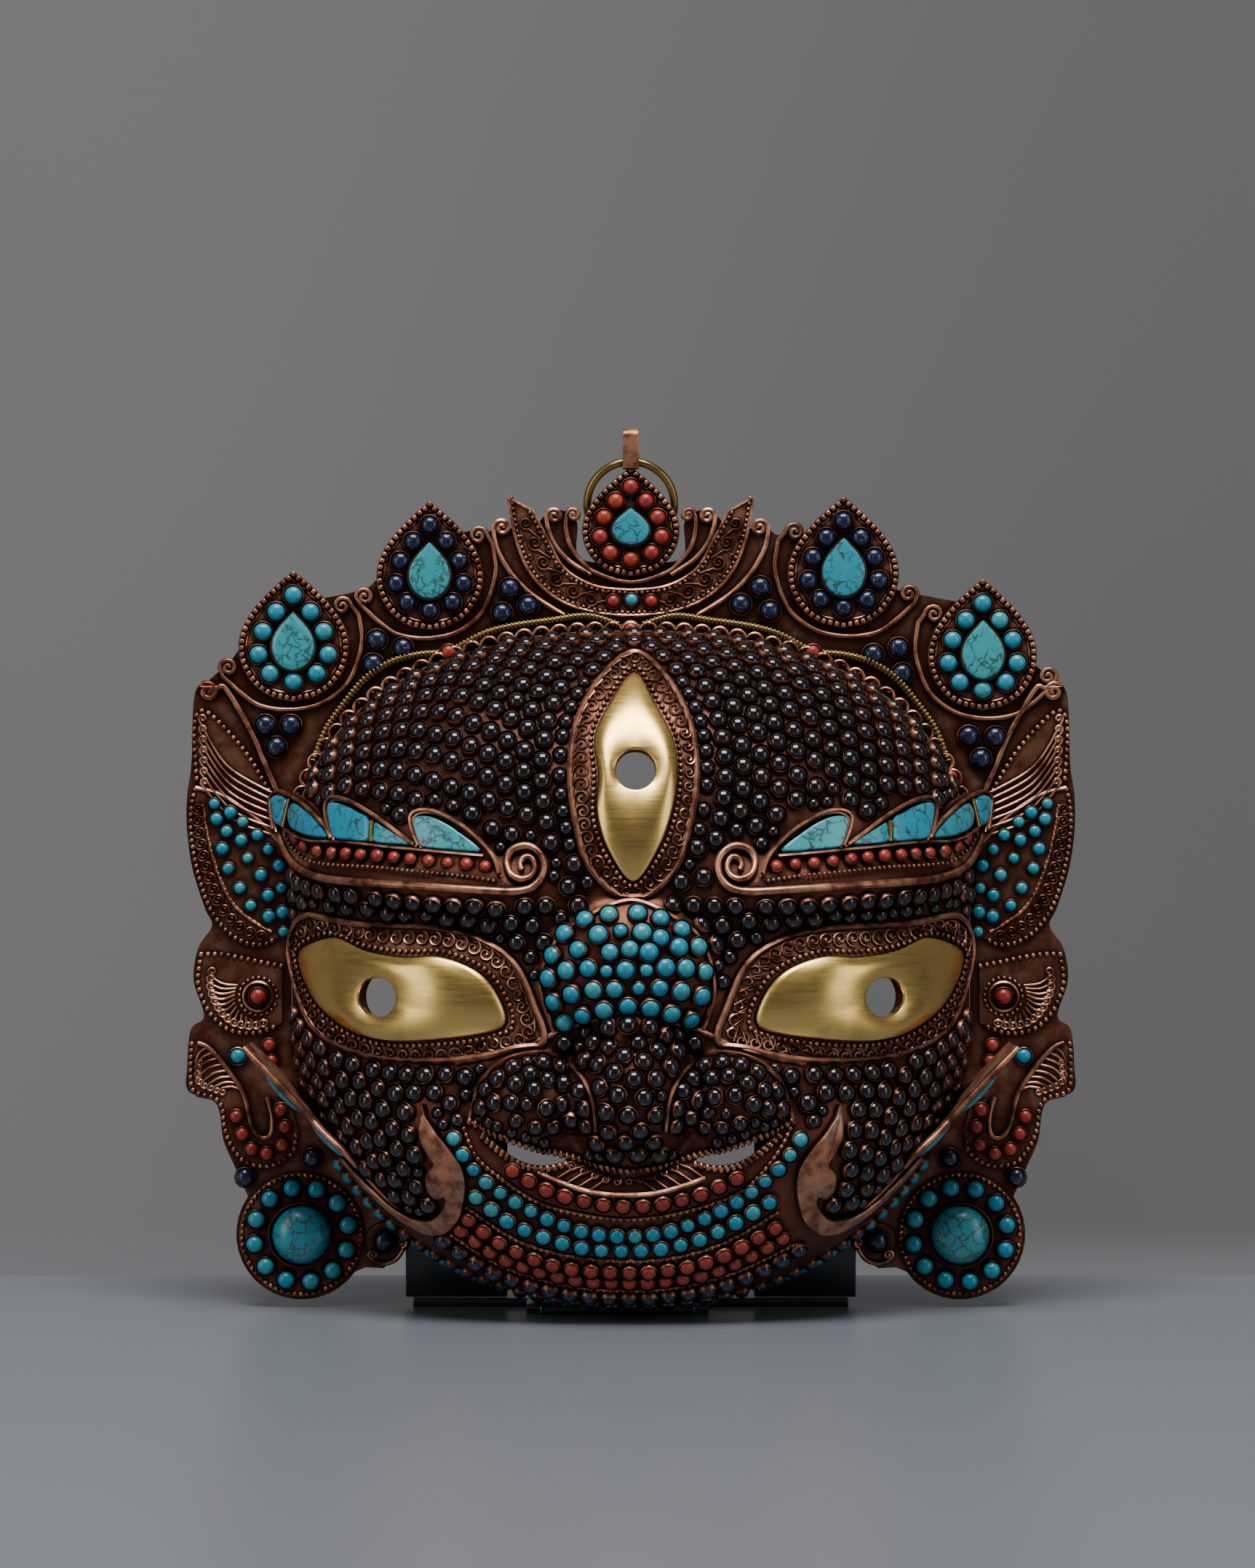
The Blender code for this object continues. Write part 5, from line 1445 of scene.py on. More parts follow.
class MASK_OT_brows(bpy.types.Operator):
    """Make the brows: flame walls with turquoise, a row of corals and the curling rail"""
    bl_idname = "mask.brows"
    bl_label = "Brows"

    def execute(self, context):
        chance = random.Random(8)
        metal = in_copper("brows", "wire",
                          ("brow_flames_left", "brow_flames_right", "brow_rail_left", "brow_rail_right"))
        settings = in_copper("brow_bezels")
        corals = Piece("brow_coral", FINISHES["coral"], "coral")
        stones = Piece("brow_turquoise", FINISHES["veined_turquoise"], "turquoise")
        beads = in_copper("brow_beads", "pale_beads")
        brass = Piece("brow_bars", FINISHES["dull_brass"], "satin_brass")
        for side in (-1, 1):
            outline = spaced(smooth_line(in_metres(BROW_FLAMES, side)), 60)
            lower = spaced(smooth_line(in_metres(BROW_RAIL[:12], side)), 60)
            settings.shape(sheet(outline + lower, on_run_out, -0.5 * MM, 0.9 * MM))
            for line in FLAME_WALLS:
                path = at_pitch(smooth_line(in_metres(line, side)), 0.9 * MM)
                metal.shape(wall_strip(path, on_run_out, 0.0, BROW_THICKNESS + 0.1 * MM, 0.6 * MM))
                metal.wires([lifted(on_run_out, path, BROW_THICKNESS + 0.1 * MM)], 0.55 * MM)
                inner = [p + Vector((-side * 0.7, -0.7)) * MM for p in path]
                metal.wires([lifted(on_run_out, inner, BROW_THICKNESS - 0.2 * MM)], 0.4 * MM)
                SETTLED.take_line(path, 1.0 * MM)
            for line in FLAME_BARS:
                bar = spaced(in_metres(line, side), 8)
                brass.wires([lifted(on_run_out, bar, BROW_THICKNESS - 0.4 * MM)], 0.85 * MM, sides=8)
            base = at_pitch(smooth_line(in_metres(BROW_BASE, side)), 0.9 * MM)
            metal.shape(wall_strip(base, on_run_out, 0.3 * MM, BROW_THICKNESS - 0.2 * MM, 0.6 * MM))
            for line in FLAME_STONES:
                stones.shape(inlay(in_metres(line, side), on_run_out, 0.6 * MM, BROW_THICKNESS + 0.4 * MM))
            row = in_metres(BROW_CORALS, side)
            share = [chance.uniform(0.92, 1.06) for _ in row]
            set_stones(corals, settings, row, 1.65 * MM, 0.32 * MM, size=share,
                       surface=raised_by(0.9 * MM, on_run_out))
            beaded(beads, smooth_line(in_metres(BROW_BEADS, side)), on_run_out, 1.2, 1.35, 0.85)
            rail = at_pitch(smooth_line(in_metres(BROW_RAIL, side)), 0.8 * MM)
            count = len(rail)
            tapers = [[min(1.0, 0.5 + 6.0 * i / count, 0.72 + 1.4 * (count - 1 - i) / count)
                       for i in range(count)]]
            metal.wires([lifted(on_run_out, rail, RAIL_WIRE * 0.9)], RAIL_WIRE, sides=12, tapers=tapers)
            SETTLED.take_line(rail, 1.2 * MM)
            centre = place_of(SPIRAL_AT, side)
            SETTLED.take(on_face(centre.x, centre.y, 0.0)[0], 5.0 * MM)
        return finished(metal, settings, corals, stones, beads, brass)


# Whiskers, right half: the tray's line, and the tusk's outline and middle line
WHISKER_LINE = ((62.0, 30.2), (68.0, 35.6), (76.4, 44.6), (84.5, 52.0), (93.6, 62.4), (104.0, 73.0))
TUSK = ((54.9, 59.4), (53.9, 56.1), (52.5, 54.0), (50.3, 51.0), (48.1, 48.6), (46.0, 45.9), (44.5, 43.4),
        (43.7, 40.3), (43.6, 36.8), (44.2, 32.6), (45.3, 29.0), (47.6, 25.9), (50.5, 24.3), (54.1, 24.3),
        (57.3, 25.5), (60.5, 27.2), (63.7, 29.4), (67.6, 32.6), (70.8, 35.6), (74.0, 38.8), (77.3, 42.2),
        (78.0, 43.6), (77.0, 44.0), (74.2, 41.2), (71.0, 38.2), (68.1, 35.6), (64.8, 32.8), (61.6, 30.6),
        (58.4, 29.0), (55.2, 28.3), (52.6, 28.7), (50.3, 30.7), (49.0, 33.1), (49.0, 34.9), (50.9, 34.3),
        (52.7, 35.5), (53.8, 38.0), (53.8, 40.6), (52.6, 42.4), (51.8, 43.8), (53.5, 46.4), (55.0, 49.3),
        (55.7, 52.0), (55.5, 55.4))
TUSK_MIDDLE = ((54.6, 56.0), (53.2, 51.0), (50.2, 46.8), (47.8, 42.4), (46.6, 37.6), (46.6, 32.4),
               (48.6, 28.4), (52.4, 26.4), (57.2, 27.2), (63.0, 30.8), (70.0, 36.8), (76.0, 42.2))
TUSK_FRONT = 2.2 * MM
TUSK_SUNK = 0.6 * MM
TUSK_EDGE = 0.75 * MM
WHISKER_BACK = 9.0 * MM
WHISKER_FRONT = 27.0 * MM
WHISKER_FLAME = 5.0 * MM
TRAY_DEPTH = 24.0 * MM
TRAY_SHEET = 1.0 * MM


class MASK_OT_whiskers(bpy.types.Operator):
    """Make the tusk-like whiskers with their free-standing trays"""
    bl_idname = "mask.whiskers"
    bl_label = "Whiskers"

    def execute(self, context):
        tusks = in_copper("whiskers", "tusk",
                          ("whisker_hook_left", "whisker_hook_right", "whisker_tray_left",
                           "whisker_tray_right"))
        stones = Piece("whisker_turquoise", FINISHES["pale_turquoise"], "turquoise")
        corals = Piece("whisker_coral", FINISHES["coral"], "coral")
        settings = in_copper("whisker_bezels")
        for side in (-1, 1):
            edge = even_outline(TUSK, 150, side)
            tusks.shape(self.tusk(edge), 0.75)
            hook = smooth_line(in_metres(TUSK_MIDDLE, side))
            SETTLED.take_line(hook, 2.0 * MM)
            SETTLED.take_line(edge + edge[:1], 0.7 * MM)
            self.tray(side, tusks, stones, corals, settings)
        return finished(tusks, stones, corals, settings)

    def tusk(self, edge):
        """A flat tusk with a rounded edge, laid along the face."""
        bm = sheet(edge, on_run_out, -TUSK_SUNK, TUSK_FRONT, TUSK_EDGE, segments=4)
        bmesh.ops.triangulate(bm, faces=[f for f in bm.faces if len(f.verts) > 4])
        return bm

    def tray(self, side, tusks, stones, corals, settings):
        """A trough of sheet that runs out from the face, with stones along its lower side."""
        path = at_pitch(smooth_line(in_metres(WHISKER_LINE, side)), 1.0 * MM)
        last = len(path) - 1
        fronts = []
        for i, p in enumerate(path):
            flame = WHISKER_FLAME * abs(math.sin(2 * math.pi * 0.9 * i / last))
            fronts.append(min(-face_depth(p.x, p.y) - 1.2 * MM, -WHISKER_FRONT - flame)
                          if i > last * 0.25 else -face_depth(p.x, p.y) - 1.6 * MM)
        bm = bmesh.new()
        verts = [bm.verts.new((p.x, fronts[i], p.y)) for i, p in enumerate(path)]
        edges = [bm.edges.new(pair) for pair in zip(verts, verts[1:])]
        grown = bmesh.ops.extrude_edge_only(bm, edges=edges)["geom"]
        for v in of_kind(grown, bmesh.types.BMVert):
            v.co.y = min(-WHISKER_BACK, v.co.y + TRAY_DEPTH)
        thicken(bm, TRAY_SHEET)
        tusks.shape(bm)
        rim = [Vector((p.x, fronts[i] + 0.2 * MM, p.y)) for i, p in enumerate(path)]
        tusks.wires([rim], 0.85 * MM, sides=8)
        down = Vector((0.66 * side, 0.0, -0.75))
        for start, end in ((0.34, 0.56), (0.62, 0.86)):
            i, j = int(last * start), int(last * end)
            middle = (rim[i] + rim[j]) / 2 + down * 1.2 * MM + Vector((0.0, 7.0 * MM, 0.0))
            along = (rim[j] - rim[i]).normalized()
            length = (rim[j] - rim[i]).length
            stone = bmesh.new()
            bmesh.ops.create_uvsphere(stone, u_segments=24, v_segments=12, radius=1.0)
            bmesh.ops.scale(stone, vec=(length / 2, 5.6 * MM, 1.5 * MM), verts=stone.verts)
            turn = Matrix((along, Vector((0, -1, 0)), along.cross(Vector((0, -1, 0))))).transposed()
            bmesh.ops.transform(stone, matrix=Matrix.Translation(middle) @ turn.to_4x4(),
                                verts=stone.verts)
            stones.shape(stone)
        for share in np.linspace(0.28, 0.92, 9):
            p = path[int(last * share)]
            point = Vector((p.x, -WHISKER_BACK - 5.5 * MM, p.y)) + down * 0.5 * MM
            where = standing(point, down)
            corals.stamp(cabochon(1.35 * MM, 0.9 * MM), [where @ Matrix.Translation((0, 0, 0.5 * MM))])
            settings.stamp(bezel(1.35 * MM, 0.3 * MM, 1.0 * MM), [where])


# Garnets all over the bare parts of the face; zones are right halves
CHEEK = ((42.5, 52.0), (43.6, 60.0), (40.5, 66.6), (44.0, 69.4), (60.0, 68.8), (75.0, 70.6), (87.0, 77.4),
         (94.0, 88.0), (94.0, 78.0), (92.0, 63.0), (87.0, 55.5), (80.0, 48.4), (72.0, 40.0), (64.0, 33.6),
         (57.0, 29.8), (52.6, 30.0), (50.0, 34.0), (49.0, 38.0), (51.0, 44.0), (56.5, 51.0),
         (59.0, 58.0), (55.0, 61.5), (49.5, 56.5), (47.0, 52.0))


# What each garnet keeps free around itself
GARNET_GAP = 0.34 * MM


class MASK_OT_garnets(bpy.types.Operator):
    """Set dark garnets over the forehead, under the brows and over the nose and cheeks"""
    bl_idname = "mask.garnets"
    bl_label = "Garnets"

    def execute(self, context):
        stones = Piece("garnets", FINISHES["garnet"], None)
        settings = in_copper("garnet_bezels")
        radius = sizes().garnet_radius
        found = (self.forehead(radius) + self.under_brows(radius) + self.nose(radius)
                 + self.cheeks(radius) + self.leftovers(radius))
        points, share = zip(*found)
        set_stones(stones, settings, points, radius, 0.36 * MM, 0.62, share, segments=12)
        return finished(stones, settings)

    def forehead(self, radius):
        third = even_outline(THIRD_FRAME, 80)
        SETTLED.take_line(third + third[:1], 0.9 * MM)
        flames = [smooth_line(in_metres(BROW_FLAMES, side)) for side in (-1, 1)]
        flames = [line + [Vector((line[-1].x, 100 * MM)), Vector((line[0].x, 100 * MM))] for line in flames]
        rows = []
        # every eighth row first, then those between
        steps = sorted(range(134), key=lambda step: (step % 8 > 0, step))
        for step in steps:
            around = offset_line(third, radius + 0.6 * MM + 0.6 * MM * step, closed=True)
            rows.append(around + around[:1])

        def allowed(p):
            return (p.y > brow_z(p.x) + 1.0 * MM and not inside(third, p)
                    and (abs(p.x) > 30 * MM or p.y > 116 * MM)
                    and not any(inside(line, p) for line in flames))

        if rim_share(*rows[-1][0])[0] < rim_share(*rows[0][0])[0]:
            rows = [offset_line(third, -(radius + 0.6 * MM) - 0.6 * MM * step, closed=True)
                    for step in steps]
            rows = [row + row[:1] for row in rows]
        return SETTLED.fill(rows, radius + GARNET_GAP, allowed, 3, 0.05)

    def under_brows(self, radius):
        third = even_outline(THIRD_FRAME, 80)
        eyes = [even_outline(EYE_FRAME, 80, side) for side in (-1, 1)]
        for eye in eyes:
            SETTLED.take_line(eye + eye[:1], 1.0 * MM)
        dome = in_metres(NOSE_DOME)
        rows = [[Vector((x, brow_z(x) - 3.6 * MM - 0.65 * MM * step))
                 for x in np.linspace(-93 * MM, 93 * MM, 120)] for step in range(60)]

        def allowed(p):
            return (p.y > 98 * MM - max(0.0, abs(p.x) - 80 * MM) * 0.6 and p.y < brow_z(p.x)
                    and not inside(third, p) and not inside(dome, p)
                    and not any(inside(eye, p) for eye in eyes))

        return SETTLED.fill(rows, radius + GARNET_GAP, allowed, 5, 0.06)

    def nose(self, radius):
        arch = smooth_line(in_metres(NOSE_ARCH))
        wings = [smooth_line(in_metres(NOSTRIL, side)) for side in (-1, 1)]
        found = []
        for wing in wings:
            closed = wing + [Vector((wing[-1].x, 46 * MM)), Vector((wing[0].x, 44 * MM))]
            middle = Vector((sum(p.x for p in wing) / len(wing), 60 * MM))
            rows = [[middle + (p - middle) * (1.0 - 0.02 * step) for p in closed[:-2]]
                    + [Vector((x, mouth_z(x) + 2.6 * MM)) for x in
                       np.linspace(wing[-1].x, wing[0].x, 12)] for step in range(3, 48)]
            found += SETTLED.fill(
                rows, radius * 0.88 + 0.32 * MM,
                lambda p, closed=closed: inside(closed, p) and p.y > mouth_z(p.x) + 1.6 * MM, 7, 0.15)
        rows = [[Vector((p.x, p.y - 2.6 * MM - 0.65 * MM * step)) for p in arch] for step in range(70)]
        shapes = [wing + [Vector((wing[-1].x, 40 * MM)), Vector((wing[0].x, 40 * MM))] for wing in wings]

        def allowed(p):
            return (abs(p.x) < 44 * MM and p.y > mouth_z(p.x) + 1.8 * MM
                    and not any(inside(shape, p) for shape in shapes))

        return found + SETTLED.fill(rows, radius * 0.94 + GARNET_GAP, allowed, 9, 0.1)

    def cheeks(self, radius):
        found = []
        for side in (-1, 1):
            zone = in_metres(CHEEK, side)
            eye = even_outline(EYE_FRAME, 90, side)
            middle = sum(eye, Vector((0.0, 0.0))) / len(eye)
            rows = []
            for step in range(95):
                far = (radius + 1.5 * MM) + 0.65 * MM * step
                rows.append([p + (p - middle).normalized() * far for p in eye + eye[:1]])
            found += SETTLED.fill(rows, radius + GARNET_GAP, lambda p: inside(zone, p), 11 + side)
        return found

    def leftovers(self, radius):
        """Smaller stones wherever copper is still bare between the rows."""
        third = even_outline(THIRD_FRAME, 60)
        eyes = [even_outline(EYE_FRAME, 60, side) for side in (-1, 1)]
        closed = [third, in_metres(NOSE_DOME)] + eyes
        rows = [[Vector((-70 * MM, z * MM)), Vector((70 * MM, z * MM))] for z in np.arange(54.0, 112.0, 0.6)]

        def allowed(p):
            lowest = mouth_z(p.x) + 1.6 * MM if abs(p.x) < MOUTH_HALF + 2 * MM else 52 * MM
            return p.y > lowest and not any(inside(line, p) for line in closed)

        return SETTLED.fill(rows, radius + GARNET_GAP, allowed, 21, 0.1, (0.85, 0.62))


# The crown's petals: name, middle x, tip z, bottom z, half width and the round stones' kind
PETALS = (
    ("left_outer", -92.6, 202.6, 166.6, 15.2, "turquoise"),
    ("left_inner", -55.2, 221.8, 186.2, 14.7, "lapis"),
    ("centre", 0.0, 231.2, 201.0, 13.4, "coral"),
    ("right_inner", 58.4, 223.0, 186.8, 15.3, "lapis"),
    ("right_outer", 96.6, 200.4, 164.2, 15.0, "turquoise"),
)
PETAL_BULGE = 0.58
PETAL_SHEET = 1.4 * MM
GAP = 0.3 * MM
ORNAMENT_SHEET = 1.0 * MM
DROP_TIP = 11.0
DROP_BOTTOM = 8.0
DROP_SHARE = 0.42
CRADLE_WIRE = 0.7 * MM
PETAL_FRONT = GAP + PETAL_SHEET
# Shares of a petal's height from its tip, and of its half width from its middle line
PETAL_STONES = ((0.187, 0.0), (0.315, 0.31), (0.315, -0.31), (0.465, 0.55), (0.465, -0.55), (0.64, 0.63),
                (0.64, -0.63), (0.785, 0.42), (0.785, -0.42), (0.845, 0.0))
CRADLE = ((1.17, 0.32), (1.20, 0.40), (1.23, 0.54), (1.12, 0.73), (0.90, 0.894), (0.45, 1.02),
          (-0.10, 1.06), (-0.60, 1.03), (-0.93, 0.94), (-1.12, 0.87), (-1.30, 0.80))
CENTRE_CRADLE = ((1.32, 0.42), (1.33, 0.56), (1.23, 0.73), (0.99, 0.87), (0.70, 0.967), (0.0, 1.05))


def petal_outline(x, tip, bottom, half_width, count):
    """A pointed pear: from the tip down one side and up the other."""
    height = tip - bottom
    fine = []
    steps = 40
    for i in range(steps + 1):
        share = i / steps
        if share < PETAL_BULGE:
            width = math.sin(math.pi / 2 * (share / PETAL_BULGE) ** 0.95)
        else:
            width = math.sqrt(max(0.0, 1.0 - ((share - PETAL_BULGE) / (1 - PETAL_BULGE)) ** 2))
        fine.append(Vector((half_width * width, tip - height * share)))
    around = fine + [Vector((-p.x, p.y)) for p in reversed(fine[1:-1])]
    around = [Vector((x + p.x, p.y)) for p in around]
    return spaced(around + around[:1], count, closed=True)


def shrunk(outline, margin):
    """A closed outline moved inwards, its corners kept."""
    middle = sum(outline, Vector((0.0, 0.0))) / len(outline)
    moved = offset_line(outline, margin, closed=True)
    if (moved[0] - middle).length > (outline[0] - middle).length:
        moved = offset_line(outline, -margin, closed=True)
    return moved


class MASK_OT_petals(bpy.types.Operator):
    """Make the five petals with their settings, drop stones and wire cradles"""
    bl_idname = "mask.petals"
    bl_label = "Petals"

    def execute(self, context):
        names = [petal[0] for petal in PETALS]
        metal = in_copper("petals", "copper",
                          [f"petal_{name}" for name in names] + [f"cradle_{name}" for name in names])
        beads = in_copper("petal_borders", "wire")
        drops = Piece("petal_drops", FINISHES["pale_turquoise"], "turquoise",
                      [f"drop_stone_{name}" for name in names])
        stones = {kind: Piece("petal_" + kind, FINISHES[kind], kind)
                  for kind in ("turquoise", "lapis", "coral")}
        for name, *measures, kind in PETALS:
            self.petal(metal, beads, drops, stones[kind], *[value * MM for value in measures])
        return finished(metal, beads, drops, *stones.values())

    def petal(self, metal, beads, drops, stones, x, tip, bottom, half_width):
        front = PETAL_FRONT
        places_on = []
        outline = petal_outline(x, tip, bottom, half_width, 72)
        metal.shape(sheet(outline, on_plate, GAP, front, bevel=0.3 * MM))
        edge = shrunk(outline, 0.9 * MM)
        row = at_pitch(edge + edge[:1], 1.85 * MM, closed=True)
        block = square_bead(1.45 * MM, 1.6 * MM, 1.1 * MM)
        beads.stamp(block, along_line(on_plate, row, front - 0.2 * MM, closed=True))
        inner = shrunk(outline, 2.1 * MM)
        beads.wires([lifted(on_plate, inner, front + 0.1 * MM)], 0.3 * MM, closed=True)
        height = tip - bottom
        for share, reach in PETAL_STONES:
            places_on.append(Vector((x + half_width * reach, tip - height * share)))
        radius = half_width / 6.1
        set_stones(stones, metal, places_on, radius, 0.5 * MM, 0.6, surface=raised_by(front),
                   segments=16)
        drop = petal_outline(x, tip - DROP_TIP * MM, bottom + DROP_BOTTOM * MM, half_width * DROP_SHARE, 44)
        drops.shape(inlay(shrunk(drop, 0.5 * MM)[::2], on_plate, front, front + 3.6 * MM, 44))
        collar = at_pitch(drop + drop[:1], 0.9 * MM)
        metal.shape(wall_strip(collar, on_plate, front - 0.1 * MM, front + 2.2 * MM, 0.75 * MM, closed=False))
        self.cradle(metal, x, tip, bottom, half_width)

    def cradle(self, metal, x, tip, bottom, half_width):
        """The wire that holds the petal from below, its ends curled over towards it."""
        height = tip - bottom
        inner = -1 if x > 0 else 1
        if x:
            line = [Vector((x + inner * dx * half_width, tip - share * height)) for dx, share in CRADLE]
            curls = ((13.3, 0.27, 2.6, inner), (-18.0, 0.74, 2.4, -inner))
        else:
            right = [Vector((dx * half_width, tip - share * height)) for dx, share in CENTRE_CRADLE]
            line = right + [Vector((-p.x, p.y)) for p in right[-2::-1]]
            curls = ((15.8, 0.44, 1.9, 1), (-15.8, 0.44, 1.9, -1))
        ends = []
        for dx, share, reach, away in curls:
            centre = Vector((x + inner * dx * MM, tip - share * height))
            ends.append(spiral(centre, reach * MM, 1.5, turn_towards(away), away, points=13))
        line = ends[0][::-1] + smooth_line(line)[2:-2] + ends[1]
        metal.wires([lifted(on_plate, line, GAP + CRADLE_WIRE)], CRADLE_WIRE, sides=8)


# Crescent, arcs and studs of the crown

CRESCENT_OUTER = ((0.0, 190.3), (10.0, 191.2), (20.0, 194.8), (27.5, 202.0), (31.6, 211.6), (33.6, 222.5))
CRESCENT_INNER = ((27.0, 219.0), (22.8, 211.2), (18.2, 203.2), (10.0, 198.4), (0.0, 197.2))
CRESCENT_SPIRALS = ((28.8, 215.6), (26.3, 210.2), (24.0, 204.9), (20.4, 200.3), (15.8, 197.0), (11.0, 194.8))
CRESCENT_SCROLLS = (((35.4, 214.4), 2.4, ((37.7, 212.6), (36.4, 207.9), (32.6, 201.6), (26.9, 195.9),
                                           (18.3, 190.4))),
                    ((21.0, 217.6), 2.2, ((23.2, 215.8), (21.2, 210.4), (17.2, 205.6), (11.0, 201.6))))
CRESCENT_STONES = (("coral", -4.8, 194.2), ("turquoise", 0.2, 194.6), ("coral", 5.6, 194.2))
ARC_CENTRE = ((3.6, 187.8), (12.0, 190.2), (22.0, 188.9), (32.0, 187.5), (40.0, 185.4), (47.5, 181.5))
ARC_SIDE = ((52.8, 180.0), (59.2, 179.4), (66.0, 177.4), (73.0, 172.8), (79.0, 165.6), (83.6, 159.0),
            (87.0, 150.5))
ARC_WIRE = 1.0 * MM
ARC_STUDS = ((0.0, 186.6), (50.0, 180.2), (87.8, 146.0))
LAPIS_TRIPLES = ((-100.4, 160.2), (-93.4, 160.2), (-97.4, 154.2), (-69.8, 183.6), (-62.6, 181.4),
                 (-70.8, 177.0), (-33.2, 197.8), (-28.2, 193.0), (-35.4, 191.0), (35.6, 198.2),
                 (30.2, 193.4), (38.2, 191.6), (66.6, 179.6), (73.6, 181.4), (74.6, 174.4),
                 (92.8, 157.2), (100.2, 157.0), (96.2, 151.0))


def side_line(points, side):
    return smooth_line(in_metres(points, side))


class MASK_OT_crescent(bpy.types.Operator):
    """Make the crescent under the middle petal, with its spiral filigree"""
    bl_idname = "mask.crescent"
    bl_label = "Crescent"

    def execute(self, context):
        base = in_copper("crescent", "copper", ("crown_crescent",))
        wires = in_copper("crescent_wirework", "wire")
        stones = {kind: Piece("crescent_" + kind, FINISHES[kind], kind) for kind in ("coral", "turquoise")}
        outer = side_line(CRESCENT_OUTER, -1)[::-1] + side_line(CRESCENT_OUTER, 1)[1:]
        inner = side_line(CRESCENT_INNER, 1) + side_line(CRESCENT_INNER, -1)[::-1][1:]
        outline = spaced(outer, 60) + spaced(inner, 46)
        base.shape(sheet(outline, on_plate, GAP, 1.2 * MM))
        for line in (outer, inner):
            beaded(wires, offset_line(line, 0.8 * MM), on_plate, 1.2, 1.55, 0.95)
        edge = outline + outline[:1]
        wires.wires([lifted(on_plate, edge, 1.2 * MM)], 0.5 * MM)
        lines = []
        for side in (-1, 1):
            row = in_metres(CRESCENT_SPIRALS, side)
            for i, centre in enumerate(row):
                ahead = row[i + 1] - centre if i + 1 < len(row) else centre - row[i - 1]
                turn = math.atan2(ahead.y, ahead.x)
                reach = (1.8 if i == 0 else 2.15) * MM
                aside = Vector((-ahead.y, ahead.x)).normalized() * side
                curl = spiral(centre, reach, 1.6, turn, side, 12)
                tail = centre + ahead * 0.95 - aside * reach
                lines.append(lifted(on_plate, [tail] + curl, 1.5 * MM))
                for way in (-1, 1):
                    spot = centre + ahead * 0.5 + aside * way * 2.75 * MM
                    small = spiral(spot, 0.85 * MM, 1.2, turn + way, side * way, 10)
                    lines.append(lifted(on_plate, small, 1.5 * MM))
        wires.wires(lines, sizes().fine_wire * 1.15, sides=5)
        for kind, x, z in CRESCENT_STONES:
            set_stones(stones[kind], base, [place_of((x, z))], 1.75 * MM, 0.4 * MM,
                       surface=raised_by(1.2 * MM), segments=16)
        for side in (-1, 1):
            for (x, z), reach, path in CRESCENT_SCROLLS:
                centre = Vector((side * x, z)) * MM
                curl = spiral(centre, reach * MM, 1.5, turn_towards(side), side, 13)[::-1]
                line = curl + smooth_line(in_metres(path, side))[2:]
                wires.wires([lifted(on_plate, line, 1.0 * MM)], 0.65 * MM)
        return finished(base, wires, *stones.values())


class MASK_OT_arcs(bpy.types.Operator):
    """Make the notched brass arcs over the brow, with beads, scallops, studs and lapis"""
    bl_idname = "mask.arcs"
    bl_label = "Crown arcs"

    def execute(self, context):
        brass = Piece("crown_arcs", FINISHES["dull_brass"], "satin_brass",
                      ("crown_arc_centre_left", "crown_arc_centre_right", "crown_arc_side_left",
                       "crown_arc_side_right"))
        wires = in_copper("crown_wirework", "wire")
        settings = in_copper("crown_bezels")
        coral = Piece("crown_coral", FINISHES["coral"], "coral")
        lapis = Piece("crown_lapis", FINISHES["lapis"], "lapis")
        notch = square_bead(0.5 * MM, 1.9 * MM, 0.55 * MM)
        for side in (-1, 1):
            for points in (ARC_CENTRE, ARC_SIDE):
                line = at_pitch(side_line(points, side), 1.0 * MM)
                brass.wires([lifted(on_plate, line, GAP + ARC_WIRE)], ARC_WIRE, sides=8)
                row = at_pitch(line, 1.15 * MM)
                brass.stamp(notch, along_line(on_plate, row, GAP + 1.75 * ARC_WIRE))
        turns = np.radians(np.linspace(16, 164, 260))
        middle = Vector((0.0, MIDDLE_Z))
        line = [middle + reach_out(turn, rim_distance(turn) + 1.5 * MM) for turn in turns]
        beaded(wires, line, on_plate, 0.6, 1.6, 0.9)
        scallops = []
        for centre in at_pitch(line, 5.0 * MM)[:-1]:
            out = (centre - middle).normalized()
            start = math.atan2(out.y, out.x)
            arc = [centre - out * 1.4 * MM + reach_out(start + turn, 2.3) * MM
                   for turn in np.linspace(-1.7, 1.7, 11)]
            scallops.append([Vector((p.x, -2.2 * MM, p.y)) for p in arc])
        wires.wires(scallops, 0.42 * MM, sides=6)
        studs = in_metres(ARC_STUDS) + in_metres(ARC_STUDS[1:], -1)
        raised = raised_by(ORNAMENT_SHEET)
        set_stones(coral, settings, studs, 2.0 * MM, 0.45 * MM, surface=raised, segments=16)
        set_stones(lapis, settings, in_metres(LAPIS_TRIPLES), 2.7 * MM, 0.5 * MM, surface=on_plate,
                   segments=16)
        return finished(brass, wires, settings, coral, lapis)


# Fans, leaves and scrolls down the sides; right half, in millimetres

UPPER_FAN = ((119.2, 145.6), (120.0, 157.6), (119.0, 163.4), (116.8, 163.8), (113.6, 161.4),
             (107.0, 154.2), (102.8, 148.0), (98.6, 140.6))
UPPER_WIRE = ((113.6, 170.4), (111.6, 170.6), (108.2, 165.4), (103.6, 157.0), (100.4, 149.2), (97.4, 141.8),
              (96.0, 134.0))
LEAF_OUTER = ((119.6, 142.6), (120.6, 138.6), (120.8, 131.4), (119.4, 121.8), (116.2, 111.2),
              (111.6, 104.2), (106.4, 100.6), (101.4, 99.8), (98.6, 101.0))
LEAF_INNER = ((117.6, 138.0), (116.2, 129.4), (113.2, 119.2), (109.2, 111.0), (103.4, 106.0), (98.8, 103.4))
LEAF_TOP = ((119.6, 143.0), (112.0, 140.8), (103.0, 134.6), (96.4, 128.0))
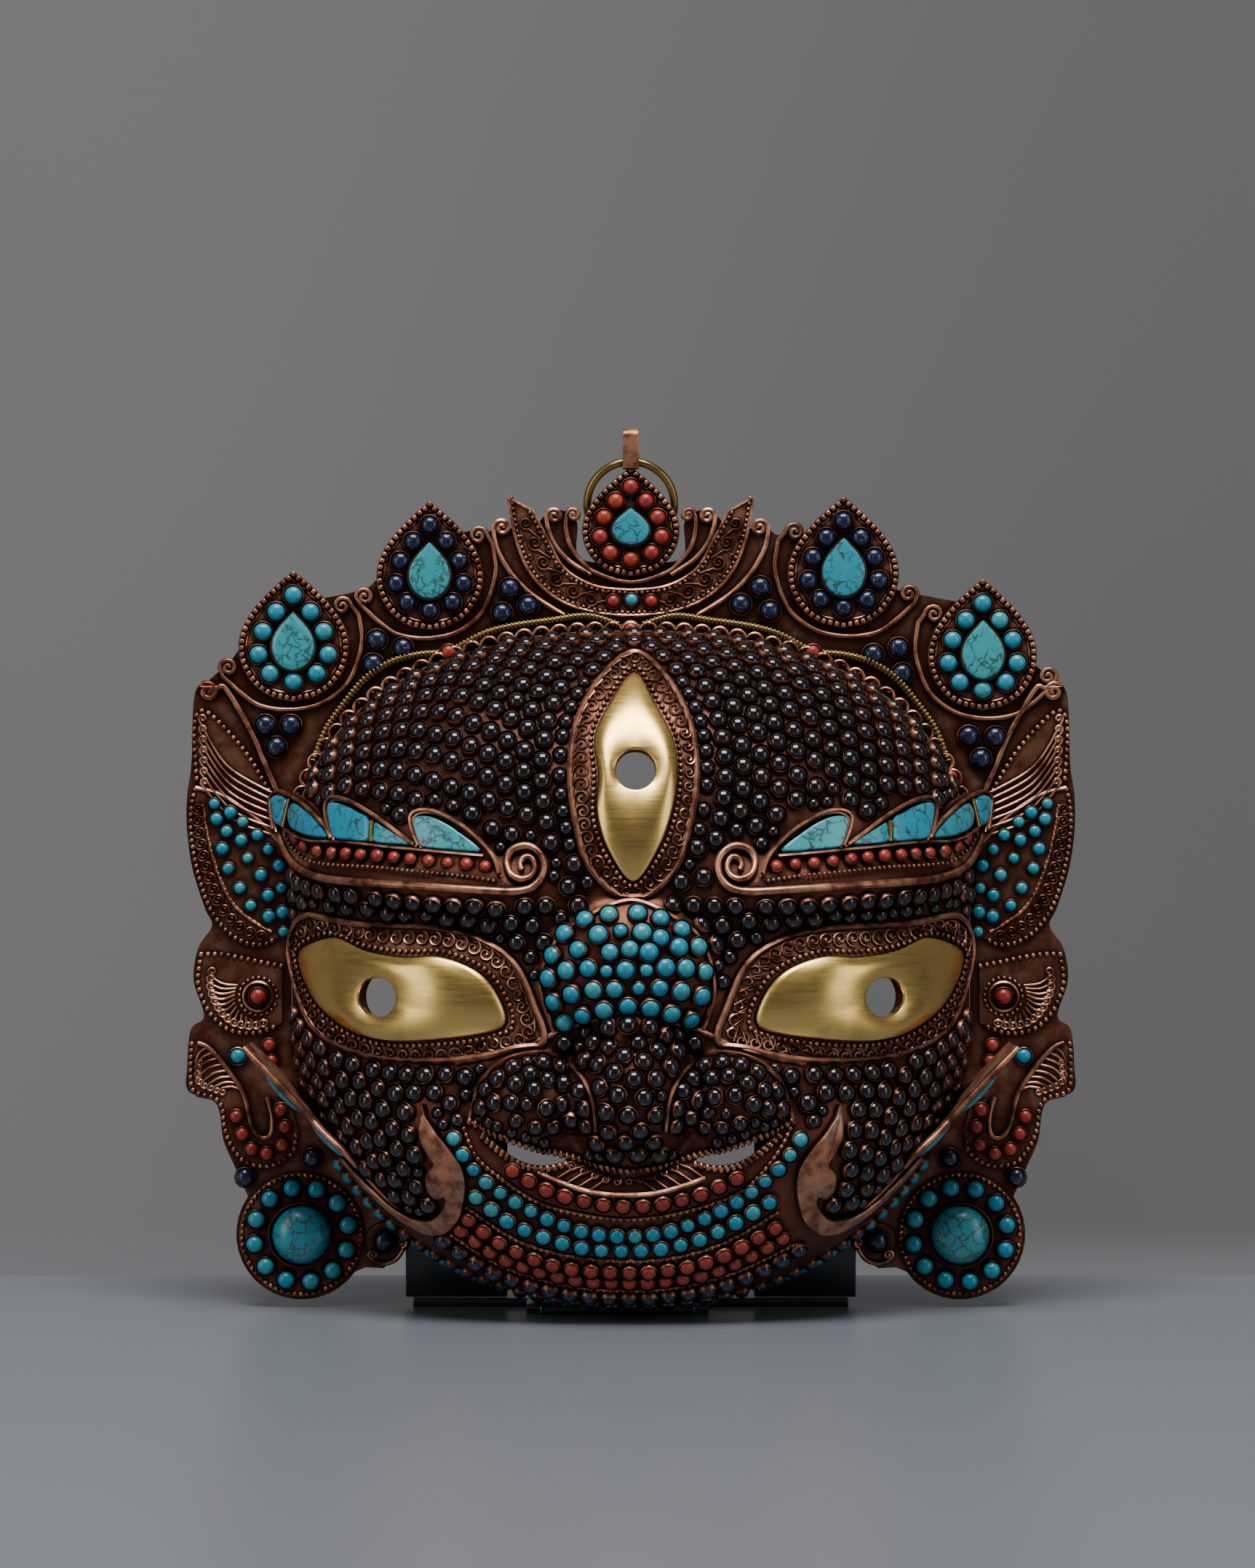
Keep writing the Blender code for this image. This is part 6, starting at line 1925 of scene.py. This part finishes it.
LEAF_STONES = ((114.4, 138.6), (110.0, 136.2), (113.8, 134.4), (106.6, 133.6), (111.0, 131.0), (102.6, 130.0),
               (107.0, 128.6), (112.2, 126.2), (99.6, 126.0), (105.2, 123.6), (96.6, 121.6), (110.6, 120.8),
               (101.6, 119.0), (96.0, 115.4), (107.4, 115.4), (99.6, 113.4), (104.4, 110.6), (95.6, 108.8),
               (99.4, 107.6), (95.4, 103.4))
EAR_OUTER = ((118.0, 97.0), (118.9, 90.2), (117.8, 85.4), (115.4, 80.8), (111.6, 77.2), (107.8, 75.8),
             (103.4, 75.6), (98.2, 77.2))
EAR_TOP = ((118.0, 97.2), (111.6, 97.0), (102.4, 95.2), (96.0, 94.0))
EAR_STUD = (102.4, 85.6)
HOOK_OUTER = ((120.6, 72.6), (120.9, 66.8), (120.6, 60.6), (118.6, 58.8), (114.4, 57.8), (112.2, 54.8),
              (111.6, 49.8), (110.0, 45.2), (107.2, 41.2), (104.8, 39.6), (100.6, 39.0), (96.4, 40.0),
              (93.0, 43.0), (92.0, 47.4))
HOOK_TOP = ((119.0, 72.8), (116.4, 71.8), (113.0, 68.4), (109.4, 63.6), (107.0, 60.0), (105.6, 56.2),
            (104.8, 52.2), (103.4, 48.4), (101.0, 46.6), (98.8, 48.0), (98.6, 53.0), (100.0, 58.0))
HOOK_SHEET = ((120.5, 73.4), (121.8, 67.0), (121.6, 60.4), (119.2, 58.0), (114.6, 57.0), (112.8, 54.6),
              (112.0, 49.8), (110.4, 45.2), (106.5, 40.2), (100.6, 38.4), (95.5, 39.6), (92.0, 43.0),
              (91.4, 48.5), (93.5, 56.0), (97.6, 57.6), (98.6, 53.0), (99.0, 48.8), (101.0, 47.2),
              (103.2, 48.8), (104.8, 53.0), (107.0, 60.0), (110.0, 65.0), (114.0, 70.4))
HOOK_CORALS = ((108.4, 52.6), (106.8, 47.8), (104.2, 43.6), (100.0, 42.4), (95.8, 44.8), (95.0, 49.8),
               (96.2, 54.4))
LOOSE_CORALS = ((99.4, 72.2), (98.8, 67.8))
ROUNDEL_AT = (90.5, 20.2)
ROUNDEL_RADIUS = 17.4 * MM
STONE_RADIUS = 8.2 * MM
SCROLL_AT = (67.6, 18.4)
SCROLL_ARC = ((72.0, 14.4), (69.8, 12.6), (67.2, 12.2), (64.4, 13.4), (62.4, 16.2))


def fan_of_curls(heads, feet, hand, reach, surface, lift):
    """Wires that spring from their feet, each ending in a curl at its head."""
    lines = []
    for head, foot in zip(heads, feet):
        along = (head - foot).normalized()
        start = math.atan2(along.y, along.x) - hand * math.pi / 2
        curl = spiral(head, reach, 1.3, start, hand, points=11)
        bow = Vector((-along.y, along.x)) * (-hand) * (head - foot).length * 0.12
        stem = smooth_line([foot, foot.lerp(curl[0], 0.5) + bow, curl[0]], steps=6)
        lines.append(lifted(surface, stem[:-1] + curl, lift))
    return lines


class MASK_OT_side_fans(bpy.types.Operator):
    """Make the filigree fans, stone-set leaves and hooks down both sides"""
    bl_idname = "mask.side_fans"
    bl_label = "Side fans"

    def execute(self, context):
        sides = ("left", "right")
        base = in_copper("side_sheets", "crown",
                         [f"{name}_{side}" for name in ("upper_fan", "leaf", "ear_fan", "hook_scroll")
                          for side in sides])
        wires = in_copper("side_wirework", "wire")
        settings = in_copper("side_bezels")
        stones = {kind: Piece("side_" + kind, FINISHES[kind], kind)
                  for kind in ("turquoise", "coral", "lapis")}
        for side in (-1, 1):
            self.upper_fan(side, base, wires)
            self.leaf(side, base, wires, settings, stones)
            self.ear_fan(side, base, wires, settings, stones)
            self.hook(side, base, wires, settings, stones)
        return finished(base, wires, settings, *stones.values())

    def upper_fan(self, side, base, wires):
        edge = side_line(UPPER_FAN, side)
        sheet_line = edge + in_metres(((96.4, 132.0), (108.0, 139.8)), side)
        base.shape(sheet(spaced(sheet_line + sheet_line[:1], 90, closed=True), on_plate, GAP, ORNAMENT_SHEET))
        beaded(wires, edge, on_plate, 1.0, 1.9, 1.1)
        outer = side_line(UPPER_WIRE, side)
        curl = spiral(Vector((side * 116.2, 169.4)) * MM, 2.6 * MM, 1.7, math.pi / 2 - side * 1.0, side, 12)
        wires.wires([lifted(on_plate, curl[::-1] + outer, 1.0 * MM)], 0.85 * MM, sides=8)
        heads = [Vector((side * (117.6 - 0.1 * i), 162.0 - 2.9 * i)) * MM for i in range(7)]
        feet = [Vector((side * (98.6 - 0.3 * i), 141.6 - 2.0 * i)) * MM for i in range(7)]
        wires.wires(fan_of_curls(heads, feet, side, 1.2 * MM, on_plate, 1.5 * MM), 0.36 * MM, sides=6)

    def leaf(self, side, base, wires, settings, stones):
        outer, inner = side_line(LEAF_OUTER, side), side_line(LEAF_INNER, side)
        top = side_line(LEAF_TOP, side)
        around = outer + in_metres(((95.0, 102.4), (94.8, 124.5)), side) + top[::-1]
        base.shape(sheet(spaced(around + around[:1], 120, closed=True), on_plate, GAP, ORNAMENT_SHEET))
        beaded(wires, outer, on_plate, 1.0, 1.75, 1.05)
        beaded(wires, inner, on_plate, 1.0, 1.6, 0.9)
        wires.wires([lifted(on_plate, at_pitch(top, 1.2 * MM), 1.2 * MM),
                     lifted(on_plate, at_pitch(inner, 1.2 * MM), 0.9 * MM)], 0.6 * MM)
        lines = []
        low, high = spaced(outer, 16), spaced(inner, 16)
        for i in range(1, 15):
            middle = low[i].lerp(high[i], 0.5)
            reach = min(1.75 * MM, (high[i] - low[i]).length * 0.36)
            along = low[i] - low[i - 1]
            start = math.atan2(along.y, along.x) + side * 1.2
            curl = spiral(middle, reach, 1.8, start, -side, points=11)
            lines.append(lifted(on_plate, [high[i - 1].lerp(low[i - 1], 0.2)] + curl, 1.5 * MM))
        wires.wires(lines, sizes().fine_wire * 1.15, sides=5)
        raised = raised_by(ORNAMENT_SHEET)
        points = in_metres(LEAF_STONES, side)
        chance = random.Random(side)
        share = [chance.uniform(0.85, 1.06) for _ in points]
        set_stones(stones["turquoise"], settings, points, 1.75 * MM, 0.35 * MM, size=share, surface=raised)

    def ear_fan(self, side, base, wires, settings, stones):
        outer, top = side_line(EAR_OUTER, side), side_line(EAR_TOP, side)
        around = outer + in_metres(((95.8, 78.4), (95.8, 93.6)), side) + top[::-1]
        base.shape(sheet(spaced(around + around[:1], 100, closed=True), on_plate, GAP, ORNAMENT_SHEET))
        for line in (outer, top):
            beaded(wires, line, on_plate, 1.0, 1.9, 1.1)
        centre = place_of(EAR_STUD, side)
        beaded(wires, ring_line(centre, 5.2 * MM, 40), on_plate, 1.0, 1.6, 0.9, closed=True)
        wires.wires([lifted(on_plate, ring_line(centre, 3.9 * MM, 28), 1.3 * MM)], 0.55 * MM, closed=True)
        raised = raised_by(ORNAMENT_SHEET)
        set_stones(stones["coral"], settings, [centre], 2.3 * MM, 0.45 * MM, surface=raised, segments=16)
        rim = spaced(outer, 15)[1:-1]
        heads = [p.lerp(centre, 0.22) for p in rim]
        feet = [centre + (p - centre).normalized() * 6.4 * MM for p in rim]
        wires.wires(fan_of_curls(heads, feet, side, 1.3 * MM, on_plate, 1.5 * MM), 0.35 * MM, sides=6)

    def hook(self, side, base, wires, settings, stones):
        sheet_line = in_metres(HOOK_SHEET, side)
        base.shape(sheet(sheet_line, on_plate, GAP, ORNAMENT_SHEET))
        outer, top = side_line(HOOK_OUTER, side), side_line(HOOK_TOP, side)
        beaded(wires, outer, on_plate, 1.0, 1.8, 1.1)
        wires.wires([lifted(on_plate, at_pitch(top, 1.0 * MM), 1.3 * MM)], 0.7 * MM, sides=8)
        feet = spaced(side_line(HOOK_TOP[1:5], side), 8)
        heads = spaced(side_line(((118.4, 67.6), (118.4, 62.4), (115.4, 60.6), (112.0, 59.4)), side), 8)
        wires.wires(fan_of_curls(heads, feet, -side, 1.1 * MM, on_plate, 1.4 * MM), 0.34 * MM, sides=6)
        raised = raised_by(ORNAMENT_SHEET)
        set_stones(stones["coral"], settings, in_metres(HOOK_CORALS, side), 1.85 * MM, 0.4 * MM,
                   surface=raised)
        set_stones(stones["coral"], settings, in_metres(LOOSE_CORALS, side), 1.8 * MM, 0.4 * MM,
                   surface=on_plate)
        set_stones(stones["turquoise"], settings, in_metres(((108.0, 69.2),), side), 2.1 * MM, 0.5 * MM,
                   surface=on_plate)
        set_stones(stones["lapis"], settings, in_metres(((106.0, 35.9), (87.6, 41.2)), side), 2.5 * MM,
                   0.5 * MM, surface=on_plate)


class MASK_OT_roundels(bpy.types.Operator):
    """Make the two roundels with their large turquoises, and the scrolls beside the chin"""
    bl_idname = "mask.roundels"
    bl_label = "Roundels"

    def execute(self, context):
        base = in_copper("roundels", "crown",
                         ("roundel_left", "roundel_right", "jaw_scroll_left", "jaw_scroll_right"))
        wires = in_copper("roundel_wirework", "wire")
        large = Piece("roundel_stones", FINISHES["pale_turquoise"], "turquoise",
                      ("roundel_stone_left", "roundel_stone_right"))
        small = Piece("roundel_turquoise", FINISHES["turquoise"], "turquoise")
        lapis = Piece("scroll_lapis", FINISHES["lapis"], "lapis")
        for side in (-1, 1):
            centre = place_of(ROUNDEL_AT, side)
            disc = ring_line(centre, ROUNDEL_RADIUS - 0.3 * MM, 64)
            base.shape(sheet(disc, on_plate, GAP, 1.2 * MM, bevel=0.3 * MM))
            beaded(wires, ring_line(centre, ROUNDEL_RADIUS - 1.1 * MM, 80), on_plate, 1.2, 1.75, 1.1,
                   closed=True)
            raised = raised_by(1.1 * MM)
            ring = ring_line(centre, 13.1 * MM, 12, start=0.2)
            set_stones(small, base, ring, 2.35 * MM, 0.5 * MM, surface=raised, segments=16)
            stone = cabochon(STONE_RADIUS, 4.6 * MM, 36, 7)
            where = standing(*on_plate(centre.x, centre.y, 2.0 * MM))
            large.stamp(stone, [where])
            base.stamp(bezel(STONE_RADIUS, 0.8 * MM, 3.2 * MM, 40),
                       [standing(*raised(centre.x, centre.y, 0.0))])
            scroll = place_of(SCROLL_AT, side)
            base.shape(sheet(ring_line(scroll, 5.0 * MM, 36), on_plate, GAP, ORNAMENT_SHEET))
            set_stones(lapis, base, [scroll], 2.9 * MM, 0.55 * MM, surface=raised, segments=20)
            arc = side_line(SCROLL_ARC, side)
            first = spiral(Vector((side * 70.6, 14.6)) * MM, 1.4 * MM, 1.2, turn_towards(side), side, 12)
            second = spiral(Vector((side * 62.8, 18.0)) * MM, 1.5 * MM, 1.3, -math.pi / 2, -side, 12)
            wires.wires([lifted(on_plate, first[::-1] + arc + second, 1.4 * MM)], 0.6 * MM, sides=8)
        return finished(base, wires, large, small, lapis)


# Back plate, hanging ring and stand

PLATE_EDGE = ((0.0, 205.0), (13.8, 206.0), (14.8, 216.0), (18.6, 219.2), (23.0, 218.4), (27.0, 214.4),
              (32.0, 214.0), (36.2, 215.8), (40.0, 212.6), (44.0, 213.6), (50.0, 212.0), (58.0, 210.0),
              (66.0, 204.6), (72.0, 198.2), (77.0, 196.6), (83.0, 195.4), (90.0, 194.0), (97.0, 191.6),
              (104.0, 186.0), (109.5, 178.6), (113.0, 175.2), (116.4, 172.2), (120.0, 168.4), (120.8, 150.0),
              (122.0, 141.0),
              (122.1, 132.0), (120.6, 121.0), (117.2, 110.0), (115.2, 105.0), (119.0, 98.8),
              (120.2, 90.0), (117.4, 80.2), (121.0, 76.4), (122.0, 66.0), (121.6, 59.5), (114.0, 56.0),
              (112.0, 46.0), (109.0, 39.0))
PLATE_CORNERS = ((73.0, 11.0), (68.0, 10.8), (61.0, 16.5))
RING_RADIUS = 12.0 * MM
RING_WIRE = 1.15 * MM
RING_TILT = 13.0
BAIL_WIDTH = 4.5 * MM
BAIL_STRAP = 0.9 * MM
BAIL_HEIGHT = 14.0 * MM


class MASK_OT_back_plate(bpy.types.Operator):
    """Make the flat plate behind the crown and sides"""
    bl_idname = "mask.back_plate"
    bl_label = "Back plate"

    def execute(self, context):
        middle = place_of(ROUNDEL_AT)
        reach = ROUNDEL_RADIUS + 0.6 * MM
        turns = [math.radians(35 - 10 * i) for i in range(19)]
        lobe = [middle + reach_out(turn, reach) for turn in turns]
        right = smooth_line(in_metres(PLATE_EDGE)) + lobe + in_metres(PLATE_CORNERS)
        opening = []
        for turn in np.radians(np.linspace(-52.5, 232.5, 220)):
            away = rim_distance(turn) + 0.3 * MM
            opening.append(Vector((away * math.cos(turn), MIDDLE_Z + away * math.sin(turn))))
        left = [Vector((-p.x, p.y)) for p in reversed(right)][:-1]
        plate = in_copper("crown_plate", "crown", ("back_plate",), 30.0)
        plate.shape(sheet(right + opening + left, on_plate, -PLATE_THICKNESS, 0.0))
        return finished(plate)


class MASK_OT_hanging(bpy.types.Operator):
    """Make the brass ring and the soldered bail it hangs in"""
    bl_idname = "mask.hanging"
    bl_label = "Hanging ring"

    def execute(self, context):
        ring = Piece("ring", FINISHES["dull_brass"], "satin_brass", ("hanging_ring",))
        bail = in_copper("bail", "tusk", ("hanging_bail",))
        tip = PETALS[2][2] * MM
        top = tip + GAP + RING_WIRE
        tilt = math.radians(RING_TILT)
        plane_y = -GAP - PETAL_SHEET / 2
        points = []
        for turn in np.linspace(0, 2 * math.pi, 64, endpoint=False):
            down = RING_RADIUS * (1 - math.cos(turn))
            points.append(Vector((RING_RADIUS * math.sin(turn), plane_y + down * math.sin(tilt),
                                  top - down * math.cos(tilt))))
        ring.wires([points], RING_WIRE, closed=True, sides=12)
        half = RING_WIRE + 0.6 * MM
        crown = top + BAIL_HEIGHT - 2 * half - 4 * BAIL_STRAP
        foot = top - RING_WIRE - BAIL_STRAP
        bm = bmesh.new()
        arch = [(math.cos(t), math.sin(t)) for t in np.linspace(0, math.pi, 17)]
        bend = half + BAIL_STRAP / 2
        middle = [(plane_y - c * bend, crown + s * bend) for c, s in arch]
        middle = [(middle[0][0], foot)] + middle + [(middle[-1][0], foot)]
        verts = [bm.verts.new((-BAIL_WIDTH / 2, y, z)) for y, z in middle]
        edges = [bm.edges.new(pair) for pair in zip(verts, verts[1:])]
        grown = bmesh.ops.extrude_edge_only(bm, edges=edges)["geom"]
        bmesh.ops.translate(bm, vec=(BAIL_WIDTH, 0, 0),
                            verts=of_kind(grown, bmesh.types.BMVert))
        thicken(bm, BAIL_STRAP)
        bmesh.ops.bevel(bm, geom=[e for e in bm.edges if e.calc_face_angle(0) > 1.0], offset=0.25 * MM,
                        segments=2, profile=0.5, affect="EDGES", material=-1)
        shift = sum((v.co.y for v in bm.verts)) / len(bm.verts) - plane_y
        bmesh.ops.translate(bm, vec=(0, -shift, 0), verts=bm.verts)
        bail.shape(bm)
        return finished(ring, bail)


STAND_SHEET = 2.4 * MM
UPRIGHT_SHEET = 3.0 * MM
UPRIGHT_INNER_X = 34.0 * MM
UPRIGHT_OUTER_X = 62.0 * MM
UPRIGHT_TOP_Z = 196.0 * MM
UPRIGHT_TOP_WIDTH = 15.0 * MM
BASE_HALF_WIDTH = 60.0 * MM
BASE_BACK = 72.0 * MM
TONGUE_MIDDLE_X = -3.6 * MM
TONGUE_HALF_WIDTH = 24.8 * MM
TONGUE_FRONT = 18.0 * MM
CHAMFER = 4.0 * MM


def slab(corners, low, high, axis):
    """A flat piece from its corners, thickened along one axis, its edges softened."""
    bm = bmesh.new()
    bm.faces.new([bm.verts.new(corner) for corner in corners])
    grown = bmesh.ops.extrude_face_region(bm, geom=bm.faces[:])["geom"]
    step = Vector((0, 0, 0))
    step[axis] = high - low
    bmesh.ops.translate(bm, vec=step, verts=of_kind(grown, bmesh.types.BMVert))
    bmesh.ops.recalc_face_normals(bm, faces=bm.faces)
    bmesh.ops.bevel(bm, geom=bm.edges[:], offset=0.35 * MM, segments=3, profile=0.5, affect="EDGES",
                    material=-1)
    return bm


class MASK_OT_stand(bpy.types.Operator):
    """Make the low black stand with its two uprights"""
    bl_idname = "mask.stand"
    bl_label = "Stand"

    def execute(self, context):
        stand = Piece("stand", FINISHES["lacquer"], "black_lacquer",
                      ("stand_base", "stand_upright_left", "stand_upright_right"), 30.0)
        rear = PLATE_THICKNESS + GAP
        left, right = TONGUE_MIDDLE_X - TONGUE_HALF_WIDTH, TONGUE_MIDDLE_X + TONGUE_HALF_WIDTH
        outline = [(left, rear), (left, CHAMFER - TONGUE_FRONT), (left + CHAMFER, -TONGUE_FRONT),
                   (right - CHAMFER, -TONGUE_FRONT), (right, CHAMFER - TONGUE_FRONT), (right, rear),
                   (BASE_HALF_WIDTH, rear), (BASE_HALF_WIDTH, BASE_BACK - CHAMFER),
                   (BASE_HALF_WIDTH - CHAMFER, BASE_BACK), (CHAMFER - BASE_HALF_WIDTH, BASE_BACK),
                   (-BASE_HALF_WIDTH, BASE_BACK - CHAMFER), (-BASE_HALF_WIDTH, rear)]
        stand.shape(slab([(x, y, 0.0) for x, y in outline], 0.0, STAND_SHEET, 2))
        foot = STAND_SHEET + GAP
        for side in (-1, 1):
            top_outer = UPRIGHT_INNER_X + UPRIGHT_TOP_WIDTH
            outline = [(side * UPRIGHT_INNER_X, foot), (side * UPRIGHT_OUTER_X, foot),
                       (side * UPRIGHT_OUTER_X, FACE_TOP_Z / 3), (side * top_outer, UPRIGHT_TOP_Z),
                       (side * UPRIGHT_INNER_X, UPRIGHT_TOP_Z)]
            stand.shape(slab([(x, rear, z) for x, z in outline], rear, rear + UPRIGHT_SHEET, 1))
        return finished(stand)


# Stage: table, backdrop, lights and camera

CAMERA_AT = (-0.0009, -1.3, 0.144)
CAMERA_LENS = 108.5
TABLE_BACK = 0.085
HORIZON_BLUR = 0.016
STAGE_HALF_WIDTH = 2.5
TABLE_FRONT = -2.2
BACKDROP_HEIGHT = 2.4
TABLE_COLOUR = (0.185, 0.200, 0.235)
TABLE_ROUGHNESS = 0.30
HORIZON_GLOW = (0.158, 0.158, 0.168)
ROOM_COLOUR = (0.55, 0.57, 0.6)
ROOM_STRENGTH = 0.14
# The backdrop's glow is painted light; its right side is darker as a painted fall-off.
BACKDROP_GLOW_LEFT = (0.154, 0.149, 0.152)
BACKDROP_GLOW_FALLOFF_RIGHT = (0.108, 0.107, 0.111)
# Each light: name, place, aim, size and power
LIGHTS = (
    ("top_softbox", (0.0, -0.62, 1.3), (0.0, -0.02, 0.12), (0.9, 0.6), 26.0),
    ("left_fill", (-1.1, -0.9, 0.45), (0.0, 0.0, 0.12), (0.5, 0.9), 3.5),
    ("right_fill", (1.1, -0.9, 0.45), (0.0, 0.0, 0.12), (0.5, 0.9), 3.0),
)


def stage_finish(name, colour, roughness):
    finish, tree, shader = new_finish(name)
    cloud = solid_noise(tree, 3.0, 3.0)
    base = mix_colours(tree, cloud, rgba(colour, 0.96), rgba(colour, 1.04))
    set_look(tree, shader, base, roughness)
    return finish


def backdrop_finish():
    """A grey that glows as painted light instead of being lit, evenly but for a painted fall-off darker to
    the right, blending into the table.
    """
    finish, tree, shader = new_finish("backdrop_glow")
    place = add_node(tree, "ShaderNodeTexCoord").outputs["Object"]
    parts = add_node(tree, "ShaderNodeSeparateXYZ", {"Vector": place})
    # Painted light: the backdrop's own glow, dimmer to the right as a painted fall-off.
    across = ramp_mask(tree, parts.outputs["X"], -0.18, 0.2)
    tone = mix_colours(tree, across, rgba(BACKDROP_GLOW_LEFT), rgba(BACKDROP_GLOW_FALLOFF_RIGHT))
    low = ramp_mask(tree, parts.outputs["Z"], 0.0, HORIZON_BLUR)
    tone = mix_colours(tree, low, rgba(HORIZON_GLOW), tone)
    tree.links.new(tone, shader.inputs["Emission Color"])
    shader.inputs["Emission Strength"].default_value = 1.0
    shader.inputs["Base Color"].default_value = (0.01, 0.01, 0.01, 1.0)
    shader.inputs["Roughness"].default_value = 0.9
    # seen from behind it lets the view through
    behind = add_node(tree, "ShaderNodeNewGeometry").outputs["Backfacing"]
    tree.links.new(math_node(tree, "SUBTRACT", 1.0, behind), shader.inputs["Alpha"])
    return finish


def stage_sheet(name, profile, finish):
    """A wide sheet whose section is a list of depths and heights."""
    bm = bmesh.new()
    y, z = profile[0]
    edges = [bm.edges.new([bm.verts.new((x, y, z)) for x in (-STAGE_HALF_WIDTH, STAGE_HALF_WIDTH)])]
    for y, z in profile[1:]:
        grown = bmesh.ops.extrude_edge_only(bm, edges=edges)["geom"]
        edges = of_kind(grown, bmesh.types.BMEdge)
        for v in edges[0].verts:
            v.co.y, v.co.z = y, z
    bmesh.ops.recalc_face_normals(bm, faces=bm.faces)
    bm.normal_update()
    bmesh.ops.reverse_faces(bm, faces=[f for f in bm.faces if f.normal.y > 0.5 or f.normal.z < -0.5])
    mesh = mesh_from(bm, name)
    mesh.materials.append(finish)
    piece = bpy.data.objects.new(name, mesh)
    bpy.context.scene.collection.objects.link(piece)


def add_light(name, place, aim, size, power):
    """A soft lamp: an oblong that faces what it is aimed at."""
    data = bpy.data.lights.new(name, "AREA")
    data.shape = "RECTANGLE"
    data.size, data.size_y = size
    data.energy = power
    light = bpy.data.objects.new(name, data)
    light.location = place
    light.rotation_euler = (Vector(aim) - Vector(place)).to_track_quat("-Z", "Y").to_euler()
    bpy.context.scene.collection.objects.link(light)


class MASK_OT_stage(bpy.types.Operator):
    """Make the table and backdrop, the soft lights and the camera"""
    bl_idname = "mask.stage"
    bl_label = "Stage"

    def execute(self, context):
        stage_sheet("table", [(TABLE_FRONT, 0.0), (TABLE_BACK, 0.0)],
                    stage_finish("table_grey", TABLE_COLOUR, TABLE_ROUGHNESS))
        stage_sheet("backdrop", [(TABLE_BACK, 0.0), (TABLE_BACK, BACKDROP_HEIGHT)], backdrop_finish())
        world = bpy.data.worlds.new("studio")
        bpy.context.scene.world = world
        world.use_nodes = True
        sky = world.node_tree.nodes["Background"]
        sky.inputs["Color"].default_value = rgba(ROOM_COLOUR)
        sky.inputs["Strength"].default_value = ROOM_STRENGTH
        for light in LIGHTS:
            add_light(*light)
        data = bpy.data.cameras.new("camera")
        data.lens = CAMERA_LENS
        data.sensor_fit = "VERTICAL"
        data.sensor_height = 36.0
        camera = bpy.data.objects.new("camera", data)
        camera.location = CAMERA_AT
        camera.rotation_euler = (math.pi / 2, 0.0, 0.0)
        bpy.context.scene.collection.objects.link(camera)
        context.scene.camera = camera
        return {"FINISHED"}


OPERATORS = (MASK_OT_face, MASK_OT_eyes, MASK_OT_brows, MASK_OT_nose, MASK_OT_mouth, MASK_OT_whiskers,
             MASK_OT_garnets, MASK_OT_petals, MASK_OT_crescent, MASK_OT_arcs, MASK_OT_side_fans,
             MASK_OT_roundels, MASK_OT_back_plate, MASK_OT_hanging, MASK_OT_stand, MASK_OT_stage)


class MASK_PT_panel(bpy.types.Panel):
    """Lists the mask's pieces, sizes and colours"""
    bl_label = "Ritual mask"
    bl_idname = "MASK_PT_panel"
    bl_space_type = "VIEW_3D"
    bl_region_type = "UI"
    bl_category = "Mask"

    def draw(self, context):
        layout = self.layout
        for operator in OPERATORS:
            layout.operator(operator.bl_idname)
        for group in (context.scene.ritual_mask_sizes, context.scene.ritual_mask_colours):
            box = layout.box()
            for label in group.__annotations__:
                box.prop(group, label)


CLASSES = (MaskSizes, MaskColours, *OPERATORS, MASK_PT_panel)


def register():
    for item in CLASSES:
        bpy.utils.register_class(item)
    bpy.types.Scene.ritual_mask_sizes = bpy.props.PointerProperty(type=MaskSizes)
    bpy.types.Scene.ritual_mask_colours = bpy.props.PointerProperty(type=MaskColours)


def unregister():
    del bpy.types.Scene.ritual_mask_colours
    del bpy.types.Scene.ritual_mask_sizes
    for item in reversed(CLASSES):
        bpy.utils.unregister_class(item)


def main():
    register()
    build_finishes()
    for operator in OPERATORS:
        group, name = operator.bl_idname.split(".")
        if getattr(getattr(bpy.ops, group), name)() != {"FINISHED"}:
            raise RuntimeError(operator.bl_label + " did not finish")


if __name__ == "__main__":
    main()
